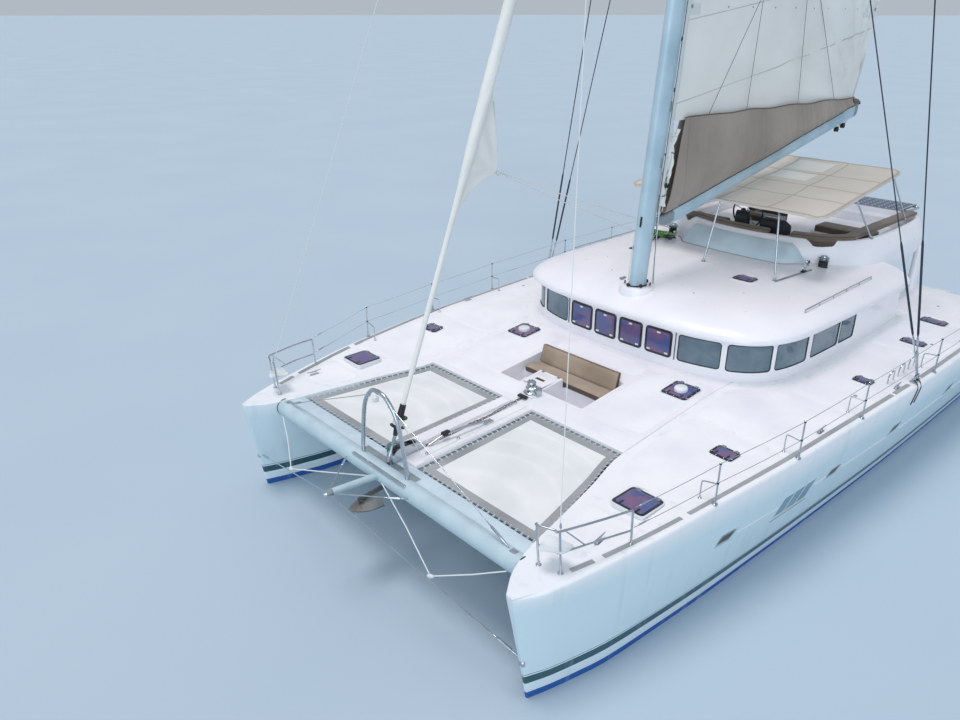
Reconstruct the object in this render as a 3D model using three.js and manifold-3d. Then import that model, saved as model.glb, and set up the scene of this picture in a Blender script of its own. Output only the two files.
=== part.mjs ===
// Sailing catamaran, afloat: two solid hulls, a bridge deck, a hollow coachroof, a flybridge,
// and a rig with its sails set. Millimetres, +Z up, bow towards -Y, port side at +X.
// Places are written by station: s is the distance aft of the stem at the waterline, and
// z is the height above the waterline. The boat group moves them to an origin amidships.
import * as THREE from 'three';
import { mergeVertices } from 'three/addons/utils/BufferGeometryUtils.js';
import Module from 'manifold-3d';

const wasm = await Module();
wasm.setup();

// Driving dimensions
const MIDSHIP = 7600;
const FIT = 0.3;
const HULL_CENTRE = 3150;
const STERN = 15300;
const DECK = 1970;
const WELL_SIDE = 2140;
const RAKE = THREE.MathUtils.degToRad(5);
const MAST_FOOT = [0, 5890, 3030];
const MAST_LENGTH = 20500;
const MAST_HALF_WIDTH = 120;
const MAST_HALF_DEPTH = 200;
const HOUNDS = [0, 7360, 19870];
const BEAM = { s: 280, z: 1545, radius: 140, reach: 2780 };
const ROOF_TOP = 3090;
const COACHROOF_AFT = 10800;
const WALL = 60;
const FLY_FLOOR = 3200;
const BIMINI = { front: 8200, frontZ: 4280, aft: 11400, aftZ: 4700, half: 2070, thick: 50 };
const BOOM_HINGE_GAP = 55;

const COLOURS = {
  gelcoat: ['#eef1f4', 0.35, 0],
  antifoul: ['#1f4f94', 0.7, 0],
  steel: ['#c9ced2', 0.25, 1],
  alloy: ['#d5d9dc', 0.4, 0.8],
  bronze: ['#9a7b4a', 0.4, 0.9],
  glass: ['#5f7778', 0.08, 0],
  tinted: ['#4a4380', 0.15, 0],
  cushion: ['#94806e', 0.9, 0],
  cover: ['#8b7768', 0.9, 0],
  canvas: ['#c8b9a6', 0.9, 0],
  sail: ['#e9e7e1', 0.85, 0],
  net: ['#cfd6d6', 0.9, 0],
  black: ['#191b1e', 0.5, 0],
  wire: ['#16202f', 0.45, 0.3],
  wood: ['#8a6844', 0.6, 0],
  solar: ['#3d5a78', 0.2, 0],
};

// Geometry helpers

// A closed skin over rings of equal length, with a flat cap on each end.
// flat(point) gives the two coordinates in which the end rings are capped.
function loft(rings, flat) {
  const count = rings[0].length;
  const faces = [];
  for (let r = 0; r + 1 < rings.length; r++) {
    for (let i = 0; i < count; i++) {
      const a = r * count + i;
      const b = r * count + ((i + 1) % count);
      faces.push([a, b, b + count], [a, b + count, a + count]);
    }
  }
  const capped = (ring, base, forward) => {
    const outline = ring.map((p) => new THREE.Vector2(...flat(p)));
    const turn = Math.sign(THREE.ShapeUtils.area(outline));
    for (const [a, b, c] of THREE.ShapeUtils.triangulateShape(outline, [])) {
      const same = Math.sign(THREE.ShapeUtils.area([outline[a], outline[b], outline[c]])) === turn;
      const [p, q] = same === forward ? [b, c] : [c, b];
      faces.push([base + a, base + p, base + q]);
    }
  };
  capped(rings[0], 0, false);
  capped(rings.at(-1), (rings.length - 1) * count, true);
  return facing(rings.flat(), faces);
}

// A geometry from points and triangles, turned so that its volume is positive.
function facing(points, faces) {
  const corner = (i) => new THREE.Vector3(...points[i]);
  let volume = 0;
  for (const [a, b, c] of faces) volume += corner(a).dot(corner(b).cross(corner(c)));
  const index = faces.flatMap(([a, b, c]) => (volume > 0 ? [a, b, c] : [a, c, b]));
  const geometry = new THREE.BufferGeometry();
  geometry.setAttribute('position', new THREE.Float32BufferAttribute(points.flat(), 3));
  geometry.setIndex(index);
  geometry.computeVertexNormals();
  return geometry;
}

const inSection = (p) => [p[0], p[2]];
const inPlan = (p) => [p[0], p[1]];

function toSolid(geometry) {
  const bare = geometry.clone();
  bare.deleteAttribute('normal');
  bare.deleteAttribute('uv');
  const merged = mergeVertices(bare, 1e-3);
  return new wasm.Manifold(new wasm.Mesh({
    numProp: 3,
    vertProperties: new Float32Array(merged.attributes.position.array),
    triVerts: new Uint32Array(merged.index.array),
  }));
}

function toGeometry(solid) {
  const mesh = solid.getMesh();
  const geometry = new THREE.BufferGeometry();
  geometry.setAttribute('position', new THREE.BufferAttribute(new Float32Array(mesh.vertProperties), 3));
  geometry.setIndex(new THREE.BufferAttribute(new Uint32Array(mesh.triVerts), 1));
  geometry.computeVertexNormals();
  return geometry;
}

const join = (...pieces) => toGeometry(pieces.map(toSolid).reduce((sum, next) => sum.add(next)));
const cut = (base, ...tools) => toGeometry(tools.map(toSolid).reduce((rest, tool) => rest.subtract(tool), toSolid(base)));
const moved = (geometry, x, s, z) => geometry.clone().translate(x, s, z);

// The same shape on the other side of the centreline.
function mirrored(geometry) {
  const twin = mergeVertices(stripped(geometry), 1e-3);
  twin.scale(-1, 1, 1);
  const index = Array.from(twin.index.array);
  for (let i = 0; i < index.length; i += 3) [index[i + 1], index[i + 2]] = [index[i + 2], index[i + 1]];
  twin.setIndex(index);
  twin.computeVertexNormals();
  return twin;
}

function stripped(geometry) {
  const bare = geometry.clone();
  bare.deleteAttribute('normal');
  bare.deleteAttribute('uv');
  return bare;
}

function block(x0, x1, s0, s1, z0, z1) {
  return new THREE.BoxGeometry(x1 - x0, s1 - s0, z1 - z0)
    .translate((x0 + x1) / 2, (s0 + s1) / 2, (z0 + z1) / 2);
}

// A plan outline of [x, s] points, extruded from z0 up to z1.
function slab(outline, z0, z1) {
  const shape = new THREE.Shape(outline.map(([x, s]) => new THREE.Vector2(x, s)));
  return new THREE.ExtrudeGeometry(shape, { depth: z1 - z0, bevelEnabled: false }).translate(0, 0, z0);
}

// A side profile of [s, z] points, extruded across the boat from x0 to x1.
function profile(outline, x0, x1) {
  const shape = new THREE.Shape(outline.map(([s, z]) => new THREE.Vector2(s, z)));
  const across = new THREE.Matrix4().set(0, 0, 1, x0, 1, 0, 0, 0, 0, 1, 0, 0, 0, 0, 0, 1);
  return new THREE.ExtrudeGeometry(shape, { depth: x1 - x0, bevelEnabled: false }).applyMatrix4(across);
}

// A frontal outline of [x, z] points, extruded along the boat from s0 to s1.
function bulkhead(outline, s0, s1) {
  const shape = new THREE.Shape(outline.map(([x, z]) => new THREE.Vector2(x, z)));
  return new THREE.ExtrudeGeometry(shape, { depth: s1 - s0, bevelEnabled: false })
    .rotateX(Math.PI / 2).translate(0, s1, 0);
}

function rod(from, to, radius, sides = 8, endRadius = radius) {
  const a = new THREE.Vector3(...from);
  const b = new THREE.Vector3(...to);
  const along = b.clone().sub(a);
  const turn = new THREE.Quaternion().setFromUnitVectors(new THREE.Vector3(0, 1, 0), along.clone().normalize());
  return new THREE.CylinderGeometry(endRadius, radius, along.length(), sides)
    .applyQuaternion(turn).translate((a.x + b.x) / 2, (a.y + b.y) / 2, (a.z + b.z) / 2);
}

// A round bar bent smoothly through the points.
function bentBar(points, radius, steps, sides = 6) {
  const path = new THREE.CatmullRomCurve3(points.map((p) => new THREE.Vector3(...p)), false, 'centripetal');
  const section = new THREE.Shape();
  section.absarc(0, 0, radius, 0, 2 * Math.PI, false);
  const ring = new THREE.Shape(section.getSpacedPoints(sides).slice(0, sides));
  return new THREE.ExtrudeGeometry(ring, { steps, extrudePath: path, bevelEnabled: false });
}

const mix = (a, b, t) => a + (b - a) * t;
const onBothSides = (points) => [...points, ...points.slice(1).reverse().map(([x, s]) => [-x, s])];

// Scene graph
const boat = new THREE.Group();
boat.position.set(0, -MIDSHIP, 0);

function add(name, colour, geometry) {
  const [hex, roughness, metalness] = COLOURS[colour];
  const mesh = new THREE.Mesh(geometry, new THREE.MeshStandardMaterial({ color: hex, roughness, metalness }));
  mesh.name = name;
  boat.add(mesh);
  return geometry;
}

function addPair(name, colour, portGeometry) {
  add(`${name}_port`, colour, portGeometry);
  const starboardGeometry = add(`${name}_starboard`, colour, mirrored(portGeometry));
  return [portGeometry, starboardGeometry];
}

// Hulls. Each section is one row: station, forward rake of the section, keel depth, half width
// of the flat keel, half breadth at the waterline, gunwale x and z, inner deck edge x,
// deck height and height of the inner knee.
const HULL_SECTIONS = [
  [0, 0.17, -60, 12, 25, 3170, 1640, 3050, 1655, 1500],
  [300, 0.15, -260, 20, 110, 3350, 1660, 2820, 1665, 1510],
  [600, 0.12, -400, 30, 180, 3440, 1690, 2690, 1690, 1530],
  [1100, 0.08, -520, 60, 280, 3560, 1730, 2570, 1705, 1545],
  [2000, 0.03, -620, 80, 350, 3730, 1800, 2360, 1735, 1570],
  [2930, 0, -660, 100, 410, 3850, 1850, WELL_SIDE, 1770, 1500],
  [4430, 0, -700, 120, 470, 4010, 1890, WELL_SIDE, 1910, 950],
  [5200, 0, -720, 140, 500, 4060, 1900, WELL_SIDE, DECK, 950],
  [9200, 0, -720, 140, 600, 4250, 1930, WELL_SIDE, DECK, 950],
  [11000, 0, -560, 140, 610, 4265, 1930, WELL_SIDE, DECK, 950],
  [12000, 0, -560, 140, 610, 4265, 1930, WELL_SIDE, DECK, 950],
  [13500, 0, -340, 140, 590, 4230, 1860, WELL_SIDE, 1900, 950],
  [14300, 0, -340, 140, 570, 4180, 1430, 2440, 1450, 650],
  [14800, 0, -200, 120, 550, 4140, 1020, 2520, 1030, 480],
  [STERN, 0, -60, 100, 530, 4090, 640, 2600, 640, 300],
];
const BILGE_ANGLES = [30, 60];

function hullRing([s, rake, keelZ, keelHalf, waterHalf, gunX, gunZ, innerX, deckZ, kneeZ]) {
  const bilge = (side) => BILGE_ANGLES.map((degrees) => {
    const angle = THREE.MathUtils.degToRad(degrees);
    return [HULL_CENTRE + side * mix(keelHalf, waterHalf, Math.sin(angle)), keelZ * Math.cos(angle)];
  });
  const waterOut = HULL_CENTRE + waterHalf;
  const waterIn = HULL_CENTRE - waterHalf;
  const section = [
    [HULL_CENTRE - keelHalf, keelZ],
    [HULL_CENTRE + keelHalf, keelZ],
    ...bilge(1),
    [waterOut, 0],
    [mix(waterOut, gunX, 0.66), 0.55 * gunZ],
    [gunX, gunZ - 70],
    [gunX - 30, gunZ],
    [mix(innerX, gunX, 0.42), deckZ],
    [innerX, deckZ],
    [innerX, kneeZ],
    [mix(waterIn, innerX, 0.4), 0.5 * kneeZ],
    [waterIn, 0],
    ...bilge(-1).reverse(),
  ];
  return section.map(([x, z]) => [x, s - rake * z, z]);
}

// Boarding steps cut into the stern: forward end and tread height of each.
const STERN_STEPS = [[13350, 1620], [13750, 1300], [14150, 980], [14550, 660], [14900, 400]];
const FOREDECK_HATCH = { x0: 2800, x1: 3330, s0: 1780, s1: 2290, top: 1815 };

function hull() {
  const { x0, x1, s0, s1, top } = FOREDECK_HATCH;
  const body = loft(HULL_SECTIONS.map(hullRing), inSection);
  const steps = STERN_STEPS.map(([s, z]) => block(2780, 3880, s, STERN + 100, z, 2300));
  const coaming = block(x0 + 20, x1 - 20, s0 + 20, s1 - 20, 1600, top - 30 - FIT);
  return join(cut(body, ...steps), coaming);
}

const [hullPort, hullStarboard] = addPair('hull', 'gelcoat', hull());
const bothHulls = (x, s, z) => [moved(hullPort, x, s, z), moved(hullStarboard, -x, s, z)];

// A foil section of [x, s] points around the hull's centre.
function foil(leading, trailing, half) {
  const chord = trailing - leading;
  return [[0, 0], [0.55, 0.06], [1, 0.28], [0.8, 0.6], [0.12, 1], [-0.12, 1], [-0.8, 0.6], [-1, 0.28], [-0.55, 0.06]]
    .map(([across, along]) => [HULL_CENTRE + across * half, leading + along * chord]);
}

function foilBody(top, bottom) {
  const ring = ({ leading, trailing, half, z }) => foil(leading, trailing, half).map(([x, s]) => [x, s, z]);
  return loft([ring(bottom), ring(top)], inPlan);
}

addPair('keel', 'antifoul', foilBody(
  { leading: 6300, trailing: 8900, half: 125, z: -720 - FIT },
  { leading: 6750, trailing: 8750, half: 90, z: -1400 },
));

const RUDDER_STOCK = 13900;
addPair('rudder', 'antifoul', join(
  foilBody(
    { leading: 13720, trailing: 14240, half: 40, z: -370 },
    { leading: 13760, trailing: 14180, half: 26, z: -1180 },
  ),
  rod([HULL_CENTRE, RUDDER_STOCK, -420], [HULL_CENTRE, RUDDER_STOCK, -340 - FIT], 32, 12),
));

const SHAFT = { z: -940, aft: 11900 };
addPair('drive_leg', 'alloy', join(
  foilBody(
    { leading: 11180, trailing: 11720, half: 70, z: -560 - FIT },
    { leading: 11300, trailing: 11660, half: 45, z: SHAFT.z },
  ),
  rod([HULL_CENTRE, 11120, SHAFT.z], [HULL_CENTRE, 11300, SHAFT.z], 30, 12, 85),
  rod([HULL_CENTRE, 11300, SHAFT.z], [HULL_CENTRE, SHAFT.aft, SHAFT.z], 85, 12),
));

function propeller() {
  const hubEnd = SHAFT.aft + 150;
  const hub = rod([HULL_CENTRE, SHAFT.aft + FIT, SHAFT.z], [HULL_CENTRE, hubEnd, SHAFT.z], 60, 12, 25);
  const blades = [0, 1, 2].map((k) => new THREE.BoxGeometry(105, 14, 190)
    .rotateZ(THREE.MathUtils.degToRad(28)).translate(0, 0, 130)
    .rotateY((k * 2 * Math.PI) / 3).translate(HULL_CENTRE, SHAFT.aft + 75, SHAFT.z));
  return join(hub, ...blades);
}
addPair('propeller', 'bronze', propeller());

// Bridge deck with the forward cockpit's well, the saloon and aft cockpit sole, and its underside.
const SOLE = 1350;
const BENCH = { half: 920, front: 3950, back: 4430, seatZ: 1700, lean: 0.26 };

function bridgeDeck() {
  const side = WELL_SIDE - FIT;
  const body = profile([
    [2930, 1450], [2930, 1770], [4430, 1910], [5200, DECK], [5760, DECK], [5760, SOLE],
    [13500, SOLE], [13500, 980], [12900, 900], [4600, 900], [3500, 1100],
  ], -side, side);
  const { half, front, back, seatZ, lean } = BENCH;
  const wells = [block(60, half, 3430, front + 1, 1350, 2200), block(-half, -450, 3430, front + 1, 1350, 2200)];
  const seat = profile([[front, seatZ], [back, seatZ], [back + lean * 500, seatZ + 500], [front, 2200]], -half, half);
  return cut(body, ...wells, seat);
}
const bridge = add('bridge_deck', 'gelcoat', bridgeDeck());

// Coachroof. Its plan is a half outline of [x, s], and each level is a height and an inset.
const ROOF_OUTLINE = [
  [0, 5420], [700, 5440], [1400, 5500], [1920, 5650], [2200, 5790], [2400, 5980], [2540, 6230],
  [2650, 6600], [2700, 7100], [2730, 8000], [2750, 9000], [2740, 10000], [2700, COACHROOF_AFT],
];
const ROOF_LEVELS = [
  [DECK + FIT, 0], [2655, 0], [2665, -95], [2720, -135], [2800, -110], [2890, 20],
  [2975, 260], [3045, 700], [ROOF_TOP, 1300],
];
const ROOM_LEVELS = [[1900, WALL], [2640, WALL], [2840, 200], [2930, 700], [2970, 1300]];

// A half outline moved inwards by an inset, along the normals of its points.
function insetOutline(half, inset) {
  return half.map(([x, s], i) => {
    const [x0, s0] = half[Math.max(i - 1, 0)];
    const [x1, s1] = half[Math.min(i + 1, half.length - 1)];
    if (i === 0) return [x, s + inset];
    if (i === half.length - 1) return [x - inset, s];
    const length = Math.hypot(x1 - x0, s1 - s0);
    return [x - (inset * (s1 - s0)) / length, s + (inset * (x1 - x0)) / length];
  });
}

// The half outline drawn in towards the aft end of the centreline, for the roof above the walls.
function drawnIn(half, inset) {
  const across = 1 - inset / half.at(-1)[0];
  const along = 1 - inset / (half.at(-1)[1] - half[0][1]);
  return half.map(([x, s]) => [x * across, COACHROOF_AFT - (COACHROOF_AFT - s) * along]);
}

function roofRing(z, inset) {
  const half = inset === WALL ? insetOutline(ROOF_OUTLINE, WALL) : drawnIn(ROOF_OUTLINE, inset);
  return onBothSides(half).map(([x, s]) => [x, s, z]);
}
const roofBody = loft(ROOF_LEVELS.map(([z, inset]) => roofRing(z, inset)), inPlan);

// Window panes on the port half, each by its ends in plan; the cut runs out from the cabin.
const WINDOW = { sill: 2150, head: 2610, eye: [600, 7800] };
const PANES = [
  [[60, 5300], [450, 5300]], [[560, 5300], [990, 5300]], [[1220, 5300], [1920, 5500]],
  [[2040, 5540], [2300, 5650], [2640, 6230]], [[2660, 6330], [2850, 7010]],
  [[2900, 7210], [2900, 8170]], [[2900, 8230], [2900, 8690]],
];

function paneCuts(side) {
  return PANES.map((pane, i) => {
    const straight = i < 2 || i > 4;
    const inner = straight ? pane.map(([x, s]) => (i < 2 ? [x, 5800] : [2400, s])).reverse() : [WINDOW.eye];
    const outline = [...pane, ...inner].map(([x, s]) => [side * x, s]);
    return slab(outline, WINDOW.sill, WINDOW.head);
  });
}

function coachroof() {
  const room = ROOM_LEVELS.map(([z, inset]) => roofRing(z, inset).map(([x, s, h]) => (
    s === COACHROOF_AFT ? [x, s + 100, h] : [x, s, h])));
  return cut(roofBody, loft(room, inPlan), ...paneCuts(1), ...paneCuts(-1));
}
add('coachroof', 'gelcoat', coachroof());

// One band of glass inside the window wall, open across the stern.
function glassBand() {
  const face = (inset) => onBothSides(insetOutline(ROOF_OUTLINE.slice(0, 12), inset)).map(([x, s]) => [x, s]);
  const outer = face(WALL + FIT);
  const inner = face(WALL + 12);
  const ends = 12;
  const path = (loop) => [...loop.slice(ends), ...loop.slice(0, ends)];
  return slab([...path(outer), ...path(inner).reverse()], 2120, 2636);
}
add('cabin_glass', 'glass', glassBand());

// Saloon bulkhead across the aft end, with its doorway, and the sliding door behind it.
const DOORWAY = { x0: -850, x1: 450, top: 2650 };

function saloonBulkhead() {
  const half = [[WELL_SIDE - 1, SOLE + FIT], [WELL_SIDE - 1, DECK + 2 * FIT], [2638, DECK + 2 * FIT], [2638, 2636],
    [2494, 2836], [1996, 2926], [1396, 2964]];
  const outline = [...half, ...half.slice().reverse().map(([x, z]) => [-x, z])];
  const doorway = block(DOORWAY.x0, DOORWAY.x1, 10600, 10900, SOLE - 10, DOORWAY.top);
  return cut(bulkhead(outline, 10690, 10750), doorway);
}
add('saloon_bulkhead', 'gelcoat', saloonBulkhead());
add('saloon_door', 'glass', block(DOORWAY.x0 - 60, DOORWAY.x1 + 60, 10756, 10790, SOLE + FIT, DOORWAY.top + 60));

// Plain furniture seen through the windows: a sofa along the port side and a counter opposite.
add('saloon_furniture', 'wood', join(
  block(-1900, 1900, 6300, 6900, SOLE + FIT, 1800),
  block(1300, 1900, 6850, 9600, SOLE + FIT, 1800),
  block(-1900, -1250, 6850, 9400, SOLE + FIT, 2080),
  block(300, 1320, 7500, 8700, 1980, 2030),
  block(700, 900, 7900, 8300, SOLE + FIT, 2000),
  block(800, 1310, 8050, 8150, SOLE + FIT, 1500),
));

// Flybridge moulding: it lies on the roof, runs aft as the cockpit's hardtop and stands on two legs.
const FLY_OUTLINE = [
  [0, 9150], [800, 9230], [1500, 9480], [1950, 9850], [2200, 10400], [2290, 11200],
  [2270, 12400], [2150, 13050], [1900, 13350],
];
const FLY_LEVELS = [[2860, 60], [2920, 0], [3150, 0], [3440, 110], [3500, 170]];
const LEDGE = 3380;

function flyRing(z, inset) {
  const half = insetOutline(FLY_OUTLINE, inset).slice(0, -1);
  half.push([1900 - inset, 13350 - inset]);
  return onBothSides(half).map(([x, s]) => [x, s, z]);
}

function flybridge() {
  const body = loft(FLY_LEVELS.map(([z, inset]) => flyRing(z, inset)), inPlan);
  const upper = loft([flyRing(LEDGE, 230), flyRing(3600, 230)], inPlan);
  const footwell = slab([[-600, 9500], [800, 9500], [800, 9980], [1850, 9980], [1850, 10640], [760, 10640],
    [760, 11180], [1850, 11180], [1850, 12900], [-1850, 12900], [-1850, 9980], [-600, 9980]], FLY_FLOOR, 3600);
  const legs = [-1, 1].map((side) => block(2180 * side - 60, 2180 * side + 60, 12850, 13050, 1800, 3000));
  const shell = cut(body, upper, footwell, moved(roofBody, 0, FIT, FIT));
  return cut(join(shell, ...legs), ...bothHulls(0, 0, FIT));
}
const fly = add('flybridge', 'gelcoat', flybridge());

// Cushions
const seatCushion = (x0, x1, s0, s1, z, thick) => block(x0, x1, s0, s1, z + FIT, z + thick);
const BACK_TOP = 2110;
const backFace = (z) => BENCH.back + BENCH.lean * (z - BENCH.seatZ) - 2 * FIT;
add('bow_seat_cushion', 'cushion', seatCushion(-870, 870, BENCH.front, BENCH.back - 90, BENCH.seatZ, 110));
add('bow_back_cushion', 'cushion', profile([
  [BENCH.back - 90 + FIT, BENCH.seatZ + FIT], [backFace(BENCH.seatZ), BENCH.seatZ + FIT], [backFace(BACK_TOP), BACK_TOP],
  [backFace(BACK_TOP) - 90, BACK_TOP], [BENCH.back - 90 + FIT, 1830],
], -870, 870));
const inFly = (side, geometry) => cut(geometry, moved(fly, 0, FIT, 0), moved(fly, 0, -FIT, 0), moved(fly, 0, 0, FIT),
  moved(fly, -side * FIT, 0, 0));
add('fly_cushion_port', 'cushion', inFly(1, seatCushion(820, 1760, 9500, 9960, LEDGE, 130)));
add('fly_cushion_starboard', 'cushion', inFly(-1, seatCushion(-1760, -620, 9500, 9960, LEDGE, 130)));
add('fly_cushion_aft', 'cushion', inFly(1, seatCushion(800, 1990, 10660, 11160, LEDGE, 130)));

// Helm: a console with the wheel's pedestal, the wheel and its seat.
const WHEEL = { x: -200, s: 9790, z: 3740, radius: 330, rim: 16 };
add('helm_console', 'black', join(
  block(210, 740, 9560, 9880, FLY_FLOOR + FIT, 3720),
  block(-330, -70, 9520, 9700, FLY_FLOOR + FIT, 3800),
  block(-100, 300, 9560, 9680, FLY_FLOOR + FIT, 3420),
));

function steeringWheel() {
  const rim = new THREE.TorusGeometry(WHEEL.radius, WHEEL.rim, 6, 20).rotateX(Math.PI / 2);
  const spokes = [0, 1, 2].map((k) => rod([0, 0, 0], [0, 0, WHEEL.radius], 11, 6).rotateY((k * 2 * Math.PI) / 3));
  const hub = rod([0, 9700 + FIT - WHEEL.s, 0], [0, 20, 0], 38, 12);
  return join(rim, hub, ...spokes).translate(WHEEL.x, WHEEL.s, WHEEL.z);
}
add('steering_wheel', 'black', steeringWheel());
add('helm_seat', 'cushion', join(
  block(-650, 300, 10300, 10600, FLY_FLOOR + FIT, 3560),
  block(-650, 300, 10560, 10620, 3500, 3850),
));

// Bimini: a flat canopy on a tubular frame that stands on the roof and the flybridge.
function biminiPlane(s) {
  const { front, frontZ, aft, aftZ } = BIMINI;
  return mix(frontZ, aftZ, (s - front) / (aft - front));
}

function canopy() {
  const { front, aft, half, thick } = BIMINI;
  const edge = 140;
  const sections = [[front, half - edge], [front + edge, half], [aft - edge, half], [aft, half - edge]];
  return loft(sections.map(([s, x]) => [
    [-x, s, biminiPlane(s) - thick], [x, s, biminiPlane(s) - thick], [x, s, biminiPlane(s)], [-x, s, biminiPlane(s)],
  ]), inSection);
}
add('bimini', 'canvas', canopy());

const TUBE = 16;
const FRAME_HOOPS = [8330, 9700, 11270];
const FRAME_LEGS = [
  [[0, 7980, 3000], [0, 8330]], [[1530, 7900, 3000], [1200, 8330]], [[-1530, 7900, 3000], [-1200, 8330]],
  [[2060, 10500, 3300], [1930, 9700]], [[-2060, 10500, 3300], [-1930, 9700]],
  [[1980, 12500, 3300], [1930, 11270]], [[-1980, 12500, 3300], [-1930, 11270]],
];

function biminiFrame() {
  const slope = Math.atan2(BIMINI.aftZ - BIMINI.frontZ, BIMINI.aft - BIMINI.front);
  const under = (s) => biminiPlane(s) - BIMINI.thick - (TUBE + FIT) / Math.cos(slope);
  const hoops = FRAME_HOOPS.map((s) => rod([-1950, s, under(s)], [1950, s, under(s)], TUBE, 8));
  const rails = [-1, 1].map((side) => rod([side * 1930, 8330, under(8330)], [side * 1930, 11270, under(11270)], TUBE, 8));
  const legs = FRAME_LEGS.map(([foot, [x, s]]) => rod(foot, [x, s, under(s)], TUBE, 6));
  return cut(join(...hoops, ...rails, ...legs), moved(roofBody, 0, 0, FIT), moved(fly, 0, 0, FIT));
}
add('bimini_frame', 'steel', biminiFrame());

// Rig. The mast's own frame has its origin at the foot, z along the mast and y aft of it.
const mastMatrix = new THREE.Matrix4().makeRotationX(-RAKE).setPosition(...MAST_FOOT);
const rigged = (geometry) => geometry.applyMatrix4(mastMatrix);
const intoMast = mastMatrix.clone().invert();
function alongMast(s, z) {
  const p = new THREE.Vector3(0, s, z).applyMatrix4(intoMast);
  return [p.y, p.z];
}
const fromMast = (x, y, z) => new THREE.Vector3(x, y, z).applyMatrix4(mastMatrix).toArray();

const HINGE_Y = MAST_HALF_DEPTH + BOOM_HINGE_GAP;
const BOOM_START = alongMast(6400, 4150);
const BOOM_END = alongMast(13510, 5530);
const BOOM_HALF_HEIGHT = 140;
const TOGGLE = { z: BOOM_START[1], half: 60, radius: 28 };
const LOWER_HOUNDS = 12250;
const UPPER_HOUNDS = 16900;
const SPREADER_TIP = [1875, 7880, 15500];
const SPREADER_ROOT = fromMast(MAST_HALF_WIDTH - 30, 40, LOWER_HOUNDS + 260);

function mast() {
  const section = new THREE.Shape();
  const straight = MAST_HALF_DEPTH - MAST_HALF_WIDTH;
  section.absarc(0, straight, MAST_HALF_WIDTH, 0, Math.PI, false);
  section.absarc(0, -straight, MAST_HALF_WIDTH, Math.PI, 2 * Math.PI, false);
  const outline = new THREE.Shape(section.extractPoints(5).shape);
  const tube = new THREE.ExtrudeGeometry(outline, { depth: MAST_LENGTH + 300, bevelEnabled: false }).translate(0, 0, -300);
  const base = new THREE.CylinderGeometry(300, 330, 300, 24).rotateX(Math.PI / 2).translate(0, 0, -110);
  const fork = [-1, 1].map((side) => block(-45, 45, MAST_HALF_DEPTH - 20, HINGE_Y + 30,
    TOGGLE.z + side * (TOGGLE.half + FIT + 9) - 9, TOGGLE.z + side * (TOGGLE.half + FIT + 9) + 9));
  const spar = rigged(join(tube, base, ...fork));
  const spreaders = [-1, 1].map((side) => rod([side * SPREADER_ROOT[0], SPREADER_ROOT[1], SPREADER_ROOT[2]],
    [side * SPREADER_TIP[0], SPREADER_TIP[1], SPREADER_TIP[2]], 45, 8, 28));
  return cut(join(spar, ...spreaders), moved(roofBody, 0, 0, FIT));
}
add('mast', 'alloy', mast());

// A body along the boom: its side outline in the mast's frame, its half width at each end.
function boomSection(y, z, halfWidth, halfHeight) {
  const corner = 0.45;
  return [[1, corner], [corner, 1], [-corner, 1], [-1, corner], [-1, -corner], [-corner, -1], [corner, -1], [1, -corner]]
    .map(([across, up]) => [across * halfWidth, y, z + up * halfHeight]);
}

function boom() {
  const [y0, z0] = BOOM_START;
  const [y1, z1] = BOOM_END;
  const at = (t) => [mix(y0, y1, t), mix(z0, z1, t)];
  const nose = boomSection(HINGE_Y + 90, TOGGLE.z, 40, 55);
  const body = loft([nose, boomSection(...at(0.03), 95, BOOM_HALF_HEIGHT), boomSection(...at(0.92), 95, BOOM_HALF_HEIGHT),
    boomSection(...at(1), 70, 105)], inSection);
  const toggle = new THREE.CylinderGeometry(TOGGLE.radius, TOGGLE.radius, 2 * TOGGLE.half, 16)
    .rotateX(Math.PI / 2).translate(0, HINGE_Y, TOGGLE.z);
  const link = block(-22, 22, HINGE_Y, HINGE_Y + 120, TOGGLE.z - 40, TOGGLE.z + 40);
  return rigged(join(body, toggle, link));
}
add('boom', 'alloy', boom());

// Sail cover: a deep bag standing on the boom, wide at its foot.
const COVER_TOP = [alongMast(6520, 5880), alongMast(13400, 5790)];
const coverTop = (y) => mix(COVER_TOP[0][1], COVER_TOP[1][1], (y - BOOM_START[0]) / (BOOM_END[0] - BOOM_START[0]));

function sailCover() {
  const floor = (t) => mix(BOOM_START[1], BOOM_END[1], t) + BOOM_HALF_HEIGHT + FIT;
  const ring = (t, halfFoot, halfTop) => {
    const y = mix(BOOM_START[0], BOOM_END[0], t);
    const top = coverTop(y);
    const low = floor(t);
    return [[-halfFoot * 0.6, low], [halfFoot * 0.6, low], [halfFoot, mix(low, top, 0.25)], [halfTop, top],
      [-halfTop, top], [-halfFoot, mix(low, top, 0.25)]].map(([x, z]) => [x, y, z]);
  };
  return rigged(loft([ring(0.02, 150, 60), ring(0.2, 230, 90), ring(0.6, 230, 90), ring(0.975, 120, 60)], inSection));
}
add('sail_cover', 'cover', sailCover());

// Mainsail: rows of luff height and leech height up the mast, chord from the luff, and camber.
const SAIL = { luffY: HINGE_Y + 30, foot: 6900, half: 7 };
const SAIL_ROWS = [
  [coverTop(SAIL.luffY) + FIT, coverTop(SAIL.luffY + SAIL.foot) + FIT, SAIL.foot, 30], [4700, 5300, 7160, 160], [7500, 7900, 6950, 250],
  [10500, 10800, 6250, 260], [13500, 13700, 5150, 220], [16200, 16300, 3800, 150], [18600, 18650, 2250, 80],
  [19900, 19900, 950, 20],
];
const CHORD_STEPS = [0, 0.12, 0.3, 0.5, 0.75, 1];

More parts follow.
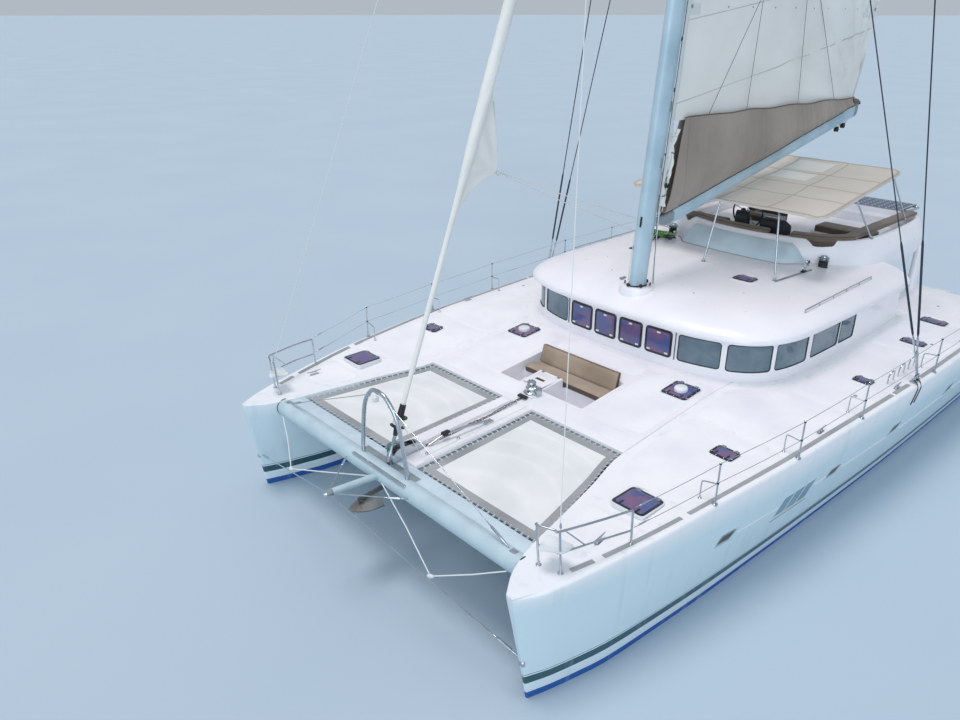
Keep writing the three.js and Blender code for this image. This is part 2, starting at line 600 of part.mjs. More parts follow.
function mainsail() {
  const belly = (camber, t) => camber * 4 * t * (1 - t) * (1.25 - 0.5 * t);
  const rings = SAIL_ROWS.map(([luffZ, leechZ, chord, camber]) => {
    const line = CHORD_STEPS.map((t) => [belly(camber, t) + SAIL.half, SAIL.luffY + t * chord, mix(luffZ, leechZ, t)]);
    const back = line.map(([x, y, z]) => [x - 2 * SAIL.half, y, z]).reverse();
    return [...line, ...back];
  });
  return rigged(loft(rings, inPlan));
}
add('mainsail', 'sail', mainsail());

// Furled headsail on its stay, with the furling drum at its foot and the clew's flap.
const STAY_FOOT = [0, 360, 1700];
const clewFlap = profile([[1560, 4950], [2350, 6500], [2440, 5530], [2400, 5480], [1930, 5290]], -18, 18);

function headsail() {
  const foot = new THREE.Vector3(...STAY_FOOT);
  const head = new THREE.Vector3(...HOUNDS);
  const length = head.distanceTo(foot);
  const along = head.clone().sub(foot).normalize();
  const mastFace = 60 + MAST_HALF_DEPTH;
  const reach = length - mastFace / Math.sin(along.angleTo(new THREE.Vector3(0, Math.sin(RAKE), Math.cos(RAKE))));
  const outline = [[0, 0], [30, 0], [30, 520], [110, 540], [110, 700], [45, 720], [45, 860], [72, 980], [85, 5200],
    [75, 12000], [50, 17000], [14, 17400], [14, reach], [0, reach]].map(([r, h]) => new THREE.Vector2(r, h));
  const turn = new THREE.Quaternion().setFromUnitVectors(new THREE.Vector3(0, 1, 0), along);
  const roll = new THREE.LatheGeometry(outline, 12).applyQuaternion(turn).translate(...STAY_FOOT);
  const plate = block(-25, 25, STAY_FOOT[1] + 15, STAY_FOOT[1] + 90, 1655 + FIT, 1780);
  return join(roll, plate, clewFlap);
}
add('furled_headsail', 'sail', headsail());

// Shrouds: a lower one to the mast and a cap shroud over the spreader's tip, from one chainplate.
const CHAINPLATE = [4128, 8080, 2010];

function shrouds() {
  const [x, s, z] = CHAINPLATE;
  const plate = block(x - 30, x + 30, s - 100, s + 100, 1800, z + 40);
  const tang = (z) => rigged(block(MAST_HALF_WIDTH + FIT, MAST_HALF_WIDTH + 45, -30, 30, z - 90, z + 90));
  const lowerTop = fromMast(MAST_HALF_WIDTH + 30, 0, LOWER_HOUNDS);
  const capTop = fromMast(MAST_HALF_WIDTH + 30, 0, UPPER_HOUNDS);
  const tip = [SPREADER_TIP[0] + 24, SPREADER_TIP[1] + 11, SPREADER_TIP[2]];
  const wires = [rod([x, s + 60, z], lowerTop, 16), rod([x, s - 30, z], tip, 20), rod(tip, capTop, 14)];
  const knot = new THREE.SphereGeometry(24, 8, 6).translate(...tip);
  return cut(join(plate, tang(LOWER_HOUNDS), tang(UPPER_HOUNDS), ...wires, knot), moved(hullPort, 0, 0, FIT));
}
addPair('shrouds', 'wire', shrouds());

// Forward crossbeam with its flat strip, cut to the hulls' inner walls.
const beam = cut(join(
  rod([-BEAM.reach, BEAM.s, BEAM.z], [BEAM.reach, BEAM.s, BEAM.z], BEAM.radius, 20),
  block(-BEAM.reach, BEAM.reach, BEAM.s, 600, 1615, 1655),
), ...bothHulls(-FIT, 0, 0), ...bothHulls(-FIT, 0, FIT));
add('crossbeam', 'gelcoat', beam);

const beamClear = join(
  rod([-BEAM.reach, BEAM.s, BEAM.z], [BEAM.reach, BEAM.s, BEAM.z], BEAM.radius + FIT, 20),
  block(-BEAM.reach, BEAM.reach, BEAM.s, 600 + FIT, 1615 - FIT, 1655 + FIT),
);

// Bow arch over the beam with its two stays.
add('bow_arch', 'steel', cut(join(
  bentBar([[-520, 300, 1600], [-500, 300, 1900], [-380, 285, 2500], [-180, 268, 2780], [0, 260, 2830],
    [180, 268, 2780], [380, 285, 2500], [500, 300, 1900], [520, 300, 1600]], 30, 20),
  rod([-250, 274, 2700], [-2600, 280, 1620], 8, 6),
  rod([250, 274, 2700], [2600, 280, 1620], 8, 6),
), beamClear));

// Bow strut with the stays that hold it down to the stems and back to the beam.
const STRUT_TIP = [0, -630, 1620];
add('bow_strut', 'alloy', cut(join(
  rod([0, BEAM.s, 1550], STRUT_TIP, 50, 12),
  new THREE.SphereGeometry(60, 10, 8).translate(...STRUT_TIP),
  ...[-1, 1].flatMap((side) => [
    rod(STRUT_TIP, [side * HULL_CENTRE, -60, 600], 9, 6),
    rod(STRUT_TIP, [side * 750, BEAM.s - 60, BEAM.z], 9, 6),
  ]),
), beamClear, ...bothHulls(0, -FIT, 0)));

// Anchor hung under the beam.
add('anchor', 'steel', cut(join(
  block(-18, 18, -180, 420, 1290, 1350),
  rod([0, 330, 1320], [0, 330, 1500], 25, 8),
  loft([[[-15, -330, 1180], [15, -330, 1180], [0, -330, 1210]],
    [[-150, 60, 1130], [150, 60, 1130], [0, 60, 1310]],
    [[-190, 130, 1160], [190, 130, 1160], [0, 130, 1330]]], inSection),
), beamClear));

// Trampolines, the walkway between them and the windlass.
const WALKWAY_HALF = 330;
const TRAMPOLINE_AFT = 2930 - FIT;
const TRAMPOLINE_FORE = 600 + FIT;

function trampoline() {
  const inboard = WALKWAY_HALF + FIT;
  const ring = (s, z, outboard) => [[inboard, s, z - 20], [outboard, s, z - 20], [outboard, s, z], [inboard, s, z]];
  const net = loft([ring(TRAMPOLINE_FORE, 1625, 2900), ring(TRAMPOLINE_AFT, 1720, 2300)], inSection);
  return cut(net, moved(hullPort, -FIT, 0, 0));
}
addPair('trampoline', 'net', trampoline());
add('walkway', 'gelcoat', profile([
  [TRAMPOLINE_FORE, 1480], [TRAMPOLINE_AFT, 1500], [TRAMPOLINE_AFT, 1768], [TRAMPOLINE_FORE, 1690],
], -WALKWAY_HALF, WALKWAY_HALF));

const deckClear = [moved(bridge, 0, 0, FIT)];
add('windlass', 'steel', cut(join(
  block(-130, 130, 3160, 3380, 1700, 1850),
  new THREE.CylinderGeometry(85, 100, 150, 16).rotateX(Math.PI / 2).translate(-30, 3260, 1900),
  rod([-30, 3260, 1900], [170, 3260, 1900], 60, 12),
), ...deckClear));

// Deck hatch lids of the foredeck
function hatchLid() {
  const { x0, x1, s0, s1, top } = FOREDECK_HATCH;
  return block(x0, x1, s0, s1, top - 30, top);
}
addPair('foredeck_hatch', 'tinted', hatchLid());

// Pulpits on the bows, and the guard rails with their stanchions and wires along the side decks.
const PULPIT_LEGS = [
  { foot: [2890, 560, 1500], head: [2885, 520, 2230] },
  { foot: [3040, 330, 1500], head: [3020, 110, 2285] },
  { foot: [3310, 560, 1500], head: [3320, 330, 2285] },
  { foot: [3500, 1345, 1500], head: [3505, 1310, 2230] },
];

function pulpit() {
  const level = PULPIT_LEGS.map(({ foot, head }) => foot.map((value, i) => mix(value, head[i], 0.62)));
  const [inner, fore, outer, aft] = PULPIT_LEGS.map(({ head }) => head);
  const top = bentBar([inner, [2900, 420, 2275], fore, [3180, 70, 2290], outer, [3490, 1230, 2275], aft], 14, 18);
  const middle = bentBar([level[0], level[1], [3190, 130, level[1][2]], level[2], level[3]], 11, 12);
  const legs = PULPIT_LEGS.map(({ foot, head }) => rod(foot, head, 15, 6));
  return cut(join(top, middle, ...legs), moved(hullPort, 0, 0, FIT));
}
addPair('pulpit', 'steel', pulpit());

const STANCHIONS = [[3780, 2670], [3980, 4420], [4075, 6190], [4195, 8700], [4230, 10500], [4225, 12300]];
const RAIL = { height: 610, mid: 320, wire: 5, post: 13 };

function guardRail() {
  const base = (s) => mix(1825, 1930, THREE.MathUtils.smoothstep(s, 2400, 9200));
  const posts = STANCHIONS.map(([x, s]) => rod([x, s, base(s) - 45], [x, s, base(s) + RAIL.height], RAIL.post, 6));
  const aft = bentBar([[4225, 12300, 2535], [4190, 13300, 2500], [4100, 13900, 2440], [3930, 14050, 2420],
    [3940, 14050, 1900], [3960, 14050, 1200]], RAIL.post, 14);
  const ends = [[3508, 1355], ...STANCHIONS];
  const wires = [RAIL.height - 8, RAIL.mid].flatMap((up) => ends.slice(1).map(([x, s], i) => {
    const [x0, s0] = ends[i];
    const z0 = i === 0 ? 1660 + up : base(s0) + up;
    return rod([x0, s0, z0], [x, s, base(s) + up], RAIL.wire, 4);
  }));
  return cut(join(...posts, aft, ...wires), moved(hullPort, 0, 0, FIT));
}
addPair('guard_rail', 'steel', guardRail());

// Aft cockpit: a bench across the stern, a table, and the frame with the panel behind it.
add('cockpit_bench', 'gelcoat', join(
  block(-1500, 1500, 12850, 13400, SOLE + FIT, 1780),
  block(-1500, 1500, 13330, 13450, SOLE + FIT, 2080),
));
add('cockpit_table', 'gelcoat', join(
  block(300, 1700, 11500, 12400, 1980, 2020),
  block(900, 1100, 11850, 12050, SOLE + FIT, 2000),
));

function sternFrame() {
  const side = (x) => bentBar([[x, 13480, 1100], [x, 13560, 1900], [x, 13700, 2900], [x, 14050, 3250],
    [x, 15000, 3265]], 30, 12);
  return cut(join(side(1300), side(-1300), rod([-1300, 14200, 3285], [1300, 14200, 3285], 24),
    rod([-1300, 14950, 3285], [1300, 14950, 3285], 24)), moved(bridge, 0, FIT, 0));
}
add('stern_frame', 'steel', sternFrame());
add('solar_panel', 'solar', block(-1250, 1250, 13980, 15000, 3309 + FIT, 3345));

const winch = new THREE.CylinderGeometry(62, 95, 210, 20).rotateX(Math.PI / 2);
addPair('winch', 'steel', cut(moved(winch, 1700, 9400, 3120), moved(roofBody, 0, 0, FIT), moved(fly, 0, 0, FIT)));

const root = new THREE.Group();
root.add(boat);
export default root;
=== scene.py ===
"""Looks of the sailing catamaran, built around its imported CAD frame.

Metres, +Z up, bow towards -Y, port side at +X, waterline at z = 0. Places are written by
station, as in the CAD source: s is the distance aft of the stem at the waterline.
"""

import math

import bmesh
import bpy
import numpy as np
from mathutils import Matrix, Vector
from mathutils.bvhtree import BVHTree


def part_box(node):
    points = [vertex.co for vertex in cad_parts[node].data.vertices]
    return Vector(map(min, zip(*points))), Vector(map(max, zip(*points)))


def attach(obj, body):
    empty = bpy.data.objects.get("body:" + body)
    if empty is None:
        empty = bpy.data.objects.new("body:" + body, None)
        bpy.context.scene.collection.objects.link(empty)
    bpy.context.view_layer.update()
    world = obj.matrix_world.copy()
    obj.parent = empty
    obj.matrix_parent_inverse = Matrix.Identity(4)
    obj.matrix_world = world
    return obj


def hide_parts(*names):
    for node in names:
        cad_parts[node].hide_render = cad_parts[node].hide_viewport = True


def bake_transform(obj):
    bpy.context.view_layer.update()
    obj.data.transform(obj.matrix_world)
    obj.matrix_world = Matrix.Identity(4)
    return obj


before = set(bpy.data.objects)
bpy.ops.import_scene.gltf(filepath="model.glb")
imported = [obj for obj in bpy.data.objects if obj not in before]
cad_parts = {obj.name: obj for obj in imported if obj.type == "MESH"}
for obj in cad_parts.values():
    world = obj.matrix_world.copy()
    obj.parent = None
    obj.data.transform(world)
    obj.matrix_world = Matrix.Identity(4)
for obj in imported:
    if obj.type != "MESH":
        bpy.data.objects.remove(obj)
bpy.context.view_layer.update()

# Main places, the same as in the CAD source

MIDSHIP = 7.6
HULL_CENTRE = 3.15
WELL_SIDE = 2.14
SOLE = 1.35
DECK = 1.97
ROOF_AFT = 10.8
RAKE = math.radians(5)
MAST_FOOT = Vector((0, 5.89 - MIDSHIP, 3.03))
UP, AFT, PORT = Vector((0, 0, 1)), Vector((0, 1, 0)), Vector((1, 0, 0))


def at(x, s, z):
    """A point given by its station."""
    return Vector((x, s - MIDSHIP, z))


# Camera, light and floor


def set_camera():
    """A drone's view from about 7.5 m above the water, ahead of the port bow."""
    eye = bpy.data.cameras.new("drone_view")
    eye.lens = 29.25
    eye.clip_end = 9000
    holder = bpy.data.objects.new("drone_view", eye)
    holder.location = at(7.874, -5.062, 7.479)
    ahead = Vector((-0.6754, 0.6157, -0.4059))
    holder.rotation_euler = ahead.to_track_quat("-Z", "Y").to_euler()
    bpy.context.scene.collection.objects.link(holder)
    bpy.context.scene.camera = holder


def set_stage():
    """A pale floor at the waterline, a pale sky and two broad soft lights."""
    world = bpy.data.worlds.new("overcast")
    world.use_nodes = True
    world.node_tree.nodes["Background"].inputs["Color"].default_value = (0.8, 0.89, 0.98, 1)
    world.node_tree.nodes["Background"].inputs["Strength"].default_value = 0.55
    bpy.context.scene.world = world
    for name, place, spread, strength, tint in (
        ("high_sun", (-4, -5, 34), 24, 1.43, (1, 0.91, 0.9)), ("bow_fill", (20, -26, 15), 50, 1.0, (0.8, 0.93, 1)),
    ):
        lamp = bpy.data.lights.new(name, "SUN")
        lamp.angle = math.radians(spread)
        lamp.energy = strength
        lamp.color = tint
        holder = bpy.data.objects.new(name, lamp)
        holder.location = place
        holder.rotation_euler = (-Vector(place)).to_track_quat("-Z", "Y").to_euler()
        bpy.context.scene.collection.objects.link(holder)
    bpy.context.scene.view_settings.view_transform = "Standard"
    half = 4000
    mesh = bpy.data.meshes.new("floor")
    mesh.from_pydata([(-half, -half, 0), (half, -half, 0), (half, half, 0), (-half, half, 0)], [], [(0, 1, 2, 3)])
    floor = bpy.data.objects.new("floor", mesh)
    bpy.context.scene.collection.objects.link(floor)
    floor.data.materials.append(FLOOR)


# Curves and numbers


def mix(a, b, t):
    return a + (b - a) * t


def fair(xs, ys):
    """A curve through the points that never overshoots them; ys may hold several columns."""
    xs, ys = np.array(xs, float), np.array(ys, float)
    single = ys.ndim == 1
    ys = ys[:, None] if single else ys
    gap = np.diff(xs)[:, None]
    rise = np.diff(ys, axis=0) / gap
    slope = np.zeros_like(ys)
    slope[0], slope[-1] = rise[0], rise[-1]
    near, far = 2 * gap[1:] + gap[:-1], gap[1:] + 2 * gap[:-1]
    with np.errstate(divide="ignore", invalid="ignore"):
        between = (near + far) / (near / rise[:-1] + far / rise[1:])
    slope[1:-1] = np.where(rise[1:] * rise[:-1] > 0, between, 0)

    def value(x):
        i = int(np.clip(np.searchsorted(xs, x) - 1, 0, len(xs) - 2))
        h = gap[i, 0]
        t = (x - xs[i]) / h
        out = (
            ys[i] * (2 * t**3 - 3 * t**2 + 1)
            + slope[i] * h * (t**3 - 2 * t**2 + t)
            + ys[i + 1] * (3 * t**2 - 2 * t**3)
            + slope[i + 1] * h * (t**3 - t**2)
        )
        return float(out[0]) if single else out

    return value


def through(points, steps, closed=False):
    """A smooth line through the points, with so many steps from each to the next."""
    pts = [Vector(p) for p in points]
    n = len(pts)
    line = []
    for i in range(n if closed else n - 1):
        if closed:
            a, b, c, d = (pts[(i + k) % n] for k in (-1, 0, 1, 2))
        else:
            b, c = pts[i], pts[i + 1]
            a = pts[i - 1] if i else b * 2 - c
            d = pts[i + 2] if i + 2 < n else c * 2 - b
        for k in range(steps):
            t = k / steps
            line.append(
                0.5 * (2 * b + (c - a) * t + (2 * a - 5 * b + 4 * c - d) * t**2 + (3 * b - a - 3 * c + d) * t**3)
            )
    return line if closed else line + [pts[-1]]


def evenly(line, pitch, closed=False):
    """The same line with its points a pitch apart."""
    pts = [Vector(p) for p in line] + ([Vector(line[0])] if closed else [])
    run = np.concatenate([[0], np.cumsum([(b - a).length for a, b in zip(pts, pts[1:])])])
    count = max(2, round(run[-1] / pitch))
    marks = np.linspace(0, run[-1], count + 1)[: count if closed else count + 1]
    axes = [np.interp(marks, run, [p[k] for p in pts]) for k in range(len(pts[0]))]
    return [Vector(p) for p in zip(*axes)]


# Parts: lists of points and faces that point outwards


def outward(points, faces):
    volume = 0.0
    for f in faces:
        a = points[f[0]]
        for i in range(1, len(f) - 1):
            volume += a.dot(points[f[i]].cross(points[f[i + 1]]))
    return points, (faces if volume > 0 else [tuple(reversed(f)) for f in faces])


def skin(rings, looped=True, capped=True, round_trip=False):
    """A surface over rings of equal length. A round trip joins the last ring to the first."""
    n = len(rings[0])
    points = [Vector(p) for ring in rings for p in ring]
    rows = len(rings)
    faces = []
    for r in range(rows if round_trip else rows - 1):
        low, high = r * n, ((r + 1) % rows) * n
        for i in range(n if looped else n - 1):
            j = (i + 1) % n
            faces.append((low + i, low + j, high + j, high + i))
    if capped and not round_trip:
        faces += [tuple(range(n - 1, -1, -1)), tuple(range((rows - 1) * n, rows * n))]
    return outward(points, faces) if looped else (points, faces)


def bar(path, radius, sides=10, closed=False, flat=None):
    """A bar along a path. radius may be one number or one for each point; flat is a (wide, high) section instead."""
    pts = [Vector(p) for p in path]
    n = len(pts)
    radii = radius if hasattr(radius, "__len__") else [radius] * n
    tangents = []
    for i in range(n):
        a = pts[i - 1] if i or closed else pts[0]
        b = pts[(i + 1) % n] if i + 1 < n or closed else pts[-1]
        tangents.append((b - a).normalized())
    side = tangents[0].cross(UP if abs(tangents[0].z) < 0.95 else PORT).normalized()
    rings = []
    for p, t, r in zip(pts, tangents, radii):
        side = (side - t * side.dot(t)).normalized()
        if flat:
            side = t.cross(UP).normalized() if abs(t.z) < 0.9 else side
        other = t.cross(side)
        wide, high = flat or (r, r)
        ring = []
        for k in range(sides):
            angle = 2 * math.pi * (k + 0.5) / sides
            c, d = math.cos(angle), math.sin(angle)
            if flat:
                c, d = math.copysign(abs(c) ** 0.5, c), math.copysign(abs(d) ** 0.5, d)
            ring.append(p + side * (wide * c) + other * (high * d))
        rings.append(ring)
    return skin(rings, round_trip=closed)


def turned(outline, foot, axis=UP, sides=24):
    """A turned shape: outline gives (radius, height) along the axis."""
    across = Vector(axis).normalized()
    one = across.orthogonal().normalized()
    two = across.cross(one)
    rings = []
    for r, h in outline:
        r = max(r, 0.0004)
        rings.append([
            Vector(foot) + across * h + (one * math.cos(a) + two * math.sin(a)) * r
            for a in (2 * math.pi * k / sides for k in range(sides))
        ])
    return skin(rings)


def taken(bm):
    """The points and faces of a bmesh, which is freed."""
    bm.verts.index_update()
    points = [v.co.copy() for v in bm.verts]
    faces = [tuple(v.index for v in f.verts) for f in bm.faces]
    bm.free()
    return points, faces


def block(x0, x1, s0, s1, z0, z1, soft=0.01, steps=2):
    """A block with its edges rounded."""
    bm = bmesh.new()
    bmesh.ops.create_cube(bm, size=1)
    for v in bm.verts:
        v.co = at(mix(x0, x1, v.co.x + 0.5), mix(s0, s1, v.co.y + 0.5), mix(z0, z1, v.co.z + 0.5))
    if soft:
        bmesh.ops.bevel(bm, geom=bm.edges[:], offset=soft, segments=steps, profile=0.5, affect="EDGES")
    return taken(bm)


def slab(outline, z0, z1, soft=0.0, steps=2):
    """A plan outline of (x, s) made solid between two heights, its top edge rounded."""
    bm = bmesh.new()
    low = [bm.verts.new(at(x, s, z0)) for x, s in outline]
    high = [bm.verts.new(at(x, s, z1)) for x, s in outline]
    n = len(outline)
    bm.faces.new(low[::-1])
    top = bm.faces.new(high)
    for i in range(n):
        bm.faces.new((low[i], low[(i + 1) % n], high[(i + 1) % n], high[i]))
    if soft:
        bmesh.ops.bevel(bm, geom=list(top.edges), offset=soft, segments=steps, profile=0.5, affect="EDGES")
    return outward(*taken(bm))


def side_profile(outline, x0, x1):
    """A side outline of (s, z) made solid across the boat."""
    return skin([[at(x, s, z) for s, z in outline] for x in (x0, x1)])


def rounded(outline, radius, steps=4):
    """A flat outline of 2-D points with its corners rounded."""
    pts = [Vector(p) for p in outline]
    out = []
    for i, p in enumerate(pts):
        a, b = (pts[i - 1] - p), (pts[(i + 1) % len(pts)] - p)
        reach = min(radius, a.length * 0.45, b.length * 0.45)
        start, end = p + a.normalized() * reach, p + b.normalized() * reach
        for k in range(steps + 1):
            t = k / steps
            out.append(start * (1 - t) ** 2 + p * 2 * t * (1 - t) + end * t**2)
    return out


def placed(part, matrix):
    return [matrix @ p for p in part[0]], part[1]


def mirrored(part):
    return [Vector((-p.x, p.y, p.z)) for p in part[0]], [tuple(reversed(f)) for f in part[1]]


def both(*parts):
    """The parts and their mirror images."""
    return [*parts, *map(mirrored, parts)]


def scratch(name, part):
    mesh = bpy.data.meshes.new(name)
    mesh.from_pydata(*([part[0], [], part[1]]))
    obj = bpy.data.objects.new(name, mesh)
    bpy.context.scene.collection.objects.link(obj)
    return obj


def evaluated(obj):
    """The object's points and faces with its modifiers applied; the object is removed."""
    bpy.context.view_layer.update()
    graph = bpy.context.evaluated_depsgraph_get()
    mesh = bpy.data.meshes.new_from_object(obj.evaluated_get(graph))
    part = [v.co.copy() for v in mesh.vertices], [tuple(f.vertices) for f in mesh.polygons]
    bpy.data.meshes.remove(mesh)
    bpy.data.objects.remove(obj)
    return part


def carved(base, *tools):
    """The part with the tools cut out of it, one after another."""
    body = scratch("carving", base)
    cutters = [scratch("cutter", t) for t in tools]
    for c in cutters:
        m = body.modifiers.new("cut", "BOOLEAN")
        m.operation = "DIFFERENCE"
        m.solver = "EXACT"
        m.object = c
    part = evaluated(body)
    for c in cutters:
        bpy.data.objects.remove(c)
    return part


def piece(name, parts, body="boat", stands_for=(), crease=32):
    """One object from parts grouped by their finish, riding on a body unless it will be blended between two."""
    mesh = bpy.data.meshes.new(name)
    points, faces, marks = [], [], []
    for number, (made_of, group) in enumerate(parts.items()):
        mesh.materials.append(made_of)
        for pts, fcs in group:
            base = len(points)
            points += pts
            faces += [tuple(base + i for i in f) for f in fcs]
            marks += [number] * len(fcs)
    mesh.from_pydata(points, [], faces)
    mesh.polygons.foreach_set("material_index", marks)
    mesh.validate()
    mesh.shade_smooth()
    mesh.set_sharp_from_angle(angle=math.radians(crease))
    obj = bpy.data.objects.new(name, mesh)
    bpy.context.scene.collection.objects.link(obj)
    if body:
        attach(obj, body)
    if stands_for:
        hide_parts(*([stands_for] if isinstance(stands_for, str) else stands_for))
    return obj


# Repeats by Geometry Nodes


def put(tree, kind, inputs=None, **settings):
    """Adds a node with its settings; inputs maps a socket's name or number to a value or to an output."""
    made = tree.nodes.new(kind)
    for name, value in settings.items():
        setattr(made, name, value)
    for key, value in (inputs or {}).items():
        if isinstance(value, bpy.types.NodeSocket):
            tree.links.new(value, made.inputs[key])
        else:
            made.inputs[key].default_value = value
    return made


def spaced_tree():
    """Copies of a small shape along a line, a pitch apart, standing up and rolled a little more each time."""
    tree = bpy.data.node_groups.new("spaced_along_line", "GeometryNodeTree")
    for name, kind in (
        ("Line", "NodeSocketGeometry"), ("Shape", "NodeSocketObject"), ("Pitch", "NodeSocketFloat"),
        ("Roll", "NodeSocketFloat"), ("Up", "NodeSocketVector"), ("Finish", "NodeSocketMaterial"),
    ):
        tree.interface.new_socket(name, in_out="INPUT", socket_type=kind)
    tree.interface.new_socket("Geometry", in_out="OUTPUT", socket_type="NodeSocketGeometry")
    given = put(tree, "NodeGroupInput").outputs
    curve = put(tree, "GeometryNodeMeshToCurve", {"Mesh": given["Line"]})
    even = put(tree, "GeometryNodeResampleCurve", {"Curve": curve.outputs[0], "Length": given["Pitch"]}, mode="LENGTH")
    shape = put(tree, "GeometryNodeObjectInfo", {"Object": given["Shape"]})
    along = put(tree, "GeometryNodeInputTangent")
    ahead = put(tree, "FunctionNodeAlignRotationToVector", {"Vector": along.outputs[0]}, axis="X")
    upright = put(
        tree, "FunctionNodeAlignRotationToVector",
        {"Rotation": ahead.outputs[0], "Vector": given["Up"]}, axis="Z", pivot_axis="X",
    )
    number = put(tree, "GeometryNodeInputIndex")
    angle = put(tree, "ShaderNodeMath", {0: number.outputs[0], 1: given["Roll"]}, operation="MULTIPLY")
    turn = put(tree, "FunctionNodeAxisAngleToRotation", {"Axis": (1, 0, 0), "Angle": angle.outputs[0]})
    rolled = put(
        tree, "FunctionNodeRotateRotation",
        {"Rotation": upright.outputs[0], "Rotate By": turn.outputs[0]}, rotation_space="LOCAL",
    )
    copies = put(
        tree, "GeometryNodeInstanceOnPoints",
        {"Points": even.outputs[0], "Instance": shape.outputs["Geometry"], "Rotation": rolled.outputs[0]},
    )
    real = put(tree, "GeometryNodeRealizeInstances", {"Geometry": copies.outputs[0]})
    coated = put(tree, "GeometryNodeSetMaterial", {"Geometry": real.outputs[0], "Material": given["Finish"]})
    put(tree, "NodeGroupOutput", {0: coated.outputs[0]})
    return tree


SPACED = spaced_tree()


def spaced(line, shape, pitch, roll=0.0, up=UP):
    """The part that SPACED makes of a shape, which is drawn round the origin with x along the line."""
    pattern = scratch("pattern", shape)
    mesh = bpy.data.meshes.new("line")
    mesh.from_pydata(line, [(i, i + 1) for i in range(len(line) - 1)], [])
    holder = bpy.data.objects.new("line", mesh)
    bpy.context.scene.collection.objects.link(holder)
    run = holder.modifiers.new("spaced", "NODES")
    run.node_group = SPACED
    sockets = {i.name: i.identifier for i in SPACED.interface.items_tree if i.in_out == "INPUT"}
    for name, value in (("Shape", pattern), ("Pitch", pitch), ("Roll", roll), ("Up", tuple(up)), ("Finish", GELCOAT)):
        run[sockets[name]] = value
    part = evaluated(holder)
    bpy.data.objects.remove(pattern)
    return part


# Finishes


def srgb(code):
    """A hex colour as linear light."""
    channels = (int(code[i : i + 2], 16) / 255 for i in (1, 3, 5))
    return (*(c / 12.92 if c <= 0.04045 else ((c + 0.055) / 1.055) ** 2.4 for c in channels), 1)


def finish(name, colour, roughness, metallic=0.0, ior=1.5, **sockets):
    """A new material: its own name, its node tree, its shader and the place on the object in metres."""
    made = bpy.data.materials.new(name)
    made.use_nodes = True
    tree = made.node_tree
    shader = tree.nodes["Principled BSDF"]
    made.diffuse_color = srgb(colour)
    values = {"Base Color": srgb(colour), "Roughness": roughness, "Metallic": metallic, "IOR": ior, **sockets}
    for socket, value in values.items():
        shader.inputs[socket].default_value = value
    place = put(tree, "ShaderNodeTexCoord").outputs["Object"]
    return made, tree, shader, place


def tinted(tree, shader, factor, light, dark):
    """The base colour runs from light to dark with the factor."""
    blend = put(tree, "ShaderNodeMix", {0: factor, 6: srgb(light), 7: srgb(dark)}, data_type="RGBA")
    tree.links.new(blend.outputs[2], shader.inputs["Base Color"])


def ranged(tree, value, low, high, start, end):
    return put(
        tree, "ShaderNodeMapRange",
        {"Value": value, "From Min": low, "From Max": high, "To Min": start, "To Max": end},
    ).outputs[0]


def bumped(tree, shader, height, depth, strength=1.0):
    """Relief with its depth in metres."""
    relief = put(tree, "ShaderNodeBump", {"Height": height, "Distance": depth, "Strength": strength})
    tree.links.new(relief.outputs[0], shader.inputs["Normal"])


def gelcoat():
    """Gelcoat, moulded and waxed: a clear gloss over a very slightly uneven white, with faint print-through."""
    made, tree, shader, place = finish("gelcoat_moulded", "#eef3f8", 0.26, ior=1.52, **{"Coat Weight": 0.25, "Coat Roughness": 0.12})
    broad = put(tree, "ShaderNodeTexNoise", {"Vector": place, "Scale": 1.6, "Detail": 1.0}).outputs[0]
    fine = put(tree, "ShaderNodeTexNoise", {"Vector": place, "Scale": 7.0, "Detail": 0.0}).outputs[0]
    tinted(tree, shader, ranged(tree, broad, 0.2, 0.9, 0, 0.8), "#f6f3f7", "#ebe9f1")
    tree.links.new(ranged(tree, fine, 0.0, 1.0, 0.26, 0.34), shader.inputs["Roughness"])
    bumped(tree, shader, broad, 0.003, 0.25)
    return made


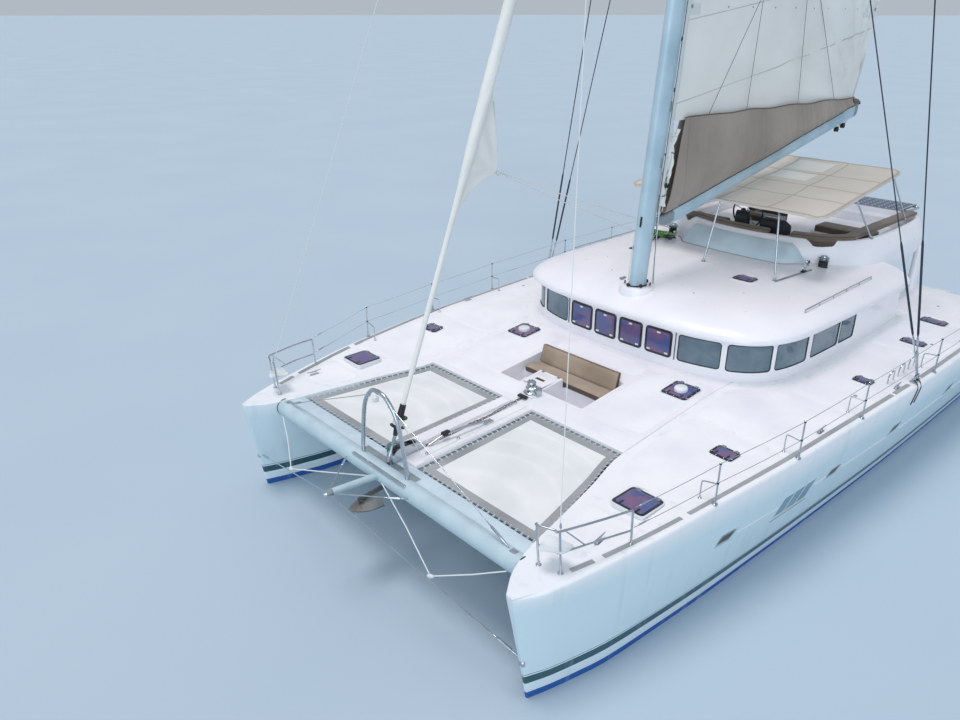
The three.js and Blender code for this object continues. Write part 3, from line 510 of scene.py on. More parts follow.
def topside_paint():
    """Gelcoat topsides over painted bands at the waterline, the white painted a darker blue-grey as shade that lightens
    to a painted highlight high on the side, streaked below the ports and dull where the weed is scrubbed.
    """
    made, tree, shader, place = finish("topside_banded_painted_shade", "#eef3f8", 0.25, ior=1.52)
    height = put(tree, "ShaderNodeSeparateXYZ", {0: place}).outputs[2]
    wave = put(tree, "ShaderNodeTexNoise", {"Vector": place, "Scale": 2.2, "Detail": 4.0}).outputs[0]
    stretched = put(tree, "ShaderNodeMapping", {"Vector": place, "Scale": (6.0, 6.0, 0.35)}).outputs[0]
    streak = put(tree, "ShaderNodeTexNoise", {"Vector": stretched, "Scale": 1.0, "Detail": 6.0}).outputs[0]
    # The bands, by height in metres: bottom paint, white, the dark stripe and a hairline above it. The whites are a
    # blue-grey that stands for the shade and the water's blue reflection on the side: painted shade.
    along = put(tree, "ShaderNodeMapRange", {"Value": height, "From Min": -0.2, "From Max": 0.8}).outputs[0]
    bands = put(tree, "ShaderNodeValToRGB", {0: along})
    ramp = bands.color_ramp
    ramp.interpolation = "CONSTANT"
    stops = [(0.0, "#1f5aa6"), (0.302, "#dfeaf3"), (0.455, "#2b5560"), (0.575, "#dfeaf3"), (0.597, "#5c7f8c"), (0.607, "#d3e5ed")]
    for i, (place_on, code) in enumerate(stops):
        stop = ramp.elements[i] if i < 2 else ramp.elements.new(place_on)
        stop.position = place_on
        stop.color = srgb(code)
    # The topsides' painted shade turns to the warmer white of the deck over the rounded sheer, as a painted highlight
    # where it catches the light.
    sheer = put(tree, "ShaderNodeMix", {0: ranged(tree, height, 1.4, 1.75, 0, 1), 6: bands.outputs[0], 7: srgb("#f4f3f7")}, data_type="RGBA")
    soiled = put(
        tree, "ShaderNodeMix",
        {0: ranged(tree, streak, 0.55, 0.8, 0, 0.35), 6: sheer.outputs[2], 7: srgb("#b3c3cd")}, data_type="RGBA",
    )
    tree.links.new(soiled.outputs[2], shader.inputs["Base Color"])
    dull = put(tree, "ShaderNodeMapRange", {"Value": height, "From Min": 0.08, "From Max": 0.12, "To Min": 0.7, "To Max": 0.24})
    tree.links.new(dull.outputs[0], shader.inputs["Roughness"])
    bumped(tree, shader, wave, 0.006, 0.4)
    return made


def nonskid():
    """Moulded non-skid: rows of small raised diamonds, drawn at 30 mm, coarser than the real 8 mm, so that they show."""
    made, tree, shader, place = finish("gelcoat_nonskid", "#e9eef3", 0.62)
    turned_45 = put(tree, "ShaderNodeMapping", {"Vector": place, "Rotation": (0, 0, math.radians(45)), "Scale": (33, 33, 33)})
    cells = put(tree, "ShaderNodeTexVoronoi", {"Vector": turned_45.outputs[0], "Scale": 1.0, "Randomness": 0.0}, distance="CHEBYCHEV")
    worn = put(tree, "ShaderNodeTexNoise", {"Vector": place, "Scale": 1.1, "Detail": 6.0}).outputs[0]
    tinted(tree, shader, ranged(tree, worn, 0.4, 0.75, 0, 1), "#f3f2f6", "#e4e5ec")
    bumped(tree, shader, cells.outputs["Distance"], 0.0025, 0.5)
    return made


def bottom_paint():
    """Self-polishing bottom paint: matt blue, rolled on, patchy where it has washed thin."""
    made, tree, shader, place = finish("bottom_paint", "#1f5aa6", 0.75)
    patch = put(tree, "ShaderNodeTexNoise", {"Vector": place, "Scale": 5.0, "Detail": 8.0}).outputs[0]
    tinted(tree, shader, ranged(tree, patch, 0.4, 0.7, 0, 1), "#255fae", "#173f78")
    bumped(tree, shader, patch, 0.002, 0.5)
    return made


def metal(name, colour, dark, rough, metallic=1.0, grain=60.0, depth=0.0004):
    """A metal with its draw lines or cast grain, a little darker and duller where it has been handled."""
    made, tree, shader, place = finish(name, colour, rough, metallic)
    spots = put(tree, "ShaderNodeTexNoise", {"Vector": place, "Scale": grain, "Detail": 4.0}).outputs[0]
    smears = put(tree, "ShaderNodeTexNoise", {"Vector": place, "Scale": 3.0, "Detail": 4.0}).outputs[0]
    tinted(tree, shader, ranged(tree, smears, 0.4, 0.75, 0, 1), colour, dark)
    tree.links.new(ranged(tree, spots, 0.3, 0.7, rough * 0.75, rough * 1.35), shader.inputs["Roughness"])
    bumped(tree, shader, spots, depth, 0.5)
    return made


def spar_paint():
    """Anodised spar: extruded, so its draw lines run with it; pale blue-grey and satin, chalky in patches."""
    made, tree, shader, place = finish("alloy_spar", "#c9d8e2", 0.42, 0.15)
    drawn = put(tree, "ShaderNodeMapping", {"Vector": place, "Rotation": (RAKE, 0, 0), "Scale": (70, 70, 0.6)}).outputs[0]
    lines = put(tree, "ShaderNodeTexNoise", {"Vector": drawn, "Scale": 1.0, "Detail": 3.0}).outputs[0]
    chalk = put(tree, "ShaderNodeTexNoise", {"Vector": place, "Scale": 1.4, "Detail": 5.0}).outputs[0]
    tinted(tree, shader, ranged(tree, chalk, 0.4, 0.7, 0, 1), "#bdd3df", "#a5bdca")
    tree.links.new(ranged(tree, lines, 0.3, 0.7, 0.3, 0.48), shader.inputs["Roughness"])
    bumped(tree, shader, lines, 0.0006, 0.3)
    return made


def window_acrylic():
    """Cast acrylic, grey-green: clear enough to see into the saloon, with fine crazing in its surface."""
    made, tree, shader, place = finish("acrylic_smoked", "#93a4a8", 0.04, ior=1.49, **{"Transmission Weight": 0.55})
    haze = put(tree, "ShaderNodeTexNoise", {"Vector": place, "Scale": 2.5, "Detail": 6.0}).outputs[0]
    tinted(tree, shader, ranged(tree, haze, 0.35, 0.7, 0, 1), "#a3bac9", "#7894a6")
    tree.links.new(ranged(tree, haze, 0.4, 0.8, 0.03, 0.12), shader.inputs["Roughness"])
    return made


def hatch_acrylic():
    """Hatch acrylic: slate blue, turning to plum in patches that are painted reflections, with a soft haze."""
    made, tree, shader, place = finish("acrylic_hatch", "#46507f", 0.1, ior=1.49, **{"Coat Weight": 0.4, "Coat Roughness": 0.05})
    plum_reflection = put(tree, "ShaderNodeTexNoise", {"Vector": place, "Scale": 2.1, "Detail": 3.0, "Distortion": 0.6}).outputs[0]
    # The plum patches are painted reflections on the acrylic.
    tinted(tree, shader, ranged(tree, plum_reflection, 0.4, 0.62, 0, 1), "#505c8e", "#7f5c7c")
    haze = put(tree, "ShaderNodeTexNoise", {"Vector": place, "Scale": 9.0, "Detail": 6.0}).outputs[0]
    tree.links.new(ranged(tree, haze, 0.3, 0.8, 0.06, 0.22), shader.inputs["Roughness"])
    return made


def woven(name, light, dark, thread, depth, rough=0.88, sheen=0.25, stain=1.5):
    """Woven cloth: threads crossing at right angles, with stains and fading; thread is their spacing in metres."""
    made, tree, shader, place = finish(name, light, rough, **{"Sheen Weight": sheen, "Sheen Roughness": 0.5})
    across = put(tree, "ShaderNodeTexWave", {"Vector": place, "Scale": 0.31 / thread, "Distortion": 1.2, "Detail": 1.0}, bands_direction="DIAGONAL")
    along = put(tree, "ShaderNodeTexWave", {"Vector": place, "Scale": 0.31 / thread, "Distortion": 1.2, "Detail": 1.0}, bands_direction="Y")
    weave = put(tree, "ShaderNodeMath", {0: across.outputs[1], 1: along.outputs[1]}, operation="MAXIMUM").outputs[0]
    worn = put(tree, "ShaderNodeTexNoise", {"Vector": place, "Scale": stain, "Detail": 7.0}).outputs[0]
    shade = put(tree, "ShaderNodeMath", {0: ranged(tree, worn, 0.38, 0.72, 0, 0.8), 1: ranged(tree, weave, 0, 1, 0.2, 0)}, operation="ADD")
    tinted(tree, shader, shade.outputs[0], light, dark)
    bumped(tree, shader, weave, depth, 0.6)
    return made


def netting():
    """Knotless polyester net: a square mesh drawn at 20 mm, pale grey cords over darker gaps."""
    made, tree, shader, place = finish("net_polyester", "#e4e6e6", 0.9)
    mesh = put(tree, "ShaderNodeMapping", {"Vector": place, "Scale": (50, 50, 50), "Rotation": (0, 0, 0.2)}).outputs[0]
    cords = put(tree, "ShaderNodeTexVoronoi", {"Vector": mesh, "Scale": 1.0, "Randomness": 0.0}, distance="CHEBYCHEV")
    soil = put(tree, "ShaderNodeTexNoise", {"Vector": place, "Scale": 1.3, "Detail": 6.0}).outputs[0]
    gap = ranged(tree, cords.outputs["Distance"], 0.25, 0.5, 0.22, 0.0)
    shade = put(tree, "ShaderNodeMath", {0: gap, 1: ranged(tree, soil, 0.35, 0.75, 0, 0.35)}, operation="ADD").outputs[0]
    tinted(tree, shader, shade, "#eff0f0", "#bcc2c3")
    bumped(tree, shader, cords.outputs["Distance"], 0.002, 0.3)
    return made


def plastic(name, colour, dark, rough, grain=90.0, depth=0.0005):
    """Moulded plastic or rubber with a fine pebbled grain, bleached where the sun reaches it."""
    made, tree, shader, place = finish(name, colour, rough)
    pebble = put(tree, "ShaderNodeTexVoronoi", {"Vector": place, "Scale": grain}).outputs["Distance"]
    faded = put(tree, "ShaderNodeTexNoise", {"Vector": place, "Scale": 3.0, "Detail": 5.0}).outputs[0]
    tinted(tree, shader, ranged(tree, faded, 0.4, 0.75, 0, 1), colour, dark)
    bumped(tree, shader, pebble, depth, 0.5)
    return made


def laid_rope(name, light, dark):
    """Braided polyester rope: short slanting strands, drawn at 12 mm."""
    made, tree, shader, place = finish(name, light, 0.85, **{"Sheen Weight": 0.2})
    strands = put(tree, "ShaderNodeTexWave", {"Vector": place, "Scale": 25.0, "Distortion": 2.0}, bands_direction="DIAGONAL")
    tinted(tree, shader, ranged(tree, strands.outputs[1], 0, 1, 0.7, 0), light, dark)
    bumped(tree, shader, strands.outputs[1], 0.001, 0.6)
    return made


def veneer():
    """Oiled teak veneer, seen through the windows: long grain with darker annual lines."""
    made, tree, shader, place = finish("teak_veneer", "#8a6844", 0.45)
    grain = put(tree, "ShaderNodeMapping", {"Vector": place, "Scale": (14, 1.2, 14)}).outputs[0]
    rings = put(tree, "ShaderNodeTexNoise", {"Vector": grain, "Scale": 1.5, "Detail": 7.0, "Distortion": 1.0}).outputs[0]
    tinted(tree, shader, ranged(tree, rings, 0.35, 0.65, 0, 1), "#a17c52", "#5f4329")
    bumped(tree, shader, rings, 0.0006, 0.4)
    return made


def floor_paint():
    """Plain pale studio floor, matt, with a trace of unevenness."""
    made, tree, shader, place = finish("floor_matt", "#b4c6d4", 0.9)
    patch = put(tree, "ShaderNodeTexNoise", {"Vector": place, "Scale": 0.2, "Detail": 2.0}).outputs[0]
    tinted(tree, shader, patch, "#b9cad7", "#aec1d0")
    return made


GELCOAT = gelcoat()
TOPSIDE = topside_paint()
# White gelcoat given a pale blue-grey as painted shade on the flybridge's front ramp under the bimini. The crossbeam's
# top strip uses it too.
GELCOAT_SHADE_PAINTED = plastic("gelcoat_white_painted_shade", "#cedfe9", "#bfd1dd", 0.4, 20.0, 0.0003)
NONSKID = nonskid()
BOTTOM = bottom_paint()
STAINLESS = metal("stainless_polished", "#c9cfd4", "#aab1b8", 0.2)
GALVANISED = metal("steel_galvanised", "#8c8f90", "#7a6a60", 0.55, 0.75, 25.0, 0.002)
ALLOY = metal("alloy_anodised", "#a9b0b6", "#8f979e", 0.35, 0.85)
BRONZE = metal("bronze_cast", "#9a7b4a", "#5f6a4a", 0.42, 0.95, 30.0, 0.002)
SPAR = spar_paint()
WINDOW = window_acrylic()
PORT_BLUE = plastic("acrylic_pale_blue", "#7fa0b4", "#6a8ca3", 0.12, 6.0, 0.0001)
# White-painted alloy for the crossbeam and the bow strut, given a darker blue-grey as painted shade on the tube.
BEAM = plastic("alloy_white_painted_shade", "#bdd0d9", "#adc1cb", 0.4, 12.0, 0.0003)
HATCH = hatch_acrylic()
HATCH_GREY = plastic("acrylic_black", "#26262e", "#34323c", 0.1, 6.0, 0.0001)
CUSHION = woven("vinyl_cloth_taupe", "#ae9b89", "#8a7766", 0.012, 0.0012)
CUSHION_FLY = woven("vinyl_cloth_dark_taupe", "#7d6d60", "#62554b", 0.012, 0.0012)
# The welts' darker cloth, also laid on the cushions' side faces as painted shade.
CUSHION_EDGE = woven("vinyl_cloth_brown_and_side_shade", "#5d4d42", "#43372f", 0.012, 0.001)
COVER = woven("cover_canvas", "#a3968c", "#877b72", 0.02, 0.002, stain=0.9)
CANVAS = woven("bimini_canvas", "#d9cfc4", "#c7bbaf", 0.02, 0.0015, stain=0.8)
CANVAS_SEAM = woven("bimini_seam_tape", "#bcb0a2", "#a99d8f", 0.01, 0.001, stain=0.8)
PATCH = woven("bimini_window_cloth", "#eae6df", "#dad4cb", 0.02, 0.001, stain=1.2)
SAILCLOTH = woven("sailcloth_polyester", "#f0eeea", "#dfdcd7", 0.03, 0.001, 0.7, 0.15, 0.6)
SEAM = woven("sail_seam_tape", "#cfcfca", "#b9bab6", 0.01, 0.0005, 0.8, 0.1, 0.8)
UVSTRIP = woven("sail_edge_acrylic", "#dfe0dd", "#c8cac8", 0.03, 0.001, 0.8, 0.15, 0.8)
WEBBING = woven("webbing_grey", "#a5a8aa", "#85898c", 0.01, 0.0015)
NET = netting()
BLACK = plastic("plastic_black", "#1b1d20", "#2c2f33", 0.5)
RUBBER = plastic("rubber_gasket", "#222628", "#34393b", 0.75)
GREY_TRIM = plastic("trim_grey", "#a3a7aa", "#8d9296", 0.6, 40.0, 0.001)
WHITE_TRIM = plastic("trim_white", "#e7ebee", "#d3d9de", 0.45)
WIRE = plastic("wire_sleeved", "#1d2a3d", "#2c3a4d", 0.5, 60.0)
ROPE = laid_rope("rope_white", "#eceeed", "#b9bfc2")
ROPE_DARK = laid_rope("rope_dark", "#3a434c", "#20262c")
ROPE_GREEN = laid_rope("rope_green", "#7cc043", "#3f7f2c")
ROPE_TEAL = laid_rope("rope_teal", "#2d9c8f", "#175f5a")
TEAK = veneer()
CELL = plastic("solar_cell", "#24406a", "#1a2f52", 0.2, 20.0, 0.0002)
FLOOR = floor_paint()


# Hulls

HULL_ROWS = np.array([
    # station, rake, keel z, keel half, waterline half, gunwale x and z, inner edge x, deck z, knee z
    [0, 0.17, -0.06, 0.012, 0.025, 3.17, 1.64, 3.05, 1.655, 1.5],
    [0.3, 0.15, -0.26, 0.02, 0.11, 3.35, 1.66, 2.82, 1.665, 1.51],
    [0.6, 0.12, -0.4, 0.03, 0.18, 3.44, 1.69, 2.69, 1.69, 1.53],
    [1.1, 0.08, -0.52, 0.06, 0.28, 3.56, 1.73, 2.57, 1.705, 1.545],
    [2.0, 0.03, -0.62, 0.08, 0.35, 3.73, 1.8, 2.36, 1.735, 1.57],
    [2.93, 0, -0.66, 0.1, 0.41, 3.85, 1.85, WELL_SIDE, 1.77, 1.5],
    [4.43, 0, -0.7, 0.12, 0.47, 4.01, 1.89, WELL_SIDE, 1.91, 0.95],
    [5.2, 0, -0.72, 0.14, 0.5, 4.06, 1.9, WELL_SIDE, DECK, 0.95],
    [9.2, 0, -0.72, 0.14, 0.6, 4.25, 1.93, WELL_SIDE, DECK, 0.95],
    [11.0, 0, -0.56, 0.14, 0.61, 4.265, 1.93, WELL_SIDE, DECK, 0.95],
    [12.0, 0, -0.56, 0.14, 0.61, 4.265, 1.93, WELL_SIDE, DECK, 0.95],
    [13.5, 0, -0.34, 0.14, 0.59, 4.23, 1.86, WELL_SIDE, 1.9, 0.95],
    [14.3, 0, -0.34, 0.14, 0.57, 4.18, 1.43, 2.44, 1.45, 0.65],
    [14.8, 0, -0.2, 0.12, 0.55, 4.14, 1.02, 2.52, 1.03, 0.48],
    [15.3, 0, -0.06, 0.1, 0.53, 4.09, 0.64, 2.6, 0.64, 0.3],
])
hull_at = fair(HULL_ROWS[:, 0], HULL_ROWS[:, 1:])
STERN_STEPS = ((13.35, 1.62), (13.75, 1.3), (14.15, 0.98), (14.55, 0.66), (14.9, 0.4))
HATCH_BOX = (2.8, 3.33, 1.78, 2.29)


def parabola(a, b, c, steps):
    """Points from a through b to c, without the last one."""
    a, b, c = Vector(a), Vector(b), Vector(c)
    out = []
    for k in range(steps):
        t = k / steps
        out.append(a * (1 - t) * (1 - 2 * t) + b * 4 * t * (1 - t) + c * t * (2 * t - 1))
    return out


def hull_ring(s):
    rake, keel_z, keel_half, water_half, gun_x, gun_z, inner_x, deck_z, knee_z = hull_at(s)
    out, inside = HULL_CENTRE + water_half, HULL_CENTRE - water_half

    def bilge(side):
        return [
            (HULL_CENTRE + side * mix(keel_half, water_half, math.sin(a)), keel_z * math.cos(a))
            for a in (math.radians(15 * k) for k in range(6))
        ]

    ring = bilge(1)
    ring += parabola((out, 0), (mix(out, gun_x, 0.66), 0.55 * gun_z), (gun_x, gun_z - 0.07), 9)
    ring += [
        (gun_x, gun_z - 0.07), (gun_x - 0.003, gun_z - 0.045), (gun_x - 0.012, gun_z - 0.022),
        (gun_x - 0.03, gun_z - 0.006), (gun_x - 0.055, gun_z),
    ]
    crown = (mix(inner_x, gun_x, 0.42), deck_z)
    edge = (mix(inner_x, gun_x, 0.9), mix(deck_z, gun_z, 0.83))
    ring += [edge, (mix(inner_x, gun_x, 0.66), mix(deck_z, gun_z, 0.4)), crown, (mix(inner_x, gun_x, 0.2), deck_z)]
    ring += [(inner_x + 0.012, deck_z), (inner_x, deck_z - 0.012)]
    ring += parabola((inner_x, knee_z), (mix(inside, inner_x, 0.4), 0.5 * knee_z), (inside, 0), 6)
    ring += [(x, z) for x, z in reversed(bilge(-1))]
    return [at(x, s - rake * z, z) for x, z in ring]


def hull_body():
    stations = [0, 0.05, 0.12, 0.2, *np.arange(0.3, 13.2, 0.2), *np.arange(13.3, 15.3, 0.1), 15.3]
    rings = [hull_ring(s) for s in stations]
    stem = [p.copy() for p in rings[0]]
    for p in stem:
        p.x = HULL_CENTRE + (p.x - HULL_CENTRE) * 0.5
        p.y -= 0.012
    steps = [
        block(2.78, 3.88, s, 15.5, z, 2.5, 0.03, 3) for s, z in STERN_STEPS
    ]
    return carved(skin([stem, *rings]), *steps)


HULL = hull_body()


def surface(*parts):
    """A search tree over parts, to set things down on them."""
    points, faces = [], []
    for pts, fcs in parts:
        base = len(points)
        points += pts
        faces += [tuple(base + i for i in f) for f in fcs]
    return BVHTree.FromPolygons(points, faces)


def side_hit(tree, s, z, start=6.0):
    """Where a level line from the port side meets the surface, and the way it faces there."""
    hit = tree.ray_cast(at(start, s, z), Vector((-1, 0, 0)))
    return hit[0], hit[1]


hull_skin = surface(HULL)
HULL_WINDOWS = (
    # station, height, width, height of the opening, slant
    (3.11, 1.1, 0.3, 0.12, 0.1), (5.86, 1.055, 0.3, 0.12, 0.1), (7.86, 1.11, 0.3, 0.12, 0.1), (10.2, 1.1, 0.3, 0.12, 0.1),
)
HULL_PANES = ((4.5, 1.03, 0.26, 0.3, 0.13), (4.79, 1.03, 0.26, 0.3, 0.13), (5.08, 1.03, 0.26, 0.3, 0.13))


def on_side(s, z):
    """A frame on the hull's side: x runs aft along it, y up it and z out of it."""
    place, out = side_hit(hull_skin, s, z)
    out = out if out.x > 0 else -out
    aft = (AFT - out * AFT.dot(out)).normalized()
    up = out.cross(aft)
    up = up if up.z > 0 else -up
    return Matrix((
        (aft.x, up.x, out.x, place.x), (aft.y, up.y, out.y, place.y), (aft.z, up.z, out.z, place.z), (0, 0, 0, 1),
    ))


def slanted(width, height, slant, radius=0.03, steps=4):
    """A window's outline: a parallelogram with its top leaning aft and round corners."""
    w, h = width / 2, height / 2
    return rounded([(-w - slant / 2, -h), (w - slant / 2, -h), (w + slant / 2, h), (-w + slant / 2, h)], radius, steps)


def prism(outline, low, high):
    return skin([[Vector((x, y, z)) for x, y in outline] for z in (low, high)])


def hull_windows():
    recesses, panes, pale, rims = [], [], [], []
    for s, z, w, h, slant in HULL_WINDOWS:
        frame_ = on_side(s, z)
        recesses.append(placed(prism(slanted(w + 0.09, h + 0.07, slant, 0.04), -0.022, 0.05), frame_))
        panes.append(placed(prism(slanted(w, h, slant), -0.03, -0.012), frame_))
        loop = [frame_ @ Vector((x, y, -0.012)) for x, y in slanted(w, h, slant)]
        rims.append(bar(loop, 0.009, 6, closed=True))
    for s, z, w, h, slant in HULL_PANES:
        frame_ = on_side(s, z)
        recesses.append(placed(prism(slanted(w + 0.02, h + 0.02, slant, 0.02), -0.016, 0.05), frame_))
        pale.append(placed(prism(slanted(w, h, slant, 0.015), -0.03, -0.008), frame_))
        rims.append(bar([frame_ @ Vector((x, y, -0.01)) for x, y in slanted(w + 0.008, h + 0.008, slant, 0.02)], 0.006, 6, closed=True))
    # A grey bar along the moulding under the panes: its grey is a painted shadow line.
    ledge_shadow_line = [on_side(s, 0.82) @ Vector((0, 0, 0.001)) for s in np.linspace(4.25, 5.2, 14)]
    rims.append(bar(ledge_shadow_line, 0.008, 6))
    return recesses, panes, pale, rims


recesses, window_panes, pale_panes, window_rims = hull_windows()
HULL = carved(HULL, *recesses)
for side, part in (("port", HULL), ("starboard", mirrored(HULL))):
    piece(f"hull_shell_{side}", {TOPSIDE: [part]}, stands_for=f"hull_{side}", crease=26)
piece("hull_windows", {HATCH_GREY: both(*window_panes), PORT_BLUE: both(*pale_panes), GREY_TRIM: both(*window_rims)})


def rubbing_line():
    """The knuckle that runs along each topside, broken at the windows."""
    runs = []
    for start, end in ((3.34, 4.28), (5.3, 5.62), (6.1, 7.62), (8.1, 9.96), (10.44, 13.2)):
        line = []
        for s in np.linspace(start, end, max(4, int((end - start) / 0.15))):
            place, out = side_hit(hull_skin, s, mix(1.1, 1.02, min(1, (s - 2.9) / 4.6)))
            line.append(place + Vector((0.001, 0, 0)))
        runs.append(bar(line, 0.009, 6))
    return runs


def deck_point(x, s):
    hit = deck_skin.ray_cast(at(x, s, 4), Vector((0, 0, -1)))
    return hit[0]


def laid(line, half, thick, sink=0.004):
    """A strip laid along a line of (x, s) on the deck, its edges rounded over."""
    rings = []
    pts = evenly([Vector((x, s, 0)) for x, s in line], 0.12)
    for i, p in enumerate(pts):
        t = (pts[min(i + 1, len(pts) - 1)] - pts[max(i - 1, 0)]).normalized()
        n = Vector((t.y, -t.x, 0))
        ring = []
        for u, up in ((-1, -sink), (-1, thick * 0.6), (-0.8, thick), (0.8, thick), (1, thick * 0.6), (1, -sink)):
            q = p + n * (half * u)
            ring.append(deck_point(q.x, q.y) + UP * up)
        rings.append(ring)
    return skin(rings)


# Bridge deck: it carries the forward cockpit, and its top runs flush with the inner decks.

BENCH = {"half": 0.92, "front": 3.95, "back": 4.43, "seat": 1.7, "lean": 0.26}
deck_rise = fair([2.93, 4.43, 5.2, 5.76], [1.77, 1.91, DECK, DECK])


def bridge_deck():
    side = WELL_SIDE - 0.0004
    top = [(s, deck_rise(s)) for s in np.arange(2.93, 5.761, 0.06)]
    outline = [(2.93, 1.45), (2.932, 1.758), (2.945, 1.77), *top[1:], (5.76, SOLE), (13.5, SOLE), (13.5, 0.98), (12.9, 0.9), (4.6, 0.9), (3.5, 1.1)]
    rings = []
    for x in (-side, -1.6, -1.0, 0, 1.0, 1.6, side):
        rings.append([at(x, s, z) for s, z in outline])
    half, front, back, seat, lean = BENCH.values()
    wells = [block(0.06, half, 3.43, front + 0.05, SOLE, 2.2, 0.035, 3), block(-half, -0.45, 3.43, front + 0.05, SOLE, 2.2, 0.035, 3)]
    bench = side_profile([(front, seat), (back, seat), (back + lean * 0.5, seat + 0.5), (front - 0.02, 2.2)], -half, half)
    handle = block(-0.27, -0.12, 3.62, 3.7, 1.7, 1.9, 0.012)
    return carved(skin(rings), *wells, bench, handle)


BRIDGE = bridge_deck()
deck_skin = surface(HULL, mirrored(HULL), BRIDGE)
piece("bridge_deck_moulding", {GELCOAT: [BRIDGE]}, stands_for="bridge_deck", crease=28)


def gunwale(s, inset):
    return float(hull_at(s)[4]) - inset, s

TOE_PADS = ((0.5, 0.84), (0.94, 2.2), (2.28, 7.3), (7.36, 7.9), (8.3, 12.9))
toe_pads = [laid([gunwale(s, 0.11) for s in np.arange(a, b, 0.1)], 0.034, 0.012) for a, b in TOE_PADS]
piece("toe_rail_pads", {GREY_TRIM: both(*toe_pads)})
piece("topside_knuckle", {GELCOAT: both(*rubbing_line())})

# Non-skid panels, moulded a few millimetres proud of the deck with plain waterways between them.


def deck_panel(outline, thick=0.004):
    """A panel on the deck from its corners in plan, with round corners, that follows the deck's shape."""
    edge = evenly(rounded(outline, 0.12, 5), 0.12, closed=True)
    middle = sum(edge, Vector((0, 0))) / len(edge)
    rings = []
    for share, up in ((1.0, -0.004), (1.0, thick * 0.5), (0.985, thick), (0.75, thick), (0.5, thick), (0.25, thick), (0.02, thick)):
        rings.append([deck_point(*(middle + (p - middle) * share)) + UP * up for p in edge])
    return skin(rings)


SIDE_PANELS = (
    ((2.72, 1.0), (3.32, 1.0), (3.44, 1.68), (2.58, 1.68)),
    ((2.44, 2.4), (3.66, 2.4), (3.86, 4.3), (2.3, 4.3), (2.3, 3.05)),
    ((2.3, 4.42), (3.88, 4.42), (3.96, 6.1), (2.86, 6.1), (2.62, 5.75), (2.3, 5.55)),
    ((2.98, 6.25), (3.97, 6.25), (4.06, 9.1), (2.98, 9.1)), ((2.98, 9.25), (4.06, 9.25), (4.08, 11.0), (2.98, 11.0)),
    ((2.35, 11.2), (4.08, 11.2), (4.06, 13.1), (2.35, 13.1)),
)
panels = both(*(deck_panel(o) for o in SIDE_PANELS))
panels.append(deck_panel(((-2.0, 3.05), (2.0, 3.05), (2.0, 3.35), (-2.0, 3.35))))
panels += both(deck_panel(((1.02, 3.45), (2.05, 3.45), (2.05, 5.3), (1.35, 5.3), (1.02, 4.9))))
panels.append(deck_panel(((-0.9, 4.78), (0.9, 4.78), (0.9, 5.28), (-0.9, 5.28))))
piece("deck_nonskid_panels", {NONSKID: panels})
step_treads = [
    block(2.86, 3.8, s + 0.05, s + 0.33, z - 0.002, z + 0.005, 0.002, 1) for s, z in STERN_STEPS
]
piece("stern_step_treads", {NONSKID: both(*step_treads)})

# Coachroof: one moulding over the saloon with a band of windows under its brow.

ROOF_HALF = [
    (0, 5.42), (0.7, 5.44), (1.4, 5.5), (1.92, 5.65), (2.2, 5.79), (2.4, 5.98), (2.54, 6.23),
    (2.65, 6.6), (2.7, 7.1), (2.73, 8.0), (2.75, 9.0), (2.74, 10.0), (2.7, ROOF_AFT),
]
ROOF_LEVELS = [
    (1.9705, 0), (2.2, 0), (2.45, 0), (2.625, 0), (2.652, -0.02), (2.662, -0.075), (2.68, -0.118), (2.72, -0.135), (2.765, -0.13), (2.8, -0.108),
    (2.85, -0.045), (2.89, 0.025), (2.935, 0.125), (2.975, 0.26), (3.013, 0.45), (3.045, 0.7), (3.07, 0.98), (3.09, 1.3),
]
WINDOW_SILL, WINDOW_HEAD = 2.15, 2.61


def whole(half):
    """The half outline and its mirror image, from the centre round by port."""
    return [*half, *[Vector((-p[0], p[1])) for p in reversed(half[1:])]]


def plan_line(points, steps):
    return [Vector((p.x, p.y)) for p in through([(x, s, 0) for x, s in [(-points[1][0], points[1][1])] + list(points)], steps)[steps:]]


roof_half = plan_line(ROOF_HALF, 5)


def drawn_in(half, inset):
    across = 1 - inset / 2.7
    along = 1 - inset / (ROOF_AFT - 5.42)
    return [Vector((p.x * across, ROOF_AFT - (ROOF_AFT - p.y) * along)) for p in half]


def offset_line(line, inset):
    """A plan line moved inwards, towards the boat's middle."""
    out = []
    for i, p in enumerate(line):
        t = (line[min(i + 1, len(line) - 1)] - line[max(i - 1, 0)]).normalized()
        out.append(p + Vector((-t.y, t.x)) * inset)
    return out


def roof_body():
    return skin([[at(p.x, p.y, z) for p in whole(drawn_in(roof_half, inset))] for z, inset in ROOF_LEVELS])


def room_body():
    rings = []
    for z, inset in ((1.9, 0.06), (2.3, 0.06), (2.62, 0.06), (2.7, 0.07), (2.84, 0.2), (2.93, 0.7), (2.97, 1.3)):
        line = offset_line(roof_half, 0.06) if inset == 0.06 else drawn_in(roof_half, inset)
        line[0].x = 0
        line[-1] = Vector((line[-1].x, ROOF_AFT + 0.1))
        rings.append([at(p.x, p.y, z) for p in whole(line)])
    return skin(rings)


wall_line = evenly(roof_half, 0.01)
wall_run = [0.0]
for near, far in zip(wall_line, wall_line[1:]):
    wall_run.append(wall_run[-1] + (far - near).length)


def run_of(x=None, s=None):
    """How far along the wall, from the centreline, a place is that is given by its x or its station."""
    key = [abs(p.x - x) if s is None else abs(p.y - s) for p in wall_line]
    return wall_run[int(np.argmin(key))]


def wall_point(run, out):
    """A plan place on the wall, so far out of its face."""
    i = int(np.clip(np.searchsorted(wall_run, run) - 1, 0, len(wall_line) - 2))
    t = (run - wall_run[i]) / (wall_run[i + 1] - wall_run[i])
    a, b = wall_line[max(i - 2, 0)], wall_line[min(i + 3, len(wall_line) - 1)]
    d = (b - a).normalized()
    return wall_line[i].lerp(wall_line[i + 1], t) + Vector((d.y, -d.x)) * out


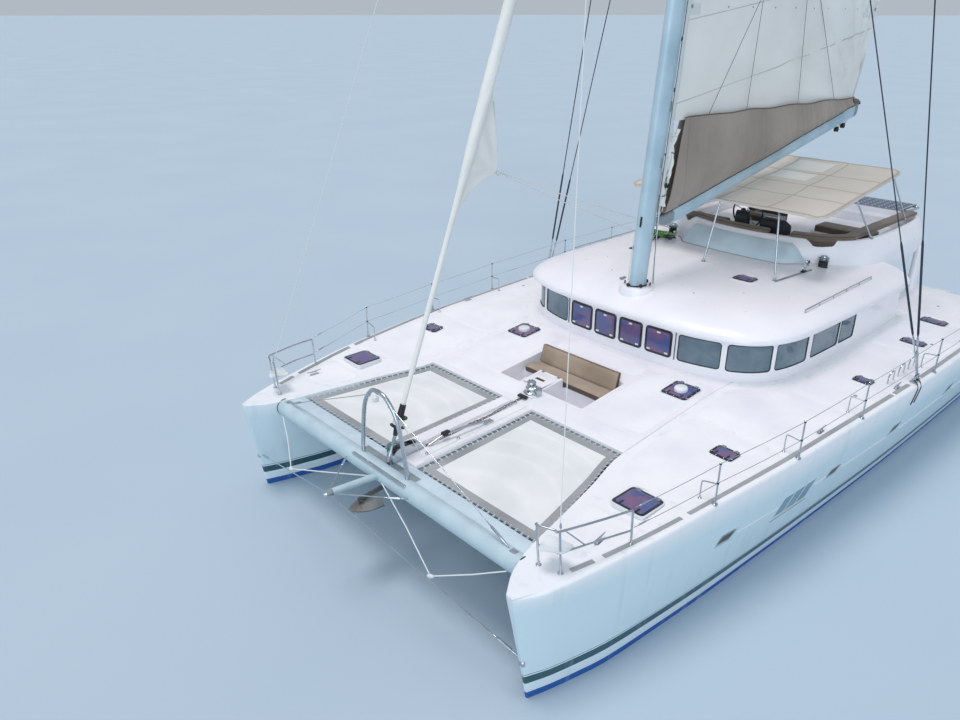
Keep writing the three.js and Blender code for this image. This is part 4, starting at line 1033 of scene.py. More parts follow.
def pane_body(start, end, sill, head, radius, inner, outer, lean=0.0):
    """A pane that follows the wall between two runs, with round corners. lean slants its aft end."""
    n = 30
    rings = []
    for k in range(n + 1):
        u = (1 - math.cos(math.pi * k / n)) / 2
        run = mix(start, end, u)
        reach = min(run - start, end - run)
        lift = radius - math.sqrt(max(0, radius**2 - (radius - min(reach, radius)) ** 2))
        low, high = sill + lift, head - lift
        if lean and run > end - lean:
            high = min(high, mix(head, low + 0.06, (run - end + lean) / lean))
        rings.append([
            at(*wall_point(run, inner), low), at(*wall_point(run, outer), low),
            at(*wall_point(run, outer), high), at(*wall_point(run, inner), high),
        ])
    return skin(rings)


def pane_loop(start, end, sill, head, radius, out, lean=0.0):
    """The line round a pane's edge."""
    low, high = [], []
    n = 30
    for k in range(n + 1):
        u = (1 - math.cos(math.pi * k / n)) / 2
        run = mix(start, end, u)
        reach = min(run - start, end - run)
        lift = radius - math.sqrt(max(0, radius**2 - (radius - min(reach, radius)) ** 2))
        top = head - lift
        if lean and run > end - lean:
            top = min(top, mix(head, sill + 0.06, (run - end + lean) / lean))
        low.append(at(*wall_point(run, out), sill + lift))
        high.append(at(*wall_point(run, out), top))
    return [*low, *reversed(high)]


HATCH_PANES = [(run_of(x=a), run_of(x=b)) for a, b in ((0.035, 0.52), (0.6, 1.11))]
LARGE_PANES = [
    (run_of(x=1.225), run_of(x=1.92)), (run_of(x=2.02), run_of(s=6.2)), (run_of(s=6.28), run_of(s=7.05)),
    (run_of(s=7.2), run_of(s=8.12)), (run_of(s=8.17), run_of(s=8.72)),
]


def window_cuts():
    cuts = [pane_body(a, b, WINDOW_SILL, WINDOW_HEAD, 0.06, -0.3, 0.2) for a, b in HATCH_PANES]
    cuts += [pane_body(a, b, WINDOW_SILL, WINDOW_HEAD, 0.05, -0.3, 0.2) for a, b in LARGE_PANES]
    return both(*cuts)


ROOF = carved(roof_body(), room_body(), *window_cuts())
piece("coachroof_moulding", {GELCOAT: [ROOF]}, stands_for="coachroof", crease=30)

glass, gaskets, hatch_frames, hatch_glass, latches = [], [], [], [], []
for a, b in LARGE_PANES:
    glass.append(pane_body(a + 0.004, b - 0.004, WINDOW_SILL + 0.004, WINDOW_HEAD - 0.004, 0.05, -0.022, -0.01))
    gaskets.append(bar(pane_loop(a, b, WINDOW_SILL, WINDOW_HEAD, 0.05, -0.004), 0.009, 6, closed=True))
for a, b in HATCH_PANES:
    hatch_glass.append(pane_body(a + 0.012, b - 0.012, WINDOW_SILL + 0.012, WINDOW_HEAD - 0.012, 0.05, -0.02, 0.012))
    hatch_frames.append(bar(pane_loop(a + 0.004, b - 0.004, WINDOW_SILL + 0.004, WINDOW_HEAD - 0.004, 0.055, 0.006), 0.013, 8, closed=True))
    gaskets.append(bar(pane_loop(a + 0.024, b - 0.024, WINDOW_SILL + 0.024, WINDOW_HEAD - 0.024, 0.045, 0.011), 0.008, 6, closed=True))
    for run, z in (((a + b) / 2, WINDOW_HEAD - 0.06), (a + 0.08, WINDOW_SILL + 0.06), (b - 0.08, WINDOW_SILL + 0.06)):
        p = wall_point(run, 0.016)
        latches.append(block(p.x - 0.032, p.x + 0.032, p.y - 0.014, p.y + 0.008, z - 0.015, z + 0.015, 0.006))
wiper = run_of(x=1.175)
gaskets.append(bar([at(*wall_point(wiper, 0.012), WINDOW_SILL - 0.01), at(*wall_point(wiper, 0.012), WINDOW_HEAD + 0.02)], 0.008, 6))
cabin = piece("saloon_windows", {WINDOW: both(*glass), RUBBER: both(*gaskets)}, stands_for="cabin_glass")
piece("saloon_hatch_windows", {HATCH: both(*hatch_glass), HATCH_GREY: both(*hatch_frames), WHITE_TRIM: both(*latches)})

# Flybridge: it lies on the roof and runs aft as the cockpit's hardtop.

FLY_HALF = [(0, 9.15), (0.8, 9.23), (1.5, 9.48), (1.95, 9.85), (2.2, 10.4), (2.29, 11.2), (2.27, 12.4), (2.15, 13.05), (1.9, 13.35)]
FLY_LEVELS = [(2.86, 0.06), (2.88, 0.022), (2.92, 0), (3.0, 0), (3.1, 0.0), (3.2, 0.012), (3.32, 0.052), (3.42, 0.1), (3.47, 0.128), (3.495, 0.15), (3.5, 0.175)]
LEDGE, FLY_FLOOR = 3.38, 3.2
fly_half = plan_line(FLY_HALF, 5)


def fly_ring(z, inset):
    line = offset_line(fly_half, inset)
    line[0].x = 0
    return [at(p.x, p.y, z) for p in whole(line)]


def flybridge_body():
    body = skin([fly_ring(z, inset) for z, inset in FLY_LEVELS])
    upper = skin([fly_ring(LEDGE, 0.23), fly_ring(LEDGE + 0.015, 0.222), fly_ring(3.47, 0.222), fly_ring(3.6, 0.19)])
    well = rounded([(-0.6, 9.5), (0.8, 9.5), (0.8, 9.98), (1.85, 9.98), (1.85, 10.64), (0.76, 10.64), (0.76, 11.18),
                    (1.85, 11.18), (1.85, 12.9), (-1.85, 12.9), (-1.85, 9.98), (-0.6, 9.98)], 0.09, 4)
    footwell = slab(well, FLY_FLOOR, 3.6)
    shell = carved(body, upper, footwell, placed(roof_body(), Matrix.Translation((0, 0, 0.0004))))
    return shell


FLY = flybridge_body()
leg_outline = rounded([(2.12, 12.8), (2.24, 12.8), (2.24, 13.1), (2.12, 13.1)], 0.05, 4)
fly_legs = both(slab(leg_outline, 1.905, 2.95))
fly_floor = slab(rounded([(-1.8, 10.05), (1.8, 10.05), (1.8, 10.6), (0.8, 10.6), (0.8, 11.22), (1.8, 11.22), (1.8, 12.85), (-1.8, 12.85)], 0.08, 4), FLY_FLOOR, FLY_FLOOR + 0.005, 0.002, 1)
piece("flybridge_moulding", {GELCOAT: [FLY, *fly_legs], NONSKID: [fly_floor]}, stands_for="flybridge", crease=30)


# Foredeck


def tube(points, radius, sides=12, steps=6):
    """A bent tube through the points."""
    return bar(through(points, steps), radius, sides)


def straight(a, b, radius, sides=10):
    return bar([a, b], radius, sides)


def foot_flange(place, radius=0.034, up=UP):
    """The round base that a tube stands on, with its weld."""
    return turned([(radius, -0.012), (radius, 0.006), (radius * 0.9, 0.011), (radius * 0.5, 0.016), (radius * 0.44, 0.045)], place, up, 16)


def turnbuckle(a, b, place, length=0.26, radius=0.011):
    """A rigging screw on a wire from a towards b, so far along it."""
    d = (Vector(b) - Vector(a)).normalized()
    start = Vector(a) + d * place
    return turned([(radius * 0.6, 0), (radius * 0.7, length * 0.18), (radius * 1.3, length * 0.22), (radius * 1.3, length * 0.78),
                   (radius * 0.7, length * 0.82), (radius * 0.6, length)], start, d, 10)


BEAM_S, BEAM_Z, BEAM_REACH = 0.28, 1.545, 2.78


def crossbeam():
    ends = BEAM_REACH
    spar = straight(at(-ends, BEAM_S, BEAM_Z), at(ends, BEAM_S, BEAM_Z), 0.14, 32)
    strip = block(-ends, ends, 0.2, 0.6, 1.622, 1.655, 0.012)
    webs = both(*(block(x, x + 0.012, 0.3, 0.56, 1.57, 1.63, 0.003, 1) for x in (0.5, 1.2, 1.9, 2.6)))
    collars = both(turned([(0.1405, 0), (0.1425, 0.004), (0.1425, 0.03), (0.1405, 0.034)], at(2.6, BEAM_S, BEAM_Z), PORT, 32))
    # Thin dark rings where the beam enters the hulls, standing for the shadowed gap there: painted shade.
    gap_shadow_rings = both(turned([(0.141, 0), (0.145, 0.003), (0.145, 0.016), (0.141, 0.018)], at(2.757, BEAM_S, BEAM_Z), PORT, 32))
    strip_foot = block(-0.62, 0.62, 0.16, 0.46, 1.655, 1.667, 0.004)
    return {BEAM: [spar, *webs, *collars], GELCOAT_SHADE_PAINTED: [strip], STAINLESS: [strip_foot], RUBBER: gap_shadow_rings}


piece("crossbeam_spar", crossbeam(), stands_for="crossbeam")

ARCH = [(-0.52, 0.3, 1.6), (-0.5, 0.3, 1.9), (-0.38, 0.285, 2.5), (-0.18, 0.268, 2.78), (0, 0.26, 2.83), (0.18, 0.268, 2.78), (0.38, 0.285, 2.5), (0.5, 0.3, 1.9), (0.52, 0.3, 1.6)]
arch_stays = [(at(0.25, 0.274, 2.7), at(2.6, 0.28, 1.66))]
piece("bow_arch_tube", {
    STAINLESS: [
        tube([at(*p) for p in ARCH], 0.031, 16), *both(foot_flange(at(0.515, 0.3, 1.667), 0.06)),
        *both(*(straight(a, b, 0.0065, 6) for a, b in arch_stays), *(turnbuckle(b, a, 0.08, 0.42, 0.014) for a, b in arch_stays)),
        *both(turned([(0.03, -0.02), (0.03, 0.02)], at(0.25, 0.274, 2.7), PORT, 12), block(2.56, 2.66, 0.24, 0.32, 1.655, 1.69, 0.006)),
        turned([(0.036, -0.03), (0.036, 0.03)], at(0, 0.262, 2.83), PORT, 14),
    ],
    WHITE_TRIM: [block(-0.035, 0.035, 0.18, 0.25, 2.7, 2.78, 0.012)],
}, stands_for="bow_arch")

STRUT_TIP = at(0, -0.63, 1.62)
bridle_low = at(1.7, -0.27, 1.07)
strut_parts = [
    straight(at(0, 0.16, 1.555), STRUT_TIP, 0.05, 16),
]
strut_steel = [
    turned([(0.03, -0.075), (0.056, -0.05), (0.062, 0), (0.056, 0.05), (0.03, 0.075)], STRUT_TIP, (at(0, 0.16, 1.555) - STRUT_TIP), 18),
    *both(
        straight(STRUT_TIP, at(HULL_CENTRE, -0.06, 0.6), 0.009, 8), turnbuckle(at(HULL_CENTRE, -0.06, 0.6), STRUT_TIP, 0.12, 0.36, 0.016),
        straight(STRUT_TIP, at(0.75, BEAM_S - 0.13, BEAM_Z), 0.009, 8), turnbuckle(at(0.75, BEAM_S - 0.13, BEAM_Z), STRUT_TIP, 0.06, 0.28, 0.014),
        turned([(0.05, 0), (0.05, 0.012), (0.03, 0.03)], at(HULL_CENTRE, -0.095, 0.6), -AFT, 16),
    ),
]
bridles = both(
    bar([at(0.12, BEAM_S - 0.13, 1.5), at(0.9, -0.03, 1.27), bridle_low], 0.009, 8), bar([bridle_low, at(2.2, -0.02, 1.26), at(2.62, BEAM_S - 0.13, 1.47)], 0.009, 8),
    turned([(0.012, -0.05), (0.026, -0.03), (0.03, 0), (0.026, 0.03), (0.012, 0.05)], bridle_low, Vector((1, 0.4, 0.2)), 10),
)
piece("bow_strut_tube", {BEAM: strut_parts, STAINLESS: strut_steel, ROPE: bridles}, stands_for="bow_strut")


def anchor():
    """A hinged plough anchor hung under the beam by its shank."""
    shank = skin([[at(x, s, z) for x, z in ((-0.014, z0), (0.014, z0), (0.014, z1), (-0.014, z1))]
                  for s, z0, z1 in ((-0.18, 1.285, 1.335), (0.0, 1.29, 1.35), (0.2, 1.3, 1.365), (0.42, 1.31, 1.35))])
    rows = []
    for t in np.linspace(0, 1, 12):
        s = mix(-0.34, 0.13, t)
        half = 0.19 * math.sin(math.pi * min(t * 0.62, 0.5)) ** 0.8 + 0.004
        keel = mix(1.19, 1.305, t)
        drop = 0.14 * t**0.8
        ring = []
        for u in np.linspace(-1, 1, 13):
            ring.append(at(half * u, s, keel + 0.02 - drop * abs(u) ** 1.4))
        ring += [p + UP * -0.018 for p in reversed(ring)]
        rows.append(ring)
    fluke = skin(rows)
    pin = straight(at(-0.05, -0.14, 1.29), at(0.05, -0.14, 1.29), 0.018, 12)
    hanger = straight(at(0, 0.33, 1.34), at(0, 0.33, 1.42), 0.02, 10)
    eye = bar([at(0.035 * math.cos(a), 0.4, 1.345 + 0.035 * math.sin(a)) for a in np.linspace(0, 2 * math.pi, 17)[:-1]], 0.01, 8, closed=True)
    link = bar([at(0.0, 0.41 + 0.03 * math.cos(a), 1.40 + 0.06 * math.sin(a)) for a in np.linspace(0, 2 * math.pi, 17)[:-1]], 0.009, 8, closed=True)
    return {GALVANISED: [shank, fluke, pin, hanger, eye, link]}


piece("anchor_plough", anchor(), stands_for="anchor")

# Walkway between the nets


def chain_link():
    """One chain link lying along x."""
    line = [Vector((0.034 * math.cos(a) + math.copysign(0.012, math.cos(a)), 0.02 * math.sin(a), 0)) for a in np.linspace(0, 2 * math.pi, 13)[:-1]]
    return bar(line, 0.007, 6, closed=True)


walk_top = fair([0.6, 2.93], [1.69, 1.768])


def walkway():
    rings = []
    for s in (0.601, 0.62, 1.0, 1.6, 2.2, 2.8, 2.9295):
        z, low = walk_top(s), mix(1.48, 1.5, (s - 0.6) / 2.33)
        drop = 0.02 if s == 0.601 else 0.0
        rings.append([at(x, s, h) for x, h in (
            (-0.33, low), (-0.33, z - 0.03), (-0.322, z - 0.008), (-0.3, z), (-0.11, z), (-0.095, z - 0.045), (0.03, z - 0.045), (0.045, z),
            (0.3, z), (0.322, z - 0.008), (0.33, z - 0.03), (0.33, low))])
        rings[-1] = [p - UP * (drop if p.z > low + 0.1 else 0) for p in rings[-1]]
    body = skin(rings)
    treads = [skin([[at(x, s, walk_top(s) + h) for x, h in ((a, -0.002), (a, 0.003), (a + 0.01, 0.004), (b - 0.01, 0.004), (b, 0.003), (b, -0.002))]
                    for s in np.linspace(0.75, 2.85, 12)]) for a, b in ((-0.29, -0.13), (0.07, 0.29))]
    return body, treads


walk_body, walk_treads = walkway()
piece("walkway_moulding", {GELCOAT: [walk_body], NONSKID: walk_treads}, stands_for="walkway", crease=28)
rode = [at(-0.03 + 0.008 * math.sin(s * 9), s, walk_top(s) - 0.03 + 0.055 * max(0, (s - 2.4) / 0.75)) for s in np.arange(0.62, 3.13, 0.02)]
piece("anchor_chain", {GALVANISED: [spaced(rode, chain_link(), 0.062, math.pi / 2)]})
roller_cheeks = []
for x in (-0.1, 0.03):
    roller_cheeks.append(skin([[at(h, s, z) for s, z in rounded([(0.4, 1.66), (1.02, 1.70), (0.92, 1.83), (0.55, 1.86), (0.42, 1.78)], 0.06)] for h in (x, x + 0.012)]))
spare_rope = [
    bar([at(-0.2 + 0.08 * math.cos(a) * (1 + 0.03 * a / 6), 0.62 + 0.11 * math.sin(a), 1.672 + 0.004 * a) for a in np.linspace(0, 2 * math.pi * 5, 90)], 0.008, 6)
]
piece("bow_fittings", {
    STAINLESS: [*roller_cheeks, straight(at(-0.12, 0.5, 1.78), at(0.06, 0.5, 1.78), 0.012), straight(at(-0.12, 0.88, 1.76), at(0.06, 0.88, 1.76), 0.012),
                tube([at(0.06, 1.05, 1.72), at(0.1, 1.3, 1.81), at(0.14, 1.65, 1.83), at(0.17, 2.1, 1.79)], 0.022, 12),
                block(0.13, 0.23, 2.05, 2.2, walk_top(2.1) - 0.002, walk_top(2.1) + 0.05, 0.012),
                *(turned([(0.03, 0), (0.026, 0.02), (0.012, 0.035)], at(0.2, s, walk_top(s)), UP, 12) for s in (0.9, 1.5))],
    BLACK: [turned([(0.05, 0), (0.032, 0.02), (0.032, 0.08), (0.05, 0.1)], at(-0.085, 0.5, 1.78), PORT, 18), turned([(0.045, 0), (0.03, 0.02), (0.03, 0.08), (0.045, 0.1)], at(-0.085, 0.88, 1.76), PORT, 18),
            block(0.05, 0.13, 1.28, 1.42, 1.79, 1.86, 0.02)],
    ROPE_TEAL: spare_rope,
})


def windlass():
    base = deck_point(0, 3.27).z
    body = turned([(0.13, 0), (0.13, 0.03), (0.115, 0.045), (0.1, 0.05), (0.095, 0.11), (0.07, 0.13)], at(-0.02, 3.27, base), UP, 28)
    gypsy = turned([(0.045, 0), (0.075, 0.01), (0.078, 0.03), (0.05, 0.045), (0.05, 0.06), (0.078, 0.075), (0.07, 0.09), (0.03, 0.1)], at(-0.02, 3.27, base + 0.12), UP, 24)
    drum = turned([(0.075, 0), (0.055, 0.025), (0.05, 0.06), (0.062, 0.1), (0.066, 0.115), (0.03, 0.12)], at(0.05, 3.27, base + 0.085), PORT, 24)
    pocket_ = [turned([(0.014, 0), (0.014, 0.012)], at(-0.02 + 0.05 * math.cos(a), 3.27 + 0.05 * math.sin(a), base + 0.215), UP, 8) for a in np.linspace(0, 2 * math.pi, 7)[:-1]]
    pads = [block(-0.16, 0.12, 3.12, 3.42, base - 0.004, base + 0.012, 0.006)]
    return {STAINLESS: [body, gypsy, drum, *pocket_], BLACK: [block(-0.1, 0.08, 3.02, 3.1, base - 0.002, base + 0.035, 0.012)], WHITE_TRIM: pads}


piece("windlass_gear", windlass(), stands_for="windlass")
locker_top = deck_point(-0.2, 3.75).z
piece("chain_locker_lid", {
    GELCOAT: [block(-0.42, 0.03, 3.46, 3.93, locker_top - 0.003, locker_top + 0.014, 0.008, 3)],
    BLACK: [block(-0.29, -0.1, 3.63, 3.69, locker_top + 0.012, locker_top + 0.017, 0.004)],
    STAINLESS: [block(-0.4, -0.34, 3.9, 3.95, locker_top + 0.008, locker_top + 0.022, 0.004), block(-0.05, 0.01, 3.9, 3.95, locker_top + 0.008, locker_top + 0.022, 0.004)],
})

# Nets

NET_FORE, NET_AFT = 0.66, 2.87


def inner_edge(s):
    return float(hull_at(s)[6])


def net_point(u, v, lift=0.0):
    """A place on the port net: u from the walkway out to the hull, v from the beam aft."""
    s = mix(NET_FORE, NET_AFT, v)
    x = mix(0.39, inner_edge(s) - 0.06, u)
    sag = 0.022 * 16 * u * (1 - u) * v * (1 - v)
    return at(x, s, mix(1.622, 1.712, v) - sag + lift)


def sheet_faces(columns, rows):
    return [(r * columns + c, r * columns + c + 1, (r + 1) * columns + c + 1, (r + 1) * columns + c) for r in range(rows - 1) for c in range(columns - 1)]


def net_panel():
    us = vs = np.linspace(0, 1, 31)
    return [net_point(u, v) for v in vs for u in us], sheet_faces(31, 31)


def band(points_in, points_out, thick):
    """A flat strip between two lines of points."""
    rings = [[a, a + UP * thick, b + UP * thick, b] for a, b in zip(points_in, points_out)]
    return skin(rings)


def net_border():
    """The doubled webbing round the net's edge."""
    w = 0.062
    ts = np.linspace(0, 1, 31)
    sides = [
        band([net_point(t, 0, -0.002) for t in ts], [net_point(t, w, -0.002) for t in ts], 0.007),
        band([net_point(t, 1, -0.002) for t in ts], [net_point(t, 1 - w, -0.002) for t in ts], 0.007),
        band([net_point(0, t, -0.002) for t in ts], [net_point(w, t, -0.002) for t in ts], 0.007),
        band([net_point(1, t, -0.002) for t in ts], [net_point(1 - w, t, -0.002) for t in ts], 0.007),
    ]
    return sides


def net_lacing():
    """Short cords from the webbing to the tracks round it, and the tracks themselves."""
    ts = np.linspace(0.02, 0.98, 60)
    cord_across = bar([Vector((0.0, -0.05, 0.004)), Vector((0.012, 0, 0.009)), Vector((0.0, 0.05, 0.004))], 0.0055, 6)
    cord_back = bar([Vector((0.03, -0.05, 0.0)), Vector((0.018, 0.05, 0.0))], 0.0045, 6)
    shape = cord_across[0] + cord_back[0], cord_across[1] + [tuple(i + len(cord_across[0]) for i in f) for f in cord_back[1]]
    made = []
    for line in (
        [net_point(0, t) - PORT * 0.03 for t in ts], [net_point(1, t) + PORT * 0.03 for t in ts],
        [net_point(t, 0) - AFT * 0.03 for t in ts], [net_point(t, 1) + AFT * 0.03 for t in ts],
    ):
        made.append(spaced(line, shape, 0.1))
    tracks = [
        bar([at(0.34, s, net_point(0, (s - NET_FORE) / (NET_AFT - NET_FORE)).z) for s in np.linspace(0.61, 2.92, 12)], 0.009, 8),
        bar([at(inner_edge(s) - 0.01, s, net_point(1, (s - NET_FORE) / (NET_AFT - NET_FORE)).z) for s in np.linspace(0.61, 2.92, 24)], 0.009, 8),
        bar([at(x, 2.92, 1.712) for x in (0.34, 2.12)], 0.009, 8),
    ]
    return made, tracks


lacing, tracks = net_lacing()
for side, turn in (("port", lambda p: p), ("starboard", mirrored)):
    points, faces = turn(net_panel())
    net = piece(f"net_{side}", {NET: [(points, faces)]}, stands_for=f"trampoline_{side}", crease=60)
    border = piece(f"net_border_{side}", {WEBBING: [turn(p) for p in net_border()]})
    laces = piece(f"net_lacing_{side}", {ROPE: [turn(p) for p in lacing], ALLOY: [turn(p) for p in tracks]})

# Pulpits and guard rails

PULPIT_LEGS = [
    ((2.975, 0.33, 1.5), (2.965, 0.27, 2.275)), ((3.25, 0.4, 1.5), (3.25, 0.34, 2.285)), ((3.5, 1.345, 1.5), (3.505, 1.31, 2.23)),
]
STANCHIONS = [(3.78, 2.67), (3.98, 4.42), (4.075, 6.19), (4.195, 8.7), (4.23, 10.5), (4.225, 12.3)]


def smoothstep(x, a, b):
    t = min(1, max(0, (x - a) / (b - a)))
    return t * t * (3 - 2 * t)


def rail_base(s):
    return mix(1.825, 1.93, smoothstep(s, 2.4, 9.2))


def pulpit():
    heads = [Vector(h) for _, h in PULPIT_LEGS]
    level = [mix(Vector(f), Vector(h), 0.62) for f, h in PULPIT_LEGS]
    inner, outer, aft = heads
    top = through([inner, (3.0, 0.24, 2.288), (3.2, 0.31, 2.29), outer, (3.4, 0.84, 2.27), (3.49, 1.25, 2.245), aft], 7)
    middle = through([level[0], (3.2, 0.36, level[1][2]), level[1], (3.4, 0.86, level[1][2]), level[2]], 7)
    parts = [bar([at(*p) for p in top], 0.0145, 12), bar([at(*p) for p in middle], 0.0125, 12)]
    for f, h in PULPIT_LEGS:
        base = deck_point(*mix(Vector(f), Vector(h), 0.22)[:2])
        base = Vector((base.x, base.y, base.z))
        parts.append(straight(base - UP * 0.01, at(*h), 0.0145, 12))
        parts.append(foot_flange(base, 0.036))
    parts.append(straight(at(*mix(heads[1], aft, 0.06)), at(*mix(level[1], level[2], 0.34)), 0.009, 10))
    seat = slab(rounded([(3.05, 0.2), (3.3, 0.36), (3.3, 0.56), (2.93, 0.5)], 0.05), 1.99, 2.012, 0.006)
    return parts, seat


pulpit_tubes, pulpit_seat = pulpit()


def guard_rail():
    steel, wires, sockets = [], [], []
    for x, s in STANCHIONS:
        z = rail_base(s)
        base = deck_point(x - 0.012, s)
        steel.append(straight(Vector((base.x + 0.012, base.y, base.z - 0.02)), at(x, s, z + 0.61), 0.0125, 12))
        steel.append(turned([(0.014, 0), (0.015, 0.015), (0.004, 0.022)], at(x, s, z + 0.605), UP, 12))
        steel.append(turned([(0.04, -0.01), (0.04, 0.004), (0.02, 0.012), (0.018, 0.09)], Vector((base.x + 0.008, base.y, base.z)), UP, 14))
        inner = deck_point(x - 0.22, s)
        steel.append(tube([Vector((inner.x, inner.y, inner.z - 0.01)), Vector((inner.x, inner.y, inner.z + 0.22)), Vector((inner.x + 0.03, inner.y, inner.z + 0.27)), at(x - 0.03, s, z + 0.3), at(x, s, z + 0.31)], 0.0095, 8, 5))
        steel.append(foot_flange(inner, 0.026))
        for up in (0.602, 0.32):
            sockets.append(turned([(0.017, -0.01), (0.017, 0.01)], at(x, s, z + up), UP, 10))
    steel.append(tube([at(4.225, 12.3, 2.535), at(4.19, 13.3, 2.5), at(4.1, 13.9, 2.44), at(3.93, 14.05, 2.42), at(3.94, 14.05, 1.9), at(3.96, 14.05, 1.2)], 0.0135, 12))
    steel.append(tube([at(4.225, 12.3, 2.24), at(4.17, 13.3, 2.1), at(4.05, 13.98, 2.0), at(3.94, 14.05, 1.98)], 0.011, 10))
    ends = [(3.508, 1.355), *STANCHIONS]
    for up in (0.602, 0.32):
        for (x0, s0), (x1, s1) in zip(ends, ends[1:]):
            z0 = 1.66 + up if s0 < 2 else rail_base(s0) + up
            a, b = at(x0, s0, z0), at(x1, s1, rail_base(s1) + up)
            dip = UP * (-0.012)
            wires.append(bar(through([a, (a + b) / 2 + dip, b], 4), 0.0045, 6))
        wires.append(turnbuckle(at(3.508, 1.355, 1.66 + up), at(3.78, 2.67, rail_base(2.67) + up), 0.03, 0.2, 0.009))
    return steel, wires, sockets


rail_steel, rail_wires, rail_sockets = guard_rail()
for side, turn in (("port", list), ("starboard", lambda parts: [mirrored(p) for p in parts])):
    piece(f"pulpit_rail_{side}", {STAINLESS: turn(pulpit_tubes), WHITE_TRIM: turn([pulpit_seat])}, stands_for=f"pulpit_{side}")
    piece(f"guard_wires_{side}", {STAINLESS: turn(rail_steel + rail_wires), BLACK: turn(rail_sockets)}, stands_for=f"guard_rail_{side}")

# Deck hatches, cleats and fillers


def on_deck(x, s, turn=0.0, tree=None):
    """A frame on the deck: x to port, y aft, z square to the deck, turned about it."""
    def ground(a, b):
        return (tree or deck_skin).ray_cast(at(a, b, 5), Vector((0, 0, -1)))[0]

    here = ground(x, s)
    u = (ground(x + 0.12, s) - ground(x - 0.12, s)).normalized()
    v = (ground(x, s + 0.12) - ground(x, s - 0.12)).normalized()
    n = u.cross(v).normalized()
    v = n.cross(u)
    frame_ = Matrix((
        (u.x, v.x, n.x, here.x), (u.y, v.y, n.y, here.y), (u.z, v.z, n.z, here.z), (0, 0, 0, 1),
    ))
    return frame_ @ Matrix.Rotation(turn, 4, "Z")


def plate(w, l, low, high, radius, soft=0.006):
    """A plate round the origin with round corners and a softened top edge."""
    made = slab([(x, y + MIDSHIP) for x, y in rounded([(-w / 2, -l / 2), (w / 2, -l / 2), (w / 2, l / 2), (-w / 2, l / 2)], radius, 5)], low, high, soft)
    return made


def screw_head():
    """One countersunk screw in its recess."""
    return turned([(0.009, -0.002), (0.009, 0.001), (0.006, 0.003), (0.003, 0.002)], Vector((0, 0, 0)), UP, 8)


def hatch_parts(w, l, vent=False):
    """A low deck hatch: its frame, acrylic, seal, hinges and handles, drawn round the origin."""
    parts = {
        WHITE_TRIM: [plate(w, l, -0.01, 0.016, 0.07)],
        HATCH_GREY: [plate(w - 0.03, l - 0.03, 0.014, 0.026, 0.06, 0.004)],
        HATCH: [plate(w - 0.11, l - 0.11, 0.02, 0.03, 0.04, 0.003)],
        ALLOY: [block(x - 0.03, x + 0.03, MIDSHIP + l / 2 - 0.045, MIDSHIP + l / 2 + 0.004, 0.014, 0.034, 0.006) for x in (-w * 0.27, w * 0.27)],
    }
    parts[BLACK] = [block(x - 0.012, x + 0.012, MIDSHIP - l / 2 + 0.06, MIDSHIP - l / 2 + 0.13, 0.028, 0.038, 0.004) for x in (-w * 0.24, w * 0.24)]
    a, b = w / 2 - 0.034, l / 2 - 0.034
    loop = [Vector((x, y, 0.0255)) for x, y in rounded([(-a, -b), (a, -b), (a, b), (-a, b)], 0.05, 5)]
    parts[STAINLESS] = [spaced(loop + loop[:1], screw_head(), 0.12)]
    if vent:
        parts[WHITE_TRIM].append(turned([(0.11, 0), (0.11, 0.03), (0.1, 0.05), (0.06, 0.066), (0.01, 0.07)], Vector((0, 0, 0.028)), UP, 28))
    return parts


SMALL_HATCHES = (
    # x, station, width, length, turn, vent
    (3.22, 3.8, 0.4, 0.3, -0.08, False), (1.76, 4.86, 0.5, 0.5, 0.0, True), (3.56, 7.4, 0.34, 0.26, 0.0, False),
    (3.47, 9.7, 0.46, 0.28, 0.0, False), (3.33, 11.08, 0.5, 0.32, 0.0, False),
)
gathered = {}
for x, s, w, l, turn, vent in SMALL_HATCHES:
    where = on_deck(x, s, turn)
    for made_of, group in hatch_parts(w, l, vent).items():
        gathered.setdefault(made_of, []).extend(both(*(placed(p, where) for p in group)))
piece("deck_hatches", gathered)

hatch_x, hatch_s = (HATCH_BOX[0] + HATCH_BOX[1]) / 2, (HATCH_BOX[2] + HATCH_BOX[3]) / 2
lid_low, lid_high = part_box("foredeck_hatch_port")
for side, sign in (("port", 1), ("starboard", -1)):
    lid_turn = Matrix.Translation((sign * hatch_x, hatch_s - MIDSHIP, lid_high.z - 0.022))
    w, l = 0.53, 0.51
    lid = {
        WHITE_TRIM: [placed(plate(w, l, -0.008, 0.018, 0.07), lid_turn)],
        HATCH_GREY: [placed(plate(w - 0.03, l - 0.03, 0.012, 0.0225, 0.06, 0.003), lid_turn)],
        HATCH: [placed(plate(w - cut, l - cut, a, b, 0.045, c), lid_turn) for cut, a, b, c in ((0.1, 0.015, 0.0265, 0.003), (0.14, -0.0095, -0.006, 0.001))],
        ALLOY: [placed(block(x - 0.04, x + 0.04, MIDSHIP + l / 2 - 0.06, MIDSHIP + l / 2 - 0.002, 0.012, 0.027, 0.005), lid_turn) for x in (-0.15, 0.15)],
        BLACK: [placed(block(x - 0.016, x + 0.016, MIDSHIP - l / 2 + 0.05, MIDSHIP - l / 2 + 0.13, 0.02, 0.031, 0.004), lid_turn) for x in (-0.13, 0.13)],
    }
    piece(f"foredeck_hatch_lid_{side}", lid, body=f"hatch_{side}", stands_for=f"foredeck_hatch_{side}")
x0, x1, s0, s1 = HATCH_BOX
coaming = carved(block(x0 + 0.015, x1 - 0.015, s0 + 0.015, s1 - 0.015, 1.72, 1.784, 0.02, 3), block(x0 + 0.06, x1 - 0.06, s0 + 0.06, s1 - 0.06, 1.7, 1.9, 0.03, 3))
across = list(np.linspace(x0 + 0.055, x1 - 0.055, 6))
